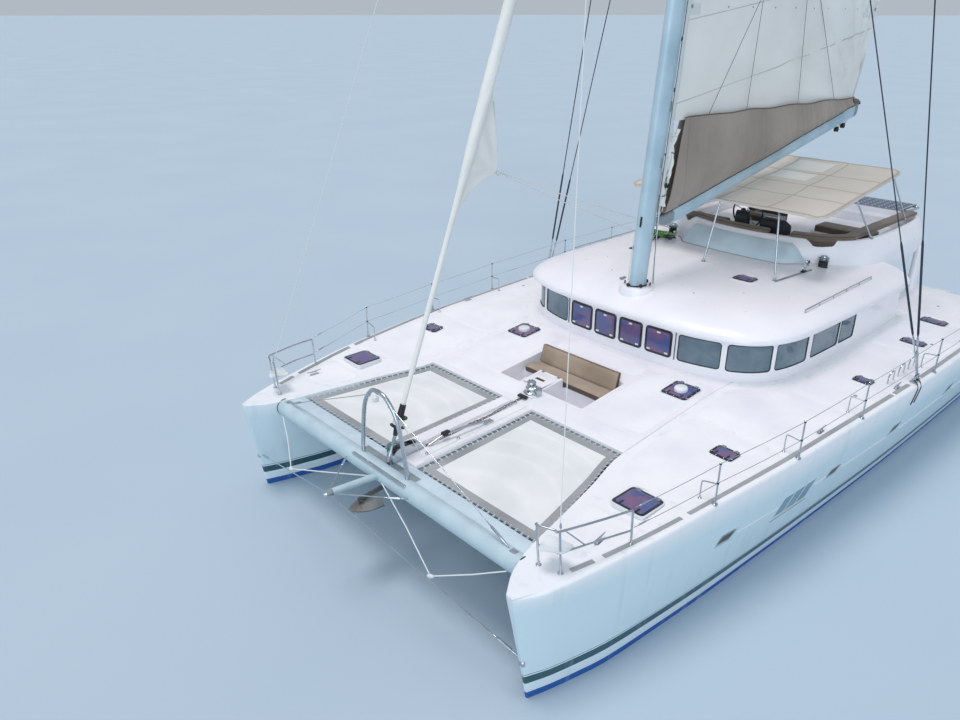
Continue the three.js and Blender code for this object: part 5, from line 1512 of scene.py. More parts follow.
# A thin black sheet on the deck inside each coaming stands for the dark space under the hatch: painted shade.
under = skin([[on_deck(x, s, 0.0) @ Vector((0, 0, 0.005)) for x in across] + [on_deck(x, s, 0.0) @ Vector((0, 0, -0.01)) for x in reversed(across)] for s in np.linspace(s0 + 0.055, s1 - 0.055, 6)])
piece("foredeck_hatch_coamings", {GELCOAT: both(coaming), BLACK: both(under)})


def cleat(x, s, turn=0.0, size=1.0):
    where = on_deck(x, s, turn)
    horn = through([Vector((0, y * size, z * size)) for y, z in ((-0.13, 0.068), (-0.06, 0.058), (0, 0.056), (0.06, 0.058), (0.13, 0.068))], 4)
    radii = [0.009 * size * mix(0.7, 1.3, math.sin(math.pi * k / (len(horn) - 1))) for k in range(len(horn))]
    made = [bar(horn, radii, 8)]
    for y in (-0.035, 0.035):
        made.append(turned([(0.02, 0), (0.013, 0.012), (0.011, 0.05)], Vector((0, y * size, 0)), UP, 10))
    made.append(plate(0.06 * size, 0.16 * size, -0.004, 0.006, 0.02, 0.002))
    return [placed(p, where) for p in made]


cleats = []
for x, s, turn in ((3.2, 1.12, 0.1), (3.86, 5.3, 0), (4.02, 7.6, 0), (3.95, 12.95, 0)):
    cleats += cleat(x, s, turn)
fillers = []
for x, s in ((3.7, 6.8), (3.72, 9.9), (3.05, 12.1)):
    where = on_deck(x, s)
    fillers.append(placed(turned([(0.034, -0.002), (0.034, 0.003), (0.028, 0.006), (0.012, 0.005)], Vector((0, 0, 0)), UP, 18), where))
piece("deck_cleats", {STAINLESS: both(*cleats, *fillers)})
strap = []
for s in (7.98, 8.1):
    line = []
    for z in np.arange(1.55, 1.9, 0.05):
        place, out = side_hit(hull_skin, s, z)
        line.append(place + PORT * 0.004)
    strap.append(bar(line + [at(4.19, s, 1.94), at(4.13, s, 1.985)], 0.01, 6, flat=None))
hoops = []
for k in range(3):
    base = deck_point(3.86, 7.62 + 0.42 * k)
    hoops.append(tube([base - UP * 0.01, base + UP * 0.12, base + Vector((0.01, 0.05, 0.19)), base + Vector((0.01, 0.17, 0.19)), base + Vector((0, 0.22, 0.12)), base + Vector((0, 0.22, -0.01))], 0.011, 8, 4))
piece("chainplate_straps", {BLACK: both(*strap), STAINLESS: both(*hoops)})


# Rig. The mast's own frame has its origin at the foot, y aft of it and z up the mast.

MAST = Matrix.Translation(MAST_FOOT) @ Matrix.Rotation(-RAKE, 4, "X")
INTO_MAST = MAST.inverted()
HINGE_Y = 0.255
GOOSENECK = INTO_MAST @ at(0, 6.4, 4.15)
BOOM_TIP = INTO_MAST @ at(0, 13.51, 5.53)
SPREADER_TIP = at(1.875, 7.88, 15.5)
HEAD = at(0, 7.36, 19.87)


def up_mast(x, y, z):
    return MAST @ Vector((x, y, z))


def mast_block(x0, x1, y0, y1, z0, z1, soft=0.004):
    """A block square to the mast, in its own frame."""
    return placed(placed(block(x0, x1, y0, y1, z0, z1, soft), Matrix.Translation((0, MIDSHIP, 0))), MAST)


def mast_section(z, grow=0.0):
    """The spar's oval section with the sail groove in its aft face."""
    ring = []
    for k in range(33):
        a = math.pi / 2 + math.radians(6) + (2 * math.pi - math.radians(12)) * k / 32
        ring.append(up_mast((0.12 + grow) * math.cos(a), (0.2 + grow) * math.sin(a), z))
    return ring + [up_mast(x, y, z) for x, y in ((0.006, 0.195 + grow), (0.006, 0.17 + grow), (-0.006, 0.17 + grow), (-0.006, 0.195 + grow))]


def mast_parts():
    spar = skin([mast_section(z) for z in (-0.3, 0.02, 1.2, 3, 6, 9, 12, 15, 18, 20.48)])
    cap = [skin([mast_section(z, g) for z, g in ((20.46, 0.006), (20.5, 0.006), (20.515, -0.02))]), mast_block(-0.035, 0.035, 0.15, 0.34, 20.3, 20.44)]
    fork = [mast_block(-0.045, 0.045, 0.18, 0.285, GOOSENECK.z + h - 0.009, GOOSENECK.z + h + 0.009, 0.004) for h in (-0.0693, 0.0693)]
    fork.append(mast_block(-0.05, 0.05, 0.19, 0.205, GOOSENECK.z - 0.2, GOOSENECK.z + 0.2))
    step = turned([(0.335, -0.26), (0.33, -0.12), (0.315, -0.03), (0.295, 0.025), (0.27, 0.04), (0.1, 0.042)], MAST_FOOT, MAST.to_3x3() @ UP, 40)
    rubber = skin([mast_section(z, g) for z, g in ((0.035, 0.014), (0.06, 0.014), (0.066, 0.006))])
    wings, roots = [], []
    for side in (-1, 1):
        root = up_mast(side * 0.09, 0.04, 12.51)
        tip = Vector((side * SPREADER_TIP.x, SPREADER_TIP.y, SPREADER_TIP.z))
        rings = []
        for t in (0, 0.15, 0.5, 0.85, 1):
            centre, deep, thin = mix(root, tip, t), mix(0.062, 0.034, t), mix(0.03, 0.016, t)
            rings.append([centre + AFT * (deep * math.cos(a)) + UP * (thin * math.sin(a)) for a in np.linspace(0, 2 * math.pi, 15)[:-1]])
        wings.append(skin(rings))
        roots.append(mast_block(*sorted((side * 0.105, side * 0.135)), -0.05, 0.13, 12.42, 12.6, 0.01))
        wings.append(turned([(0.01, -0.03), (0.034, -0.02), (0.036, 0.012), (0.02, 0.028)], tip, UP, 12))
    tangs = [mast_block(*sorted((side * 0.118, side * 0.16)), -0.03, 0.03, h - 0.09, h + 0.09) for side in (-1, 1) for h in (12.25, 16.9)]
    track = skin([[up_mast(x, y, z) for x, y in ((-0.016, 0.199), (-0.012, 0.207), (-0.004, 0.207), (-0.004, 0.199))] for z in (0.9, 20.2)])
    sheaves = []
    for k in range(6):
        a = math.pi * 2 * (k + 0.5) / 6
        sheaves.append(placed(turned([(0.02, -0.012), (0.034, -0.01), (0.028, 0), (0.034, 0.01), (0.02, 0.012)], Vector((0, 0, 0)), PORT, 14), MAST @ Matrix.Translation((0.2 * math.cos(a), 0.27 * math.sin(a), 0.085)) @ Matrix.Rotation(a, 4, "Z")))
    cheeks = [mast_block(x - 0.014, x + 0.014, y - 0.02, y + 0.03, z, z + 0.16, 0.008) for x, y, z in ((0.118, 0.02, 2.1), (-0.118, 0.02, 2.4), (0.112, 0.07, 3.0))]
    return {
        SPAR: [spar, *wings], ALLOY: [*cap, *roots, track, track_mirror(track), *cheeks], STAINLESS: [*fork, *tangs], GELCOAT: [step],
        BLACK: [rubber, *sheaves, mast_block(0.03, 0.06, -0.225, -0.195, 1.1, 1.28, 0.01), mast_block(-0.05, 0.05, -0.24, -0.19, 11.6, 11.78, 0.02)],
    }


def track_mirror(part):
    return [MAST @ Vector((-q.x, q.y, q.z)) for q in (INTO_MAST @ p for p in part[0])], [tuple(reversed(f)) for f in part[1]]


mast_piece = piece("mast_spar", mast_parts(), stands_for="mast")


roof_skin = surface(ROOF)


def roof_z(x, s):
    return roof_skin.ray_cast(at(x, s, 6), Vector((0, 0, -1)))[0].z


def hanging_lines():
    """Halyards down the mast's sides to the turning blocks at its foot."""
    white, teal, dark = [], [], []
    for x, y, spread, lot in ((0.135, 0.13, 0.19, white), (0.142, 0.09, 0.23, dark), (-0.138, 0.12, -0.2, white), (-0.145, 0.06, -0.235, teal), (0.128, 0.165, 0.15, white), (-0.11, -0.12, -0.16, white)):
        lot.append(bar([up_mast(x * 0.5, y * 0.6, 20.4), up_mast(x * 0.97, y, 19), up_mast(x, y, 9), up_mast(x, y, 1.4), up_mast(spread, y + 0.05, 0.1)], 0.0065, 6))
    return white, teal, dark


def rope_heap(place, reach, turns, radius, seed, lift=0.05):
    """A loose heap of rope lying in uneven loops."""
    rng = np.random.default_rng(seed)
    wobble = rng.uniform(-1, 1, (5, 4))
    line = []
    for a in np.linspace(0, 2 * math.pi * turns, int(turns * 16)):
        slow = a / turns
        r = reach * (0.62 + 0.2 * math.sin(slow * 2 + wobble[0, 0]) + 0.13 * math.sin(a * 0.31 + wobble[1, 1]))
        drift = Vector((math.sin(a * 0.13 + wobble[2, 0]), math.cos(a * 0.17 + wobble[3, 1]), 0)) * reach * 0.3
        line.append(Vector(place) + drift + Vector((r * math.cos(a), r * 0.72 * math.sin(a), radius + lift * (0.5 + 0.5 * math.sin(a * 0.37 + wobble[4, 0])))))
    return bar(line, radius, 6)


lines_white, lines_teal, lines_dark = hanging_lines()
piece("mast_halyards", {ROPE: lines_white, ROPE_TEAL: lines_teal, ROPE_DARK: lines_dark})
# Coils thrown down by the starboard winch.
piece("winch_coils", {
    made_of: [rope_heap(at(x, s, roof_z(x, s)), reach, turns, 0.01, seed)]
    for made_of, x, s, reach, turns, seed in (
        (ROPE_GREEN, -1.72, 8.98, 0.24, 9, 7), (ROPE_TEAL, -2.02, 9.12, 0.22, 7, 3), (ROPE_DARK, -1.42, 8.84, 0.14, 4, 11), (ROPE, -2.06, 8.86, 0.12, 4, 5),
    )
})

# Boom and the bag on it


def boom_line(t):
    return mix(GOOSENECK, BOOM_TIP, t)


def boom_section(t, wide=0.095, high=0.14):
    side = [(0.45, 1), (0.8, 0.93), (0.96, 0.72), (1, 0.42), (0.93, 0.38), (0.93, 0.3), (1, 0.26), (1, -0.26), (0.93, -0.3), (0.93, -0.38), (1, -0.42), (0.96, -0.72), (0.8, -0.93), (0.45, -1)]
    groove = [(0.1, -1), (0.08, -0.88)]
    ring = side + groove + [(-a, b) for a, b in reversed(side + groove)] + [(-0.08, 0.88 + 0.12), (0.08, 1.0)]
    p = boom_line(t)
    return [up_mast(a * wide, p.y, p.z + b * high) for a, b in ring]


def boom_parts():
    spar = skin([boom_section(t) for t in (0.035, 0.1, 0.35, 0.6, 0.85, 0.985)])
    p = boom_line(0.0)
    nose = skin([[up_mast(a * w, y, z + b * h) for a, b in ((1, 0.5), (0.5, 1), (-0.5, 1), (-1, 0.5), (-1, -0.5), (-0.5, -1), (0.5, -1), (1, -0.5))]
                 for y, z, w, h in ((0.345, p.z, 0.038, 0.05), (0.36, p.z, 0.04, 0.055), (0.52, boom_line(0.02).z, 0.09, 0.13), (0.68, boom_line(0.04).z, 0.1, 0.144))])
    toggle = placed(turned([(0.018, -0.06), (0.028, -0.056), (0.028, 0.056), (0.018, 0.06)], Vector((0, HINGE_Y, p.z)), UP, 18), MAST)
    link = mast_block(-0.022, 0.022, HINGE_Y, HINGE_Y + 0.12, p.z - 0.04, p.z + 0.04, 0.006)
    cap = skin([boom_section(t, w, h) for t, w, h in ((0.975, 0.099, 0.144), (0.99, 0.099, 0.144), (0.998, 0.085, 0.125), (1.0, 0.07, 0.105))])
    hung, bails, sheaves = [], [], []
    for t in (0.9, 0.94):
        q = boom_line(t)
        low = q.z - 0.14
        bails.append(bar([up_mast(x, q.y, low + h) for x, h in ((-0.06, 0.02), (-0.055, -0.03), (-0.02, -0.06), (0.02, -0.06), (0.055, -0.03), (0.06, 0.02))], 0.007, 8))
        for x in (-0.024, 0.024):
            hung.append(placed(turned([(0.02, -0.014), (0.05, -0.012), (0.054, 0), (0.05, 0.012), (0.02, 0.014)], Vector((0, 0, 0)), PORT, 18), MAST @ Matrix.Translation((x, q.y, low - 0.115))))
        hung.append(mast_block(-0.045, 0.045, q.y - 0.014, q.y + 0.014, low - 0.16, low - 0.055, 0.008))
    for x in (-0.045, 0, 0.045):
        sheaves.append(placed(turned([(0.05, -0.012), (0.045, 0), (0.05, 0.012)], Vector((0, 0, 0)), PORT, 18), MAST @ Matrix.Translation((x, BOOM_TIP.y - 0.06, BOOM_TIP.z + 0.03))))
    return {SPAR: [spar], ALLOY: [nose, link, cap], STAINLESS: [toggle, *bails], BLACK: [*hung, *sheaves]}


boom_piece = piece("boom_spar", boom_parts(), body="boom", stands_for="boom")

COVER_FRONT, COVER_BACK = INTO_MAST @ at(0, 6.52, 5.88), INTO_MAST @ at(0, 13.4, 5.79)


def cover_top(y):
    return mix(COVER_FRONT.z, COVER_BACK.z, (y - GOOSENECK.y) / (BOOM_TIP.y - GOOSENECK.y))


cover_foot = fair([0.0, 0.08, 0.22, 0.6, 0.88, 1.0], [0.13, 0.17, 0.215, 0.225, 0.16, 0.11])
cover_head = fair([0.0, 0.22, 0.6, 0.88, 1.0], [0.055, 0.085, 0.085, 0.07, 0.06])


def cover_point(t, u, grow=0.0):
    """A place on the bag's port side: t along the boom, u from the boom up to the top edge."""
    p = boom_line(t)
    low, top = p.z + 0.145, cover_top(p.y)
    # The open front leans aft as it rises, away from the mast.
    lean = 0.33 * max(0, u - 0.25) * max(0, 1 - t / 0.05)
    wide = mix(cover_foot(t) * 0.55, cover_foot(t), smoothstep(u, 0, 0.22)) if u < 0.25 else mix(cover_foot(t), cover_head(t), smoothstep(u, 0.2, 1.15))
    amount = mix(0.004, 0.019, smoothstep(t, 0.25, 0.8)) * (0.35 + 0.65 * math.sin(math.pi * min(1, u + 0.1)))
    run = p.y * 1.0
    folds = math.sin(run * 31 + 1.5 * math.sin(run * 5.3) + u * 1.2) + 0.6 * math.sin(run * 53 + 2 * math.sin(run * 3.1) - u * 2) + 0.5 * math.sin(run * 13.7 + u * 3)
    slack = 0.012 * math.sin(run * 2.2 + u * 4)
    droop = 0.014 * math.sin(run * 4.1) * u * smoothstep(t, 0.1, 0.3)
    return Vector((wide + amount * folds * 0.6 + slack + grow, p.y + lean, mix(low, top, u) - droop))


def bag(ts, us, thick=0.004):
    rings = []
    for t in ts:
        outer = [cover_point(t, u, thick / 2) for u in us]
        inner = [cover_point(t, u, -thick / 2) for u in us]
        under = [Vector((outer[0].x * k, outer[0].y, outer[0].z - 0.003)) for k in (0.5, 0, -0.5)]
        over = [Vector((inner[0].x * k, inner[0].y, inner[0].z + 0.001)) for k in (-0.5, 0, 0.5)]
        ring = outer[::-1] + under + [Vector((-q.x, q.y, q.z)) for q in outer] + [Vector((-q.x, q.y, q.z)) for q in reversed(inner)] + over + inner
        rings.append([MAST @ q for q in ring])
    return skin(rings)


bag_ts = [0.0 + 0.955 * k / 300 for k in range(301)]
bag_piece = piece("sail_bag", {COVER: [bag(bag_ts, [0, 0.06, 0.14, 0.24, 0.36, 0.5, 0.64, 0.78, 0.9, 1.0])]}, body="boom", stands_for="sail_cover", crease=60)


def bag_trim():
    """The battens along the top edges, the bolt rope along the boom, a lapped front panel and the turned-down aft end."""
    edge, foot, lap, end = [], [], [], []
    for side in (-1, 1):
        flip = lambda q: MAST @ Vector((side * q.x, q.y, q.z))
        edge.append(bar([flip(cover_point(t, 1.0) + Vector((0, 0, 0.004))) for t in np.linspace(0.001, 0.955, 90)], 0.011, 8))
        foot.append(bar([flip(cover_point(t, 0.0) + Vector((0.01, 0, -0.004))) for t in np.linspace(0.003, 0.955, 60)], 0.008, 6))
        us = np.linspace(0, 1, 12)
        front = [[flip(cover_point(t, u, 0.011)) for u in us] for t in (0.001, 0.012, 0.03, 0.046, 0.05)]
        back = [[flip(cover_point(t, u, 0.003)) for u in us] for t in (0.001, 0.012, 0.03, 0.046, 0.05)]
        lap.append(skin([f + b[::-1] for f, b in zip(front, back)]))
        lap.append(bar([flip(cover_point(0.052, u, 0.006)) for u in us], 0.007, 6))
    points = []
    for t, w, drop in ((0.945, 1.05, 0.0), (0.965, 1.1, 0.005), (0.985, 1.05, 0.03), (0.998, 0.9, 0.085), (1.006, 0.75, 0.17)):
        p = boom_line(min(t, 1.0))
        y = mix(GOOSENECK.y, BOOM_TIP.y, t)
        top, low = cover_top(y) - drop, p.z + 0.13
        ring = []
        for a, b in ((-1, 0), (-1.2, 0.3), (-1.25, 0.6), (-0.9, 0.9), (-0.4, 1.0), (0, 0.94), (0.4, 1.0), (0.9, 0.9), (1.25, 0.6), (1.2, 0.3), (1, 0)):
            ring.append(up_mast(a * 0.1 * w, y, mix(low, top, b)))
        points.append(ring)
    end.append(skin(points))
    return {COVER: lap, CUSHION_EDGE: [*edge, *end], ROPE_DARK: foot}


trim_piece = piece("sail_bag_trim", bag_trim(), body="boom", crease=40)


def luff_gear():
    """Slack luff, reefing lines and their lashings, bunched between the bag's open front and the mast."""
    folds, ropes, dark = [], [], []
    for k, (x, lean) in enumerate(((0.02, 0.0), (-0.035, 0.03), (0.05, 0.055))):
        line = [up_mast(x + 0.02 * math.sin(z * 9 + k), 0.315 + lean + 0.12 * (z - 1.4) * 0.5 + 0.018 * math.sin(z * 13 + 2 * k), z) for z in np.linspace(1.42, 2.72, 40)]
        folds.append(bar(line, [0.02 + 0.016 * abs(math.sin(i * 0.55 + k)) for i in range(40)], 10))
    for k, z in enumerate((1.62, 1.95, 2.3, 2.6)):
        centre = Vector((0.0, 0.345 + 0.06 * (z - 1.4), z))
        ring = [MAST @ (centre + Vector((0.085 * math.cos(a), 0.065 * math.sin(a), 0.03 * math.sin(a + k)))) for a in np.linspace(0, 2 * math.pi, 21)[:-1]]
        (ropes if k % 2 else dark).append(bar(ring, 0.008, 6, closed=True))
    block_ = placed(turned([(0.02, -0.02), (0.045, -0.017), (0.05, 0), (0.045, 0.017), (0.02, 0.02)], Vector((0, 0, 0)), PORT, 16), MAST @ Matrix.Translation((0.07, 0.36, 1.78)))
    for k in range(3):
        ropes.append(bar([up_mast(0.07 - 0.05 * k, 0.33, 1.34), up_mast(0.085 - 0.06 * k, 0.345 + 0.01 * k, 1.8), up_mast(0.05 - 0.04 * k, 0.37, 2.4), up_mast(0.02, 0.36, 2.9)], 0.006, 6))
    return {SAILCLOTH: folds, ROPE: ropes, ROPE_DARK: dark, BLACK: [block_]}


gear_piece = piece("luff_gear", luff_gear(), body="boom")

# Mainsail

LUFF_Y = HINGE_Y + 0.03
SAIL_ROWS = [
    # luff height, leech height, chord, camber
    (cover_top(LUFF_Y) - 0.05, cover_top(LUFF_Y + 6.9) - 0.03, 6.9, 0.03), (4.7, 5.3, 7.16, 0.16), (7.5, 7.9, 6.95, 0.25), (10.5, 10.8, 6.25, 0.26),
    (13.5, 13.7, 5.15, 0.22), (16.2, 16.3, 3.8, 0.15), (18.6, 18.65, 2.25, 0.08), (19.9, 19.9, 0.95, 0.02),
]
sail_row = fair([r[0] for r in SAIL_ROWS], [r[1:] for r in SAIL_ROWS])


def sail_point(z, u, push=0.0):
    """A place on the sail: z up the luff, u along the chord. The folds fan out from the clew."""
    leech, chord, camber = sail_row(z)
    y, h = u * chord, mix(z, leech, u)
    belly = camber * 4 * u * (1 - u) * (1.25 - 0.5 * u)
    back, up = 6.9 - y, h - SAIL_ROWS[0][1]
    angle, reach = math.atan2(up, back), math.hypot(back, up)
    fan = smoothstep(reach, 0.15, 1.3) * (1 - smoothstep(reach, 3.5, 8.0))
    wrinkle = 0.022 * math.sin(angle * 27 + 0.8 * math.sin(reach * 1.1)) + 0.016 * math.sin(angle * 47 + reach * 0.5) + 0.012 * math.sin(angle * 14 + 1.3)
    crease = 0.008 * math.sin(h * 5 + y * 2.1) * math.sin(y * 1.7 - h) * min(1, 8 * u) * min(1, 8 * (1 - u))
    luff = 0.014 * math.sin(h * 6.5) * max(0, 1 - u * 9) * u * 9
    low = smoothstep(h - mix(SAIL_ROWS[0][0], SAIL_ROWS[0][1], u), 0.0, 0.5)
    return up_mast(belly + (fan * wrinkle + crease + luff) * mix(0.3, 1, low) * (1 if z < 19 else 0.2) + push, LUFF_Y + y, h)


def mainsail():
    low, high = SAIL_ROWS[0][0], SAIL_ROWS[-1][0]
    zs = [low + (high - low) * (k / 110) ** 1.25 for k in range(111)]
    us = np.linspace(0, 1, 61)
    return skin([[sail_point(z, u, 0.0025) for u in us] + [sail_point(z, u, -0.0025) for u in us[::-1]] for z in zs])


def sail_strip(path, half, thick=0.0045):
    """A doubled strip of cloth stitched along a line on the sail, drawn on both faces."""
    rings = []
    for (z0, u0), (z1, u1) in zip(path, path[1:] + [(2 * path[-1][0] - path[-2][0], 2 * path[-1][1] - path[-2][1])]):
        a, b = sail_point(z0, u0), sail_point(z1, min(1, max(0, u1)))
        t = (b - a).normalized() if (b - a).length > 1e-5 else AFT
        across = t.cross(PORT).normalized()
        rings.append([a + across * half * c + PORT * thick * d for c, d in ((-1, -1), (-1, 1), (1, 1), (1, -1))])
    return skin(rings)


def sail_trim():
    seams, doubled = [], []
    for k in range(13):
        z = 3.1 + 1.28 * k
        rise = mix(1.15, 0.25, k / 12)
        path = [(z + rise * u, u) for u in np.linspace(0.004, 0.985, 36) if z + rise * u < 19.85]
        if len(path) > 4:
            seams.append(sail_strip(path, 0.009))
    zs = np.linspace(SAIL_ROWS[0][0] + 0.02, 19.85, 90)
    doubled.append(sail_strip([(z, 0.994) for z in zs], 0.045))
    doubled.append(sail_strip([(z, 0.012) for z in zs], 0.035))
    for k, z in enumerate((5.6, 8.7, 11.8, 14.9, 17.6)):
        doubled.append(sail_strip([(z + 0.1 * u, u) for u in np.linspace(0.006, 0.985, 30)], 0.034))
    for z in (4.6, 7.2):
        doubled.append(sail_strip([(z, u) for u in np.linspace(0.9, 0.985, 8)], 0.16, 0.005))
        doubled.append(sail_strip([(z, u) for u in np.linspace(0.012, 0.05, 5)], 0.12, 0.005))
    eyes = []
    for z in (4.6, 7.2):
        for u in (0.02, *np.linspace(0.15, 0.85, 8), 0.975):
            p = sail_point(z, u)
            r = 0.03 if u < 0.1 or u > 0.9 else 0.014
            eyes.append(turned([(r * 0.5, -0.009), (r, -0.009), (r * 1.1, 0), (r, 0.009), (r * 0.5, 0.009)], p, PORT, 12))
    cars = []
    for z in np.arange(3.3, 19.9, 0.78):
        cars.append(mast_block(-0.016, 0.016, 0.214, 0.275, z, z + 0.07, 0.006))
        cars.append(mast_block(-0.006, 0.006, 0.262, 0.31, z + 0.02, z + 0.05, 0.002))
    board = [up_mast(0.02 * s, LUFF_Y + y, z) for s in (-1, 1) for y, z in ((0, 19.55), (0.32, 19.6), (0.2, 19.9), (0, 19.9))]
    head_board = skin([board[:4], board[4:]])
    tufts = [bar([sail_point(z, 0.994), sail_point(z, 0.994) + MAST.to_3x3() @ Vector((0.02, 0.2, -0.12))], 0.006, 5) for z in (5.9, 9.0, 12.1, 15.2)]
    return {UVSTRIP: doubled, SEAM: seams, ALLOY: [head_board, *eyes], BLACK: [*cars, *tufts]}


sail_piece = piece("mainsail_cloth", {SAILCLOTH: [mainsail()]}, body="boom", stands_for="mainsail", crease=60)
sail_trim_piece = piece("mainsail_trim", sail_trim(), body="boom", crease=40)

jack_lines = []
for side in (-1, 1):
    for joint_, feet in (((8.39, 7.82), (0.125, 0.305)), ((9.79, 8.68), (0.58, 0.82))):
        knot = INTO_MAST @ at(0, *joint_)
        knot = MAST @ Vector((side * 0.3, knot.y, knot.z))
        for t in feet:
            q = cover_point(t, 1.0)
            jack_lines.append(bar([MAST @ Vector((side * q.x, q.y, q.z)), knot], 0.0045, 6))
        jack_lines.append(bar([mix(knot, up_mast(side * 0.14, 0.03, 13.6), k / 12) for k in range(13)], 0.0045, 6))
        jack_lines.append(turned([(0.008, -0.03), (0.02, -0.01), (0.02, 0.01), (0.008, 0.03)], knot, UP, 8))
jacks = piece("lazy_jacks", {ROPE_DARK: jack_lines}, body=None)
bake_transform(jacks)

# Headsail, rolled on its stay

STAY_FOOT = at(0, 0.36, 1.7)
stay_along = (HEAD - STAY_FOOT).normalized()
stay_length = (HEAD - STAY_FOOT).length
roll_radius = fair([0.86, 1.0, 3.2, 3.7, 4.4, 5.2, 12.0, 17.0, 17.35], [0.03, 0.036, 0.038, 0.045, 0.07, 0.082, 0.074, 0.05, 0.02])


def headsail_roll():
    """The rolled sail: its last turn laps over as a low step that winds slowly up the stay."""
    across = stay_along.cross(PORT).normalized()
    rings = []
    hs = np.concatenate([np.linspace(0.86, 1.3, 8), np.linspace(1.4, 6.4, 90), np.linspace(6.6, 17.35, 90)])
    for h in hs:
        r = roll_radius(float(h))
        ring = []
        for k in range(28):
            a = 2 * math.pi * k / 28
            turn = (a - h * 1.15) % (2 * math.pi) / (2 * math.pi)
            rough = 0.02 * math.sin(a * 3 + h * 7.3) + 0.015 * math.sin(a * 2 - h * 17) + 0.012 * math.sin(a + h * 31)
            ring.append(STAY_FOOT + stay_along * float(h) + (PORT * math.cos(a) + across * math.sin(a)) * r * (1.04 - 0.1 * turn + rough))
        rings.append(ring)
    return skin(rings)


def furler():
    foil = bar([STAY_FOOT + stay_along * h for h in (0.8, stay_length - 0.62)], 0.012, 10)
    drum = turned([(0.03, 0.4), (0.045, 0.5), (0.108, 0.53), (0.11, 0.545), (0.06, 0.55), (0.055, 0.66), (0.11, 0.67), (0.108, 0.69), (0.05, 0.7), (0.044, 0.86)], STAY_FOOT, stay_along, 28)
    cords = []
    for k in range(6):
        centre = STAY_FOOT + stay_along * (0.565 + 0.016 * k)
        cords.append(bar([centre + (stay_along.cross(PORT).normalized() * math.sin(a) + PORT * math.cos(a)) * (0.07 + 0.008 * (k % 2)) for a in np.linspace(0, 2 * math.pi, 21)[:-1]], 0.009, 6, closed=True))
    strop = turned([(0.02, 0), (0.03, 0.05), (0.03, 0.14), (0.018, 0.17), (0.018, 0.3), (0.026, 0.32), (0.026, 0.42)], STAY_FOOT, stay_along, 16)
    plates = [block(x, x + 0.012, 0.375, 0.45, 1.657, 1.79, 0.004) for x in (-0.025, 0.013)]
    top = turned([(0.014, 0), (0.026, 0.03), (0.026, 0.12), (0.01, 0.16)], STAY_FOOT + stay_along * 17.42, stay_along, 14)
    guide = bar([STAY_FOOT + stay_along * 0.6 + PORT * 0.075, at(0.3, 0.75, 1.75), at(0.31, 2.85, 1.84)], 0.005, 6)
    return {ALLOY: [foil, top], BLACK: [drum], STAINLESS: [strop, *plates], ROPE: [*cords, guide]}


def stay_at(z):
    return STAY_FOOT + (HEAD - STAY_FOOT) * ((z - STAY_FOOT.z) / (HEAD.z - STAY_FOOT.z))


CLEW = at(0, 2.41, 5.51)


def clew_flap():
    """The corner of the sail that isn't rolled, drawn out to the clew with its creases."""
    edge = through([at(0, 1.66, 5.02), at(0, 1.96, 5.3), at(0, 2.24, 5.44), CLEW, at(0, 2.435, 5.66), at(0, 2.415, 6.02), at(0, 2.36, 6.42), at(0, 2.36, 6.62)], 5)
    sheets = []
    for lift in (0.003, -0.003):
        rows = []
        for k, end in enumerate(edge):
            v = k / (len(edge) - 1)
            start = stay_at(mix(4.96, 6.62, v)) + PORT * 0.02
            row = []
            for u in np.linspace(0, 1, 17):
                p = mix(start, end, u)
                fan = math.atan2(p.z - CLEW.z, CLEW.y - p.y + 0.02)
                fold = 0.022 * math.sin(fan * 8) * math.sin(math.pi * min(1, u * 1.05)) * smoothstep((p - CLEW).length, 0.05, 0.4)
                row.append(p + PORT * (fold + lift + 0.012 * math.sin(v * 5) * u))
            rows.append(row)
        sheets.append(rows)
    return skin([front + back[::-1] for front, back in zip(*sheets)])


def clew_gear():
    ring = bar([CLEW + Vector((0, -0.035 + 0.026 * math.cos(a), 0.026 * math.sin(a))) for a in np.linspace(0, 2 * math.pi, 17)[:-1]], 0.007, 8, closed=True)
    edge = [at(0, 1.7, 5.06), at(0, 1.96, 5.3), at(0, 2.24, 5.44), CLEW, at(0, 2.435, 5.66), at(0, 2.415, 6.02), at(0, 2.36, 6.42)]
    tape = [bar(through(edge[:4], 5), 0.007, 6), bar(through(edge[3:], 5), 0.007, 6)]
    knots = []
    for k in range(2):
        line = []
        for a in np.linspace(0, 2 * math.pi * 2.2, 40):
            line.append(CLEW + Vector((-0.018 + 0.03 * k + 0.02 * math.cos(a), 0.02 + 0.014 * a / 2.2 * 0.6, 0.026 * math.sin(a) - 0.006 * a)))
        knots.append(bar(line, 0.009, 6))
    return ring, tape, knots


flap_piece = piece("headsail_clew", {SAILCLOTH: [clew_flap()]}, stands_for="furled_headsail", crease=60)
roll_piece = piece("headsail_roll", {SAILCLOTH: [headsail_roll()]}, crease=50)
clew_ring, clew_tape, clew_knots = clew_gear()
furler_parts = furler()
furler_parts[STAINLESS].append(clew_ring)
furler_parts[UVSTRIP] = clew_tape
gear = piece("furling_gear", furler_parts)
sheets_lead = []
for a, b in ((CLEW + Vector((-0.02, 0.05, -0.02)), at(-1.7, 9.3, 3.2)), (CLEW + Vector((-0.01, 0.04, -0.03)), at(-1.75, 8.7, 3.1))):
    sheets_lead.append(bar([mix(a, b, t) - UP * (0.16 * t * (1 - t)) for t in np.linspace(0, 1, 25)], 0.008, 8))
piece("headsail_sheets", {ROPE: [*clew_knots, *sheets_lead]})
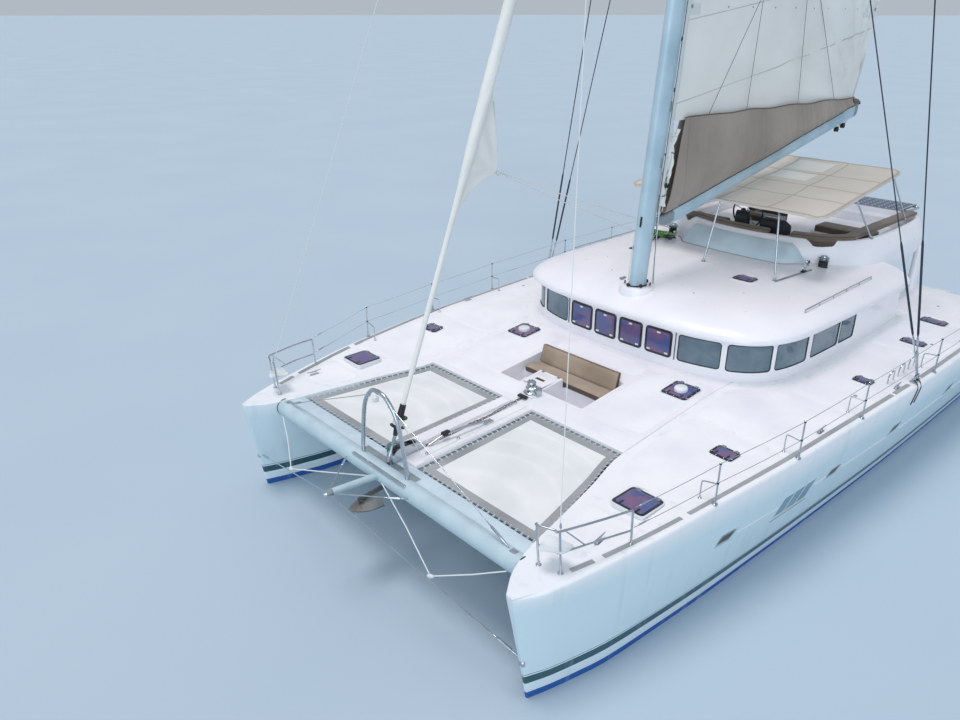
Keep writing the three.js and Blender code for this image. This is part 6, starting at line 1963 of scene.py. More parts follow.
# A spare halyard from the masthead to the starboard pulpit, and a line from the port one that is lashed round the headsail.
lash_at = (11.2 - STAY_FOOT.z) / stay_along.z
lash_turns = [
    STAY_FOOT + stay_along * (lash_at + 0.018 * a / 6.283) + (PORT * math.cos(a) + stay_along.cross(PORT) * math.sin(a)) * (roll_radius(lash_at) * 1.06)
    for a in np.linspace(0, 2 * math.pi * 4, 65)
]
halyards = [
    bar([mix(at(-2.965, 0.27, 2.29), up_mast(-0.06, -0.16, 19.9), t) for t in np.linspace(0, 1, 9)], 0.0065, 6),
    bar([*(mix(at(3.25, 0.34, 2.3), lash_turns[0], t) for t in np.linspace(0, 1, 9)), *lash_turns[1:]], 0.0065, 6),
]
snap = [(0.006, -0.04), (0.014, -0.02), (0.014, 0.02), (0.006, 0.04)]
piece("spare_halyards", {ROPE: halyards, STAINLESS: [turned(snap, at(x, s, 2.34), UP, 10) for x, s in ((-2.965, 0.272), (3.24, 0.36))]})

# Shrouds

CHAINPLATE = at(4.128, 8.08, 2.01)
cap_tip = at(1.899, 7.891, 15.5)


def shroud_parts():
    lower_top, cap_top = up_mast(0.15, 0, 12.25), up_mast(0.15, 0, 16.9)
    low_a, cap_a = CHAINPLATE + AFT * 0.06, CHAINPLATE - AFT * 0.03
    wires, screws = [], []
    for a, b, r in ((low_a, lower_top, 0.0095), (cap_a, cap_tip, 0.0105), (cap_tip, cap_top, 0.009)):
        wires.append(bar([a, b], r, 8))
    for a, b in ((low_a, lower_top), (cap_a, cap_tip)):
        d = (b - a).normalized()
        screws.append(turnbuckle(a, b, 0.05, 0.5, 0.017))
        screws.append(turned([(0.012, 0), (0.02, 0.02), (0.02, 0.1), (0.012, 0.16)], a + d * 0.55, d, 10))
        wires.append(turned([(0.014, 0), (0.019, 0.04), (0.019, 1.5), (0.012, 1.56)], a + d * 0.72, d, 10))
    plate = block(4.128 - 0.014, 4.128 + 0.014, 7.98, 8.18, 1.95, 2.05, 0.008)
    foot = block(4.07, 4.16, 7.96, 8.2, 1.93, 1.962, 0.01)
    for s in (8.05, 8.14):
        screws.append(turned([(0.014, -0.026), (0.02, -0.024), (0.02, 0.024), (0.014, 0.026)], at(4.128, s, 2.02), PORT, 12))
    return wires, [*screws, plate, foot]


shroud_wires, shroud_steel = shroud_parts()
for side, turn in (("port", list), ("starboard", lambda parts: [mirrored(p) for p in parts])):
    piece(f"shroud_wires_{side}", {WIRE: turn(shroud_wires), STAINLESS: turn(shroud_steel)}, stands_for=f"shrouds_{side}")


# Cushions: each is swollen by a cloth simulation from a slightly smaller shape


def stuffed(part, cap=0.02, voxel=0.018, floor=None):
    """The part remeshed evenly, blown up by its filling, held to a cap and rounded off once."""
    start = scratch("pad_start", part)
    even = start.modifiers.new("even", "REMESH")
    even.mode = "VOXEL"
    even.voxel_size = voxel
    points, faces = evaluated(start)
    soft = scratch("pad", (points, faces))
    cloth = soft.modifiers.new("filling", "CLOTH")
    cloth.settings.use_pressure = True
    cloth.settings.uniform_pressure_force = 4
    cloth.settings.effector_weights.gravity = 0
    cloth.point_cache.frame_end = 20
    scene = bpy.context.scene
    for f in range(1, 21):
        scene.frame_set(f)
        graph = bpy.context.evaluated_depsgraph_get()
        swollen = soft.evaluated_get(graph).data
    moved = []
    for v, p in zip(swollen.vertices, points):
        step = v.co - p
        if step.length > cap:
            step = step * (cap / step.length)
        q = p + step
        if floor is not None:
            q.z = max(q.z, floor)
        moved.append(q)
    scene.frame_set(1)
    bpy.data.objects.remove(soft)
    points = moved
    pad = scratch("pad_round", (points, faces))
    pad.modifiers.new("round", "SUBSURF").levels = 1
    return evaluated(pad)


def piping(pad, line, radius=0.006, closed=True):
    """A welt sewn along a line, pulled onto the pad's own surface."""
    skin_ = surface(pad)
    path = [skin_.find_nearest(p)[0] for p in evenly(line, 0.03, closed)]
    return bar(path, radius, 6, closed=closed)


def pad_edges(x0, x1, s0, s1, z, inset=0.006, radius=0.03):
    return [at(p.x, p.y, z) for p in rounded([(x0 + inset, s0 + inset), (x1 - inset, s0 + inset), (x1 - inset, s1 - inset), (x0 + inset, s1 - inset)], radius, 4)]


def cushion(name, pads, node, edges, top=CUSHION, side=CUSHION_EDGE, body="boat", turned_up=UP):
    """A cushion whose faces turned away from up take the darker cloth, as painted shade on its sides, with welts along
    its edges.
    """
    obj = piece(name, {top: pads}, stands_for=node, crease=70, body=body)
    obj.data.materials.append(side)
    # Faces turned away from up take the darker cloth: painted shade on the cushion's sides.
    for face in obj.data.polygons:
        if face.normal.dot(turned_up) < 0.42:
            face.material_index = 1
    piece(f"{name}_welts", {side: edges}, body=body)
    return obj


def pad_block(x0, x1, s0, s1, z0, z1, soft=0.022, inset=0.008):
    return block(x0 + inset, x1 - inset, s0 + inset, s1 - inset, z0 + 0.003, z1 - inset, soft, 3)


seat_pad = stuffed(pad_block(-0.87, 0.87, 3.95, 4.335, 1.703, 1.815), 0.014, floor=1.703)
cushion("bow_seat_pad", [seat_pad], "bow_seat_cushion", [piping(seat_pad, pad_edges(-0.87, 0.87, 3.95, 4.335, z)) for z in (1.8, 1.712)])
LEAN = math.atan(0.26)
back_frame = Matrix.Translation(at(0, 4.352, 1.83)) @ Matrix.Rotation(-LEAN, 4, "X")
back_pads, back_welts = [], []
for x0, x1 in ((-0.868, 0.868),):
    shape = placed(placed(block(x0 + 0.008, x1 - 0.008, 0.004, 0.078, -0.1, 0.285, 0.024, 3), Matrix.Translation((0, MIDSHIP, 0))), back_frame)
    pad = stuffed(shape, 0.01)
    back_pads.append(pad)
    for y in (0.006, 0.074):
        loop = [back_frame @ Vector((p.x, y, p.y)) for p in rounded([(x0 + 0.01, -0.1), (x1 - 0.01, -0.1), (x1 - 0.01, 0.285), (x0 + 0.01, 0.285)], 0.03, 4)]
        back_welts.append(piping(pad, loop))
fore_facing = (back_frame.to_3x3() @ Vector((0, -1, 0.35))).normalized()
cushion("bow_back_pad", back_pads, "bow_back_cushion", back_welts, turned_up=fore_facing)

for name, x0, x1, s0, s1, node, fold in (
    ("fly_pad_port", 0.83, 1.74, 9.505, 9.955, "fly_cushion_port", (1.28,)),
    ("fly_pad_starboard", -1.70, -0.63, 9.505, 9.955, "fly_cushion_starboard", (-1.17,)),
    ("fly_pad_aft", 0.81, 1.98, 10.665, 11.155, "fly_cushion_aft", (1.4,)),
):
    corner = 0.3 if "aft" not in name else 0.06
    out = x1 if x1 > 0 else x0
    inn = x0 if x1 > 0 else x1
    if "aft" in name:
        plan = rounded([(x0, s0), (x1, s0), (x1, s1), (x0, s1)], 0.05, 4)
    else:
        sign = 1 if x1 > 0 else -1
        plan = rounded([(inn, s0), (out - sign * 0.27, s0), (out - sign * 0.02, s0 + 0.22), (out, s1), (inn, s1)], 0.04, 4)
    if (plan[1] - plan[0]).cross(plan[2] - plan[1]) < 0:
        plan = plan[::-1]
    centre = sum(plan, Vector((0, 0))) / len(plan)
    small = [centre + (p - centre) * 0.985 for p in plan]
    pad = stuffed(slab(small, LEDGE + 0.003, LEDGE + 0.122, 0.02, 3), 0.012, floor=LEDGE + 0.003)
    welts = [piping(pad, [at(p.x, p.y, z) for p in small]) for z in (LEDGE + 0.11, LEDGE + 0.014)]
    for x in fold:
        welts.append(piping(pad, [at(x, s, LEDGE + 0.14) for s in np.linspace(s0 + 0.02, s1 - 0.02, 12)], 0.004, closed=False))
    cushion(name, [pad], node, welts, top=CUSHION_FLY)



def bolster_plan(x_from, x_to, outer, inner):
    """The plan of a bolster that lies along the coaming's crest."""
    run = [p for p in evenly(plan_line(FLY_HALF, 5), 0.05) if min(abs(x_from), abs(x_to)) <= p.x <= max(abs(x_from), abs(x_to))]
    if x_from < 0 < x_to:
        half = evenly(plan_line(FLY_HALF, 5), 0.05)
        run = [Vector((-p.x, p.y)) for p in reversed(half) if 0 < p.x <= -x_from] + [p for p in half if p.x <= x_to]
    return offset_line(run, outer) + offset_line(run, inner)[::-1]


for name, x_from, x_to, outer, inner in (("fly_bolster_front", -1.5, 0.56, 0.155, 0.345), ("fly_bolster_port", 0.96, 2.1, 0.155, 0.4)):
    plan = [Vector((p.x, p.y)) for p in rounded([(p.x, p.y) for p in bolster_plan(x_from, x_to, outer, inner)], 0.02, 2)]
    pad = stuffed(slab(plan, 3.506, 3.572, 0.02, 3), 0.008, floor=3.506)
    obj = piece(name, {CUSHION_FLY: [pad]}, crease=70)
    piece(f"{name}_welts", {CUSHION_EDGE: [piping(pad, [at(p.x, p.y, 3.562) for p in plan])]})

# Helm

SEAT_Z = 3.44
pad = stuffed(pad_block(-0.64, 0.29, 10.305, 10.555, SEAT_Z, 3.558, 0.02), 0.012, floor=SEAT_Z + 0.002)
seat_back = stuffed(block(-0.63, 0.28, 10.566, 10.612, 3.58, 3.842, 0.02, 3), 0.01)
helm_pad = cushion("helm_seat_pad", [pad, seat_back], "helm_seat", [
    piping(pad, pad_edges(-0.64, 0.29, 10.305, 10.555, 3.55)), piping(pad, pad_edges(-0.64, 0.29, 10.305, 10.555, SEAT_Z + 0.01)),
    piping(seat_back, [at(p.x, 10.57, p.y) for p in rounded([(-0.63, 3.58), (0.28, 3.58), (0.28, 3.842), (-0.63, 3.842)], 0.03, 4)]),
], top=CUSHION_FLY)
piece("helm_seat_base", {
    GELCOAT: [block(-0.65, 0.3, 10.31, 10.6, 3.203, SEAT_Z, 0.03, 4), block(-0.6, 0.25, 10.606, 10.62, 3.2, 3.8, 0.006)],
    STAINLESS: both() + [tube([at(x, 10.6, 3.42), at(x, 10.612, 3.6), at(x, 10.606, 3.8)], 0.012, 8) for x in (-0.6, 0.25)],
    BLACK: [block(-0.3, -0.05, 10.304, 10.312, 3.3, 3.33, 0.004)],
})


def helm_console():
    body = skin([[at(x, s, z) for s, z in rounded([(9.575, 3.205), (9.565, 3.6), (9.6, 3.7), (9.66, 3.718), (9.86, 3.6), (9.878, 3.52), (9.87, 3.205)], 0.03, 4)]
                 for x in (0.214, 0.222, 0.728, 0.736)])
    cheek = skin([[at(x, s, z) for s, z in rounded([(9.53, 3.205), (9.525, 3.72), (9.56, 3.792), (9.62, 3.79), (9.69, 3.66), (9.695, 3.205)], 0.04, 4)]
                  for x in (-0.326, -0.316, -0.084, -0.074)])
    link = block(-0.1, 0.3, 9.56, 9.68, 3.203, 3.42, 0.02)
    slope = Matrix.Translation(at(0.475, 9.762, 3.667)) @ Matrix.Rotation(-math.atan2(0.118, 0.2), 4, "X")
    lay = lambda p: placed(placed(p, Matrix.Translation((0, MIDSHIP, 0))), slope)
    screens = [lay(block(-0.2, 0.02, -0.085, 0.075, -0.006, 0.004, 0.003)), lay(block(0.06, 0.14, -0.085, -0.005, -0.006, 0.004, 0.003)), lay(block(0.155, 0.235, -0.085, -0.005, -0.006, 0.004, 0.003))]
    bezels = [lay(block(-0.215, 0.035, -0.1, 0.09, -0.008, 0.001, 0.004)), lay(block(0.05, 0.245, -0.1, 0.09, -0.008, 0.001, 0.004))]
    switches = [placed(turned([(0.011, -0.002), (0.011, 0.004), (0.007, 0.01)], Vector((0.07 + 0.03 * k, 0.045, 0)), UP, 10), slope) for k in range(6)]
    levers = [bar([at(x, 9.72, 3.68), at(x, 9.70, 3.77), at(x, 9.705, 3.80)], [0.006, 0.006, 0.012], 8) for x in (0.62, 0.66)]
    grab = tube([at(0.25, 9.66, 3.7), at(0.25, 9.62, 3.76), at(0.5, 9.61, 3.77), at(0.7, 9.62, 3.76), at(0.7, 9.66, 3.7)], 0.011, 8)
    compass = turned([(0.055, 0), (0.055, 0.02), (0.045, 0.045), (0.02, 0.06), (0.004, 0.062)], at(-0.2, 9.6, 3.785), UP, 20)
    return {BLACK: [body, cheek, link, *bezels, compass], CELL: screens, GREY_TRIM: switches, STAINLESS: [*levers, grab]}


piece("helm_console_parts", helm_console(), stands_for="helm_console")


def wheel_parts():
    centre = at(-0.2, 9.79, 3.74)
    place_ = lambda a, r, y=0.0: centre + Vector((r * math.sin(a), y, r * math.cos(a)))
    rim = bar([place_(a, 0.33) for a in np.linspace(0, 2 * math.pi, 65)[:-1]], 0.015, 10, closed=True)
    spokes = [bar([place_(a, 0.03, -0.02), place_(a, 0.18, -0.012), place_(a, 0.325)], [0.012, 0.008, 0.007], 8) for a in np.linspace(0, 2 * math.pi, 6)[:-1]]
    hub = turned([(0.02, -0.083), (0.03, -0.08), (0.03, -0.05), (0.042, -0.03), (0.042, 0.005), (0.02, 0.018), (0.01, 0.02)], centre, AFT, 20)
    wraps = []
    for k in range(10):
        a0 = 2 * math.pi * k / 10
        wraps.append(bar([place_(a0 + b, 0.33) for b in np.linspace(0, 0.5, 9)], 0.0165, 10))
    return {STAINLESS: [*spokes, hub], BLACK: [rim, *wraps]}


piece("wheel_rim", wheel_parts(), body="wheel", stands_for="steering_wheel")

# Roof fittings


def winch_parts(x, s, low, scale=1.0):
    p = at(x, s, low)
    drum = turned([(r * scale, h * scale) for r, h in ((0.092, 0), (0.094, 0.018), (0.08, 0.03), (0.066, 0.05), (0.058, 0.085), (0.06, 0.12), (0.068, 0.14), (0.074, 0.146), (0.06, 0.15))], p, UP, 32)
    top = turned([(r * scale, h * scale) for r, h in ((0.06, 0.149), (0.078, 0.152), (0.078, 0.158), (0.058, 0.164), (0.058, 0.17), (0.078, 0.176), (0.078, 0.183), (0.05, 0.192), (0.046, 0.207), (0.02, 0.21), (0.014, 0.2))], p, UP, 32)
    ribs = [bar([p + Vector((0.062 * scale * math.cos(a), 0.062 * scale * math.sin(a), 0.05 * scale)), p + Vector((0.06 * scale * math.cos(a), 0.06 * scale * math.sin(a), 0.12 * scale))], 0.004 * scale, 5) for a in np.linspace(0, 2 * math.pi, 17)[:-1]]
    arm = bar([p + Vector((0.05, -0.03, 0.165)) * scale, p + Vector((0.085, -0.045, 0.17)) * scale, p + Vector((0.095, -0.04, 0.14)) * scale], 0.007 * scale, 6)
    return [drum, *ribs], [top, arm]


def roof_parts():
    steel, black, track_, grey = [], [], [], []
    black_, steel_ = winch_parts(1.7, 9.4, 3.016, 1.3)
    black += both(*black_)
    steel += both(*steel_)
    rail = [at(x, s, roof_z(x, s) + 0.012) for x, s in (mix(Vector((1.57, 7.84)), Vector((1.67, 9.0)), t) for t in np.linspace(0, 1, 12))]
    track_ += both(bar(rail, 0.016, 8, flat=(0.018, 0.012)))
    mid = at(1.648, 8.74, roof_z(1.648, 8.74))
    black += both(skin([[mid + Vector((x, y, z)) for x, y in ((-0.03, -0.06), (0.03, -0.06), (0.03, 0.06), (-0.03, 0.06))] for z in (0.016, 0.045)]))
    for dz, r in ((0.085, 0.038),):
        steel += both(turned([(0.016, -0.02), (r, -0.018), (r * 0.8, 0), (r, 0.018), (0.016, 0.02)], mid + UP * dz, PORT, 18))
    block_at = at(1.5, 9.2, roof_z(1.5, 9.2))
    steel += both(turned([(0.03, 0), (0.03, 0.012), (0.012, 0.02), (0.012, 0.05)], block_at, UP, 14), turned([(0.014, -0.022), (0.042, -0.019), (0.034, 0), (0.042, 0.019), (0.014, 0.022)], block_at + UP * 0.07, PORT, 18))
    marks = [mix(Vector((2.535, 7.1)), Vector((2.52, 9.66)), t) for t in np.linspace(0, 1, 31)]
    hand = [at(p.x, p.y, roof_z(p.x, p.y) + 0.045) for p in marks]
    steel += both(bar([hand[0] - UP * 0.05, *hand, hand[-1] - UP * 0.05], 0.012, 8))
    for k in (6, 12, 18, 24):
        steel += both(straight(hand[k] - UP * 0.05, hand[k], 0.01, 8))
    for x, s in ((0.9, 6.3), (-0.9, 6.3), (1.5, 6.9), (-1.5, 6.9)):
        base = at(x, s, roof_z(x, s))
        steel.append(turned([(0.016, -0.002), (0.016, 0.004), (0.01, 0.01), (0.004, 0.011)], base, UP, 12))
    coach = block(-0.5, -0.44, 6.02, 6.16, roof_z(-0.47, 6.1) - 0.003, roof_z(-0.47, 6.1) + 0.03, 0.01)
    grey.append(coach)
    return {STAINLESS: steel, BLACK: black, ALLOY: track_, GREY_TRIM: grey}


piece("roof_fittings", roof_parts(), stands_for=("winch_port", "winch_starboard"))
roof_hatches = {}
for x, s in ((1.15, 7.54), (-1.33, 7.73)):
    where = on_deck(x, s, 0.0, roof_skin)
    for made_of, group in hatch_parts(0.42, 0.32).items():
        roof_hatches.setdefault(made_of, []).extend(placed(p, where) for p in group)
piece("roof_skylights", roof_hatches)


def coaming_fairing():
    """The ramp up to the flybridge's front, white gelcoat coloured blue-grey as painted shade, with its raised lip."""
    rings, lips = [], []
    for x in np.linspace(-1.42, 1.42, 41):
        edge = smoothstep(abs(x), 1.05, 1.42)
        front = 8.83 + 0.1 * (x / 1.4) ** 2 + 0.28 * edge
        back = 9.2 + 0.16 * (abs(x) / 1.5) ** 2.4 + 0.04
        low, top = roof_z(x, front) - 0.01, mix(3.42, 3.1, edge)
        pts = [(front, low), (front + 0.015, low + 0.03), (mix(front, back, 0.35), mix(low, top, 0.42)), (mix(front, back, 0.75), mix(low, top, 0.85)), (back - 0.02, top), (back + 0.03, top - 0.01), (back + 0.03, low - 0.02)]
        rings.append([at(x, s, z) for s, z in pts])
        lips.append(at(x, front - 0.004, low + 0.014))
    return skin(rings), bar(lips, 0.012, 6)


ramp, ramp_lip = coaming_fairing()
piece("flybridge_front_ramp", {GELCOAT_SHADE_PAINTED: [ramp], GREY_TRIM: [ramp_lip]}, crease=40)

# Bimini

BIMINI_FRONT, BIMINI_AFT, BIMINI_HALF = 8.2, 11.4, 2.07
bimini_slope = math.atan2(0.42, 3.2)
HOOPS = (8.33, 9.7, 11.27)


def bimini_plane(s):
    return mix(4.28, 4.70, (s - BIMINI_FRONT) / (BIMINI_AFT - BIMINI_FRONT))


def under_bimini(s):
    return bimini_plane(s) - 0.05 - 0.017 / math.cos(bimini_slope)


def canopy_point(u, v, lift=0.0):
    """A place on the cloth: it lies on the hoops and sinks a little between them and towards its edges."""
    s = mix(BIMINI_FRONT, BIMINI_AFT, v)
    cut = 0.14 * max(0, 1 - min(s - BIMINI_FRONT, BIMINI_AFT - s) / 0.14)
    x = u * (BIMINI_HALF - cut * 1.0)
    gaps = [(s - a) / (b - a) for a, b in zip(HOOPS, HOOPS[1:]) if a <= s <= b]
    sink = 0.022 * 4 * gaps[0] * (1 - gaps[0]) if gaps else 0.0
    ripple = 0.004 * math.sin(s * 9 + x * 2.0) * math.cos(x * 5) + 0.003 * math.sin(x * 11 + s)
    return at(x, s, bimini_plane(s) - 0.008 - sink * (1 - 0.4 * u * u) + ripple - 0.03 * max(0, abs(u) - 0.9) / 0.1 * 0.5 + lift)


def canopy():
    us = list(np.linspace(-1, 1, 61))
    rows = []
    for v in np.linspace(0, 1, 61):
        over = [canopy_point(u, v) for u in us]
        hem_l, hem_r = over[0] + Vector((-0.004, 0, -0.04)), over[-1] + Vector((0.004, 0, -0.04))
        line = [hem_l, *over, hem_r]
        rows.append(line)
    first = [p + Vector((0, -0.004, -0.038)) for p in rows[0]]
    last = [p + Vector((0, 0.004, -0.038)) for p in rows[-1]]
    rows = [first, *rows, last]
    under = [[p + Vector((0, 0, -0.004)) for p in row] for row in rows]
    return skin([top + low[::-1] for top, low in zip(rows, under)])


def canopy_trim():
    strips, patches, sleeves, zips = [], [], [], []
    for u in (-0.5, 0.0, 0.5):
        strips.append(band([canopy_point(u - 0.006, v, 0.0005) for v in np.linspace(0.005, 0.995, 50)], [canopy_point(u + 0.006, v, 0.0005) for v in np.linspace(0.005, 0.995, 50)], 0.0025))
    for v in (0.28, 0.47, 0.72):
        strips.append(band([canopy_point(u, v - 0.0045, 0.0005) for u in np.linspace(-0.99, 0.99, 60)], [canopy_point(u, v + 0.0045, 0.0005) for u in np.linspace(-0.99, 0.99, 60)], 0.0025))
    edge_l = [canopy_point(u, v, 0.001) for u, v in [(-1, t) for t in np.linspace(0.005, 0.995, 50)]]
    edge_in = [canopy_point(-0.975, t, 0.001) for t in np.linspace(0.005, 0.995, 50)]
    strips.append(band(edge_l, edge_in, 0.003))
    strips.append(band([canopy_point(0.975, t, 0.001) for t in np.linspace(0.005, 0.995, 50)], [canopy_point(1, t, 0.001) for t in np.linspace(0.005, 0.995, 50)], 0.003))
    for a, b in ((0.002, 0.016), (0.984, 0.998)):
        strips.append(band([canopy_point(u, a, 0.001) for u in np.linspace(-1, 1, 60)], [canopy_point(u, b, 0.001) for u in np.linspace(-1, 1, 60)], 0.003))
    for u0, u1, v0, v1 in ((0.02, 0.4, 0.55, 0.71), (0.02, 0.4, 0.76, 0.94)):
        rows = [[canopy_point(u, v, 0.001) for u in np.linspace(u0, u1, 12)] for v in np.linspace(v0, v1, 12)]
        patches.append(skin([top + [p + UP * 0.003 for p in reversed(top)] for top in rows]))
        zips.append(bar([canopy_point(u0, v, 0.004) for v in np.linspace(v0, v1, 8)], 0.004, 5))
    for s in HOOPS:
        z = under_bimini(s)
        sleeves.append(straight(at(-1.9, s, z), at(1.9, s, z), 0.0195, 12))
        sleeves.append(skin([[at(x, s + y, h) for y, h in ((-0.004, z + 0.015), (0.004, z + 0.015), (0.004, bimini_plane(s) - 0.02), (-0.004, bimini_plane(s) - 0.02))] for x in np.linspace(-1.88, 1.88, 8)]))
    return {CANVAS_SEAM: [*strips, *sleeves], PATCH: patches, GREY_TRIM: zips}


def bimini_tubes():
    tubes, joints_, feet = [], [], []
    for s in HOOPS:
        z = under_bimini(s)
        tubes.append(straight(at(-1.95, s, z), at(1.95, s, z), 0.016, 12))
    for side in (-1, 1):
        tubes.append(straight(at(side * 1.93, 8.33, under_bimini(8.33)), at(side * 1.93, 11.27, under_bimini(11.27)), 0.016, 12))
        for s in HOOPS:
            joints_.append(turned([(0.024, -0.03), (0.026, 0), (0.024, 0.03)], at(side * 1.93, s, under_bimini(s)), PORT, 14))
    for (fx, fs), (x, s) in (((0, 7.98), (0, 8.33)), ((1.53, 7.9), (1.2, 8.33)), ((-1.53, 7.9), (-1.2, 8.33))):
        foot = at(fx, fs, roof_z(fx, fs))
        tubes.append(straight(foot, at(x, s, under_bimini(s)), 0.018, 12))
        feet += [foot_flange(foot, 0.045), turned([(0.024, -0.02), (0.026, 0), (0.024, 0.02)], at(x, s, under_bimini(s) + 0.0), PORT, 12)]
    for (fx, fs), (x, s) in (((2.06, 10.5), (1.93, 9.7)), ((1.98, 12.5), (1.93, 11.27))):
        foot = fly_surface.ray_cast(at(fx, fs, 4.0), Vector((0, 0, -1)))[0]
        tubes += both(straight(foot, at(x, s, under_bimini(s)), 0.016, 12))
        feet += both(foot_flange(foot, 0.042))
    return {STAINLESS: [*tubes, *joints_, *feet]}


fly_surface = surface(FLY)
bimini_piece = piece("bimini_cloth", {CANVAS: [canopy()]}, stands_for="bimini", crease=50)
bimini_trim = piece("bimini_trim", canopy_trim(), crease=40)
frame_piece = piece("bimini_tubes", bimini_tubes(), stands_for="bimini_frame")

# After end: bulkhead, door, cockpit and the frame over the stern


def bulkhead():
    half = [(2.138, 1.352), (2.138, 1.974), (2.636, 1.974), (2.636, 2.636), (2.494, 2.834), (1.996, 2.924), (1.396, 2.962)]
    outline = half + [(-x, z) for x, z in reversed(half)]
    wall = skin([[at(x, s, z) for x, z in outline] for s in (10.69, 10.75)])
    wall = carved(wall, block(-0.85, 0.45, 10.6, 10.9, 1.3, 2.65, 0.03, 3))
    frames, panes = [], []
    for x0, x1 in ((-1.95, -1.08), (0.68, 1.35), (1.45, 2.0)):
        loop = rounded([(x0, 2.0), (x1, 2.0), (x1, 2.62), (x0, 2.62)], 0.07, 5)
        panes.append(skin([[at(p.x, s, p.y) for p in loop] for s in (10.748, 10.752)]))
        frames.append(bar([at(p.x, 10.7495, p.y) for p in loop], 0.005, 6, closed=True))
    trim = [tube([at(-0.85, 10.752, 1.37), at(-0.85, 10.752, 2.0), at(-0.85, 10.752, 2.64)], 0.0035, 6)]
    track_ = block(-0.95, 1.86, 10.752, 10.797, 2.716, 2.74, 0.004)
    speaker = [turned([(0.05, 0), (0.055, 0.006), (0.045, 0.01), (0.01, 0.008)], at(x, 10.749, 2.83), AFT, 24) for x in (-1.3, 1.3)]
    return {GELCOAT: [wall], RUBBER: [*frames, *trim], HATCH_GREY: panes, ALLOY: [track_], BLACK: speaker}


piece("saloon_aft_wall", bulkhead(), stands_for="saloon_bulkhead", crease=30)


def door():
    panes, frames, handles = [], [], []
    for x0, x1 in ((-0.905, -0.2), (-0.2, 0.505)):
        loop = rounded([(x0 + 0.055, 1.45), (x1 - 0.055, 1.45), (x1 - 0.055, 2.64), (x0 + 0.055, 2.64)], 0.04, 4)
        panes.append(skin([[at(p.x, s, p.y) for p in loop] for s in (10.765, 10.782)]))
        outer = block(x0 + 0.001, x1 - 0.001, 10.757, 10.789, 1.352, 2.708, 0.008)
        inner = skin([[at(p.x, s, p.y) for p in [mix(Vector(((x0 + x1) / 2, 2.045)), q, 0.99) for q in loop]] for s in (10.7, 10.85)])
        frames.append(carved(outer, inner))
    handles.append(tube([at(-0.86, 10.79, 1.95), at(-0.86, 10.8, 1.97), at(-0.86, 10.8, 2.13), at(-0.86, 10.79, 2.15)], 0.008, 8))
    return {WINDOW: panes, ALLOY: frames, BLACK: handles}


piece("saloon_sliding_door", door(), body="saloon_door", stands_for="saloon_door", crease=30)


def cockpit_bench():
    base = side_profile(rounded([(12.852, 1.353), (12.862, 1.74), (12.88, 1.778), (13.325, 1.778), (13.345, 2.06), (13.375, 2.08), (13.43, 2.08), (13.448, 2.05), (13.448, 1.353)], 0.02, 3), -1.5, 1.5)
    lids = [slab(rounded([(x - 0.45, 12.91), (x + 0.45, 12.91), (x + 0.45, 13.28), (x - 0.45, 13.28)], 0.05, 4), 1.776, 1.786, 0.004) for x in (-0.98, 0, 0.98)]
    catches = [block(x - 0.03, x + 0.03, 12.925, 12.95, 1.784, 1.79, 0.002) for x in (-0.98, 0, 0.98)]
    return {GELCOAT: [base], NONSKID: lids, STAINLESS: catches}


piece("cockpit_bench_moulding", cockpit_bench(), stands_for="cockpit_bench", crease=30)
leaf = slab(rounded([(0.302, 11.502), (1.698, 11.502), (1.698, 12.398), (0.302, 12.398)], 0.09, 5), 1.984, 2.018, 0.008)
piece("cockpit_table_parts", {
    TEAK: [leaf], GELCOAT: [turned([(0.1, 0), (0.09, 0.02), (0.06, 0.05), (0.05, 0.3), (0.06, 0.58), (0.095, 0.628)], at(1.0, 11.95, 1.355), UP, 28)],
    ALLOY: [block(0.6, 1.4, 11.93, 11.97, 1.966, 1.985, 0.004), block(0.98, 1.02, 11.7, 12.2, 1.966, 1.985, 0.004)],
}, stands_for="cockpit_table", crease=30)


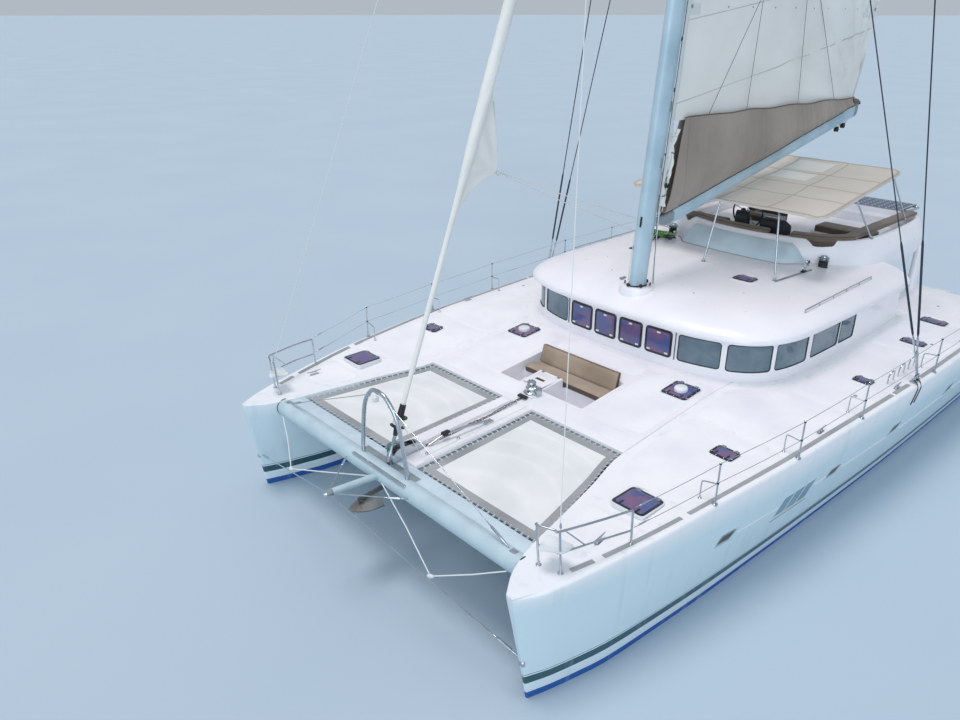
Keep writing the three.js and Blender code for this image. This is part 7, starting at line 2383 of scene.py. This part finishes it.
def stern_tubes():
    line = [(13.48, 1.1), (13.56, 1.9), (13.7, 2.9), (14.05, 3.25), (15.0, 3.265)]
    sides = both(tube([at(1.3, s, z) for s, z in line], 0.03, 14, 6))
    braces = both(straight(at(1.3, 13.6, 2.2), at(1.3, 14.35, 3.24), 0.018, 10), straight(at(1.3, 13.66, 2.62), at(0.7, 14.2, 3.27), 0.016, 10))
    across = [straight(at(-1.3, s, 3.285), at(1.3, s, 3.285), 0.022, 12) for s in (14.2, 14.95)]
    across.append(straight(at(-1.3, 13.62, 2.3), at(1.3, 13.62, 2.3), 0.018, 12))
    falls = [straight(at(x, 14.9, 3.23), at(x, 14.9, 3.14), 0.012, 8) for x in (-0.9, 0.9)]
    clips = [block(x - 0.03, x + 0.03, s - 0.03, s + 0.03, 3.296, 3.318, 0.004) for x in (-1.1, 0, 1.1) for s in (14.2, 14.95)]
    wheels = [turned([(0.02, -0.012), (0.035, -0.01), (0.028, 0), (0.035, 0.01), (0.02, 0.012)], at(x, 14.9, 3.11), PORT, 14) for x in (-0.9, 0.9)]
    return {STAINLESS: [*sides, *braces, *across, *falls], ALLOY: clips, BLACK: wheels}


def solar_parts():
    base = block(-1.25, 1.25, 13.98, 15.0, 3.31, 3.338, 0.006)
    rim = carved(block(-1.25, 1.25, 13.98, 15.0, 3.312, 3.3445, 0.004), block(-1.215, 1.215, 14.015, 14.965, 3.33, 3.4, 0))
    cells = []
    for i in range(15):
        for j in range(6):
            x0, s0 = -1.205 + i * 0.1607, 14.025 + j * 0.155
            cells.append(slab([(x0 + 0.018, s0), (x0 + 0.136, s0), (x0 + 0.154, s0 + 0.018), (x0 + 0.154, s0 + 0.13), (x0 + 0.136, s0 + 0.148), (x0 + 0.018, s0 + 0.148), (x0, s0 + 0.13), (x0, s0 + 0.018)], 3.337, 3.3395))
    bars = [block(-1.205 + i * 0.1607 + d, -1.205 + i * 0.1607 + d + 0.004, 14.02, 14.955, 3.3385, 3.3405, 0) for i in range(15) for d in (0.045, 0.105)]
    return {WHITE_TRIM: [base], ALLOY: [rim, *bars], CELL: cells}


piece("stern_frame_tubes", stern_tubes(), stands_for="stern_frame")
piece("solar_panel_parts", solar_parts(), stands_for="solar_panel", crease=30)


KEPT_FINISHES = {
    "saloon_furniture": TEAK,
    **{f"keel_{side}": BOTTOM for side in ("port", "starboard")},
    **{f"rudder_{side}": BOTTOM for side in ("port", "starboard")},
    **{f"drive_leg_{side}": ALLOY for side in ("port", "starboard")},
    **{f"propeller_{side}": BRONZE for side in ("port", "starboard")},
}


# Close

# The CAD nodes that keep their own mesh take finishes here.
for node, finishes in KEPT_FINISHES.items():
    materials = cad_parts[node].data.materials
    for i in range(max(1, len(materials))):
        if materials:
            materials[i] = finishes
        else:
            materials.append(finishes)

set_camera()
set_stage()
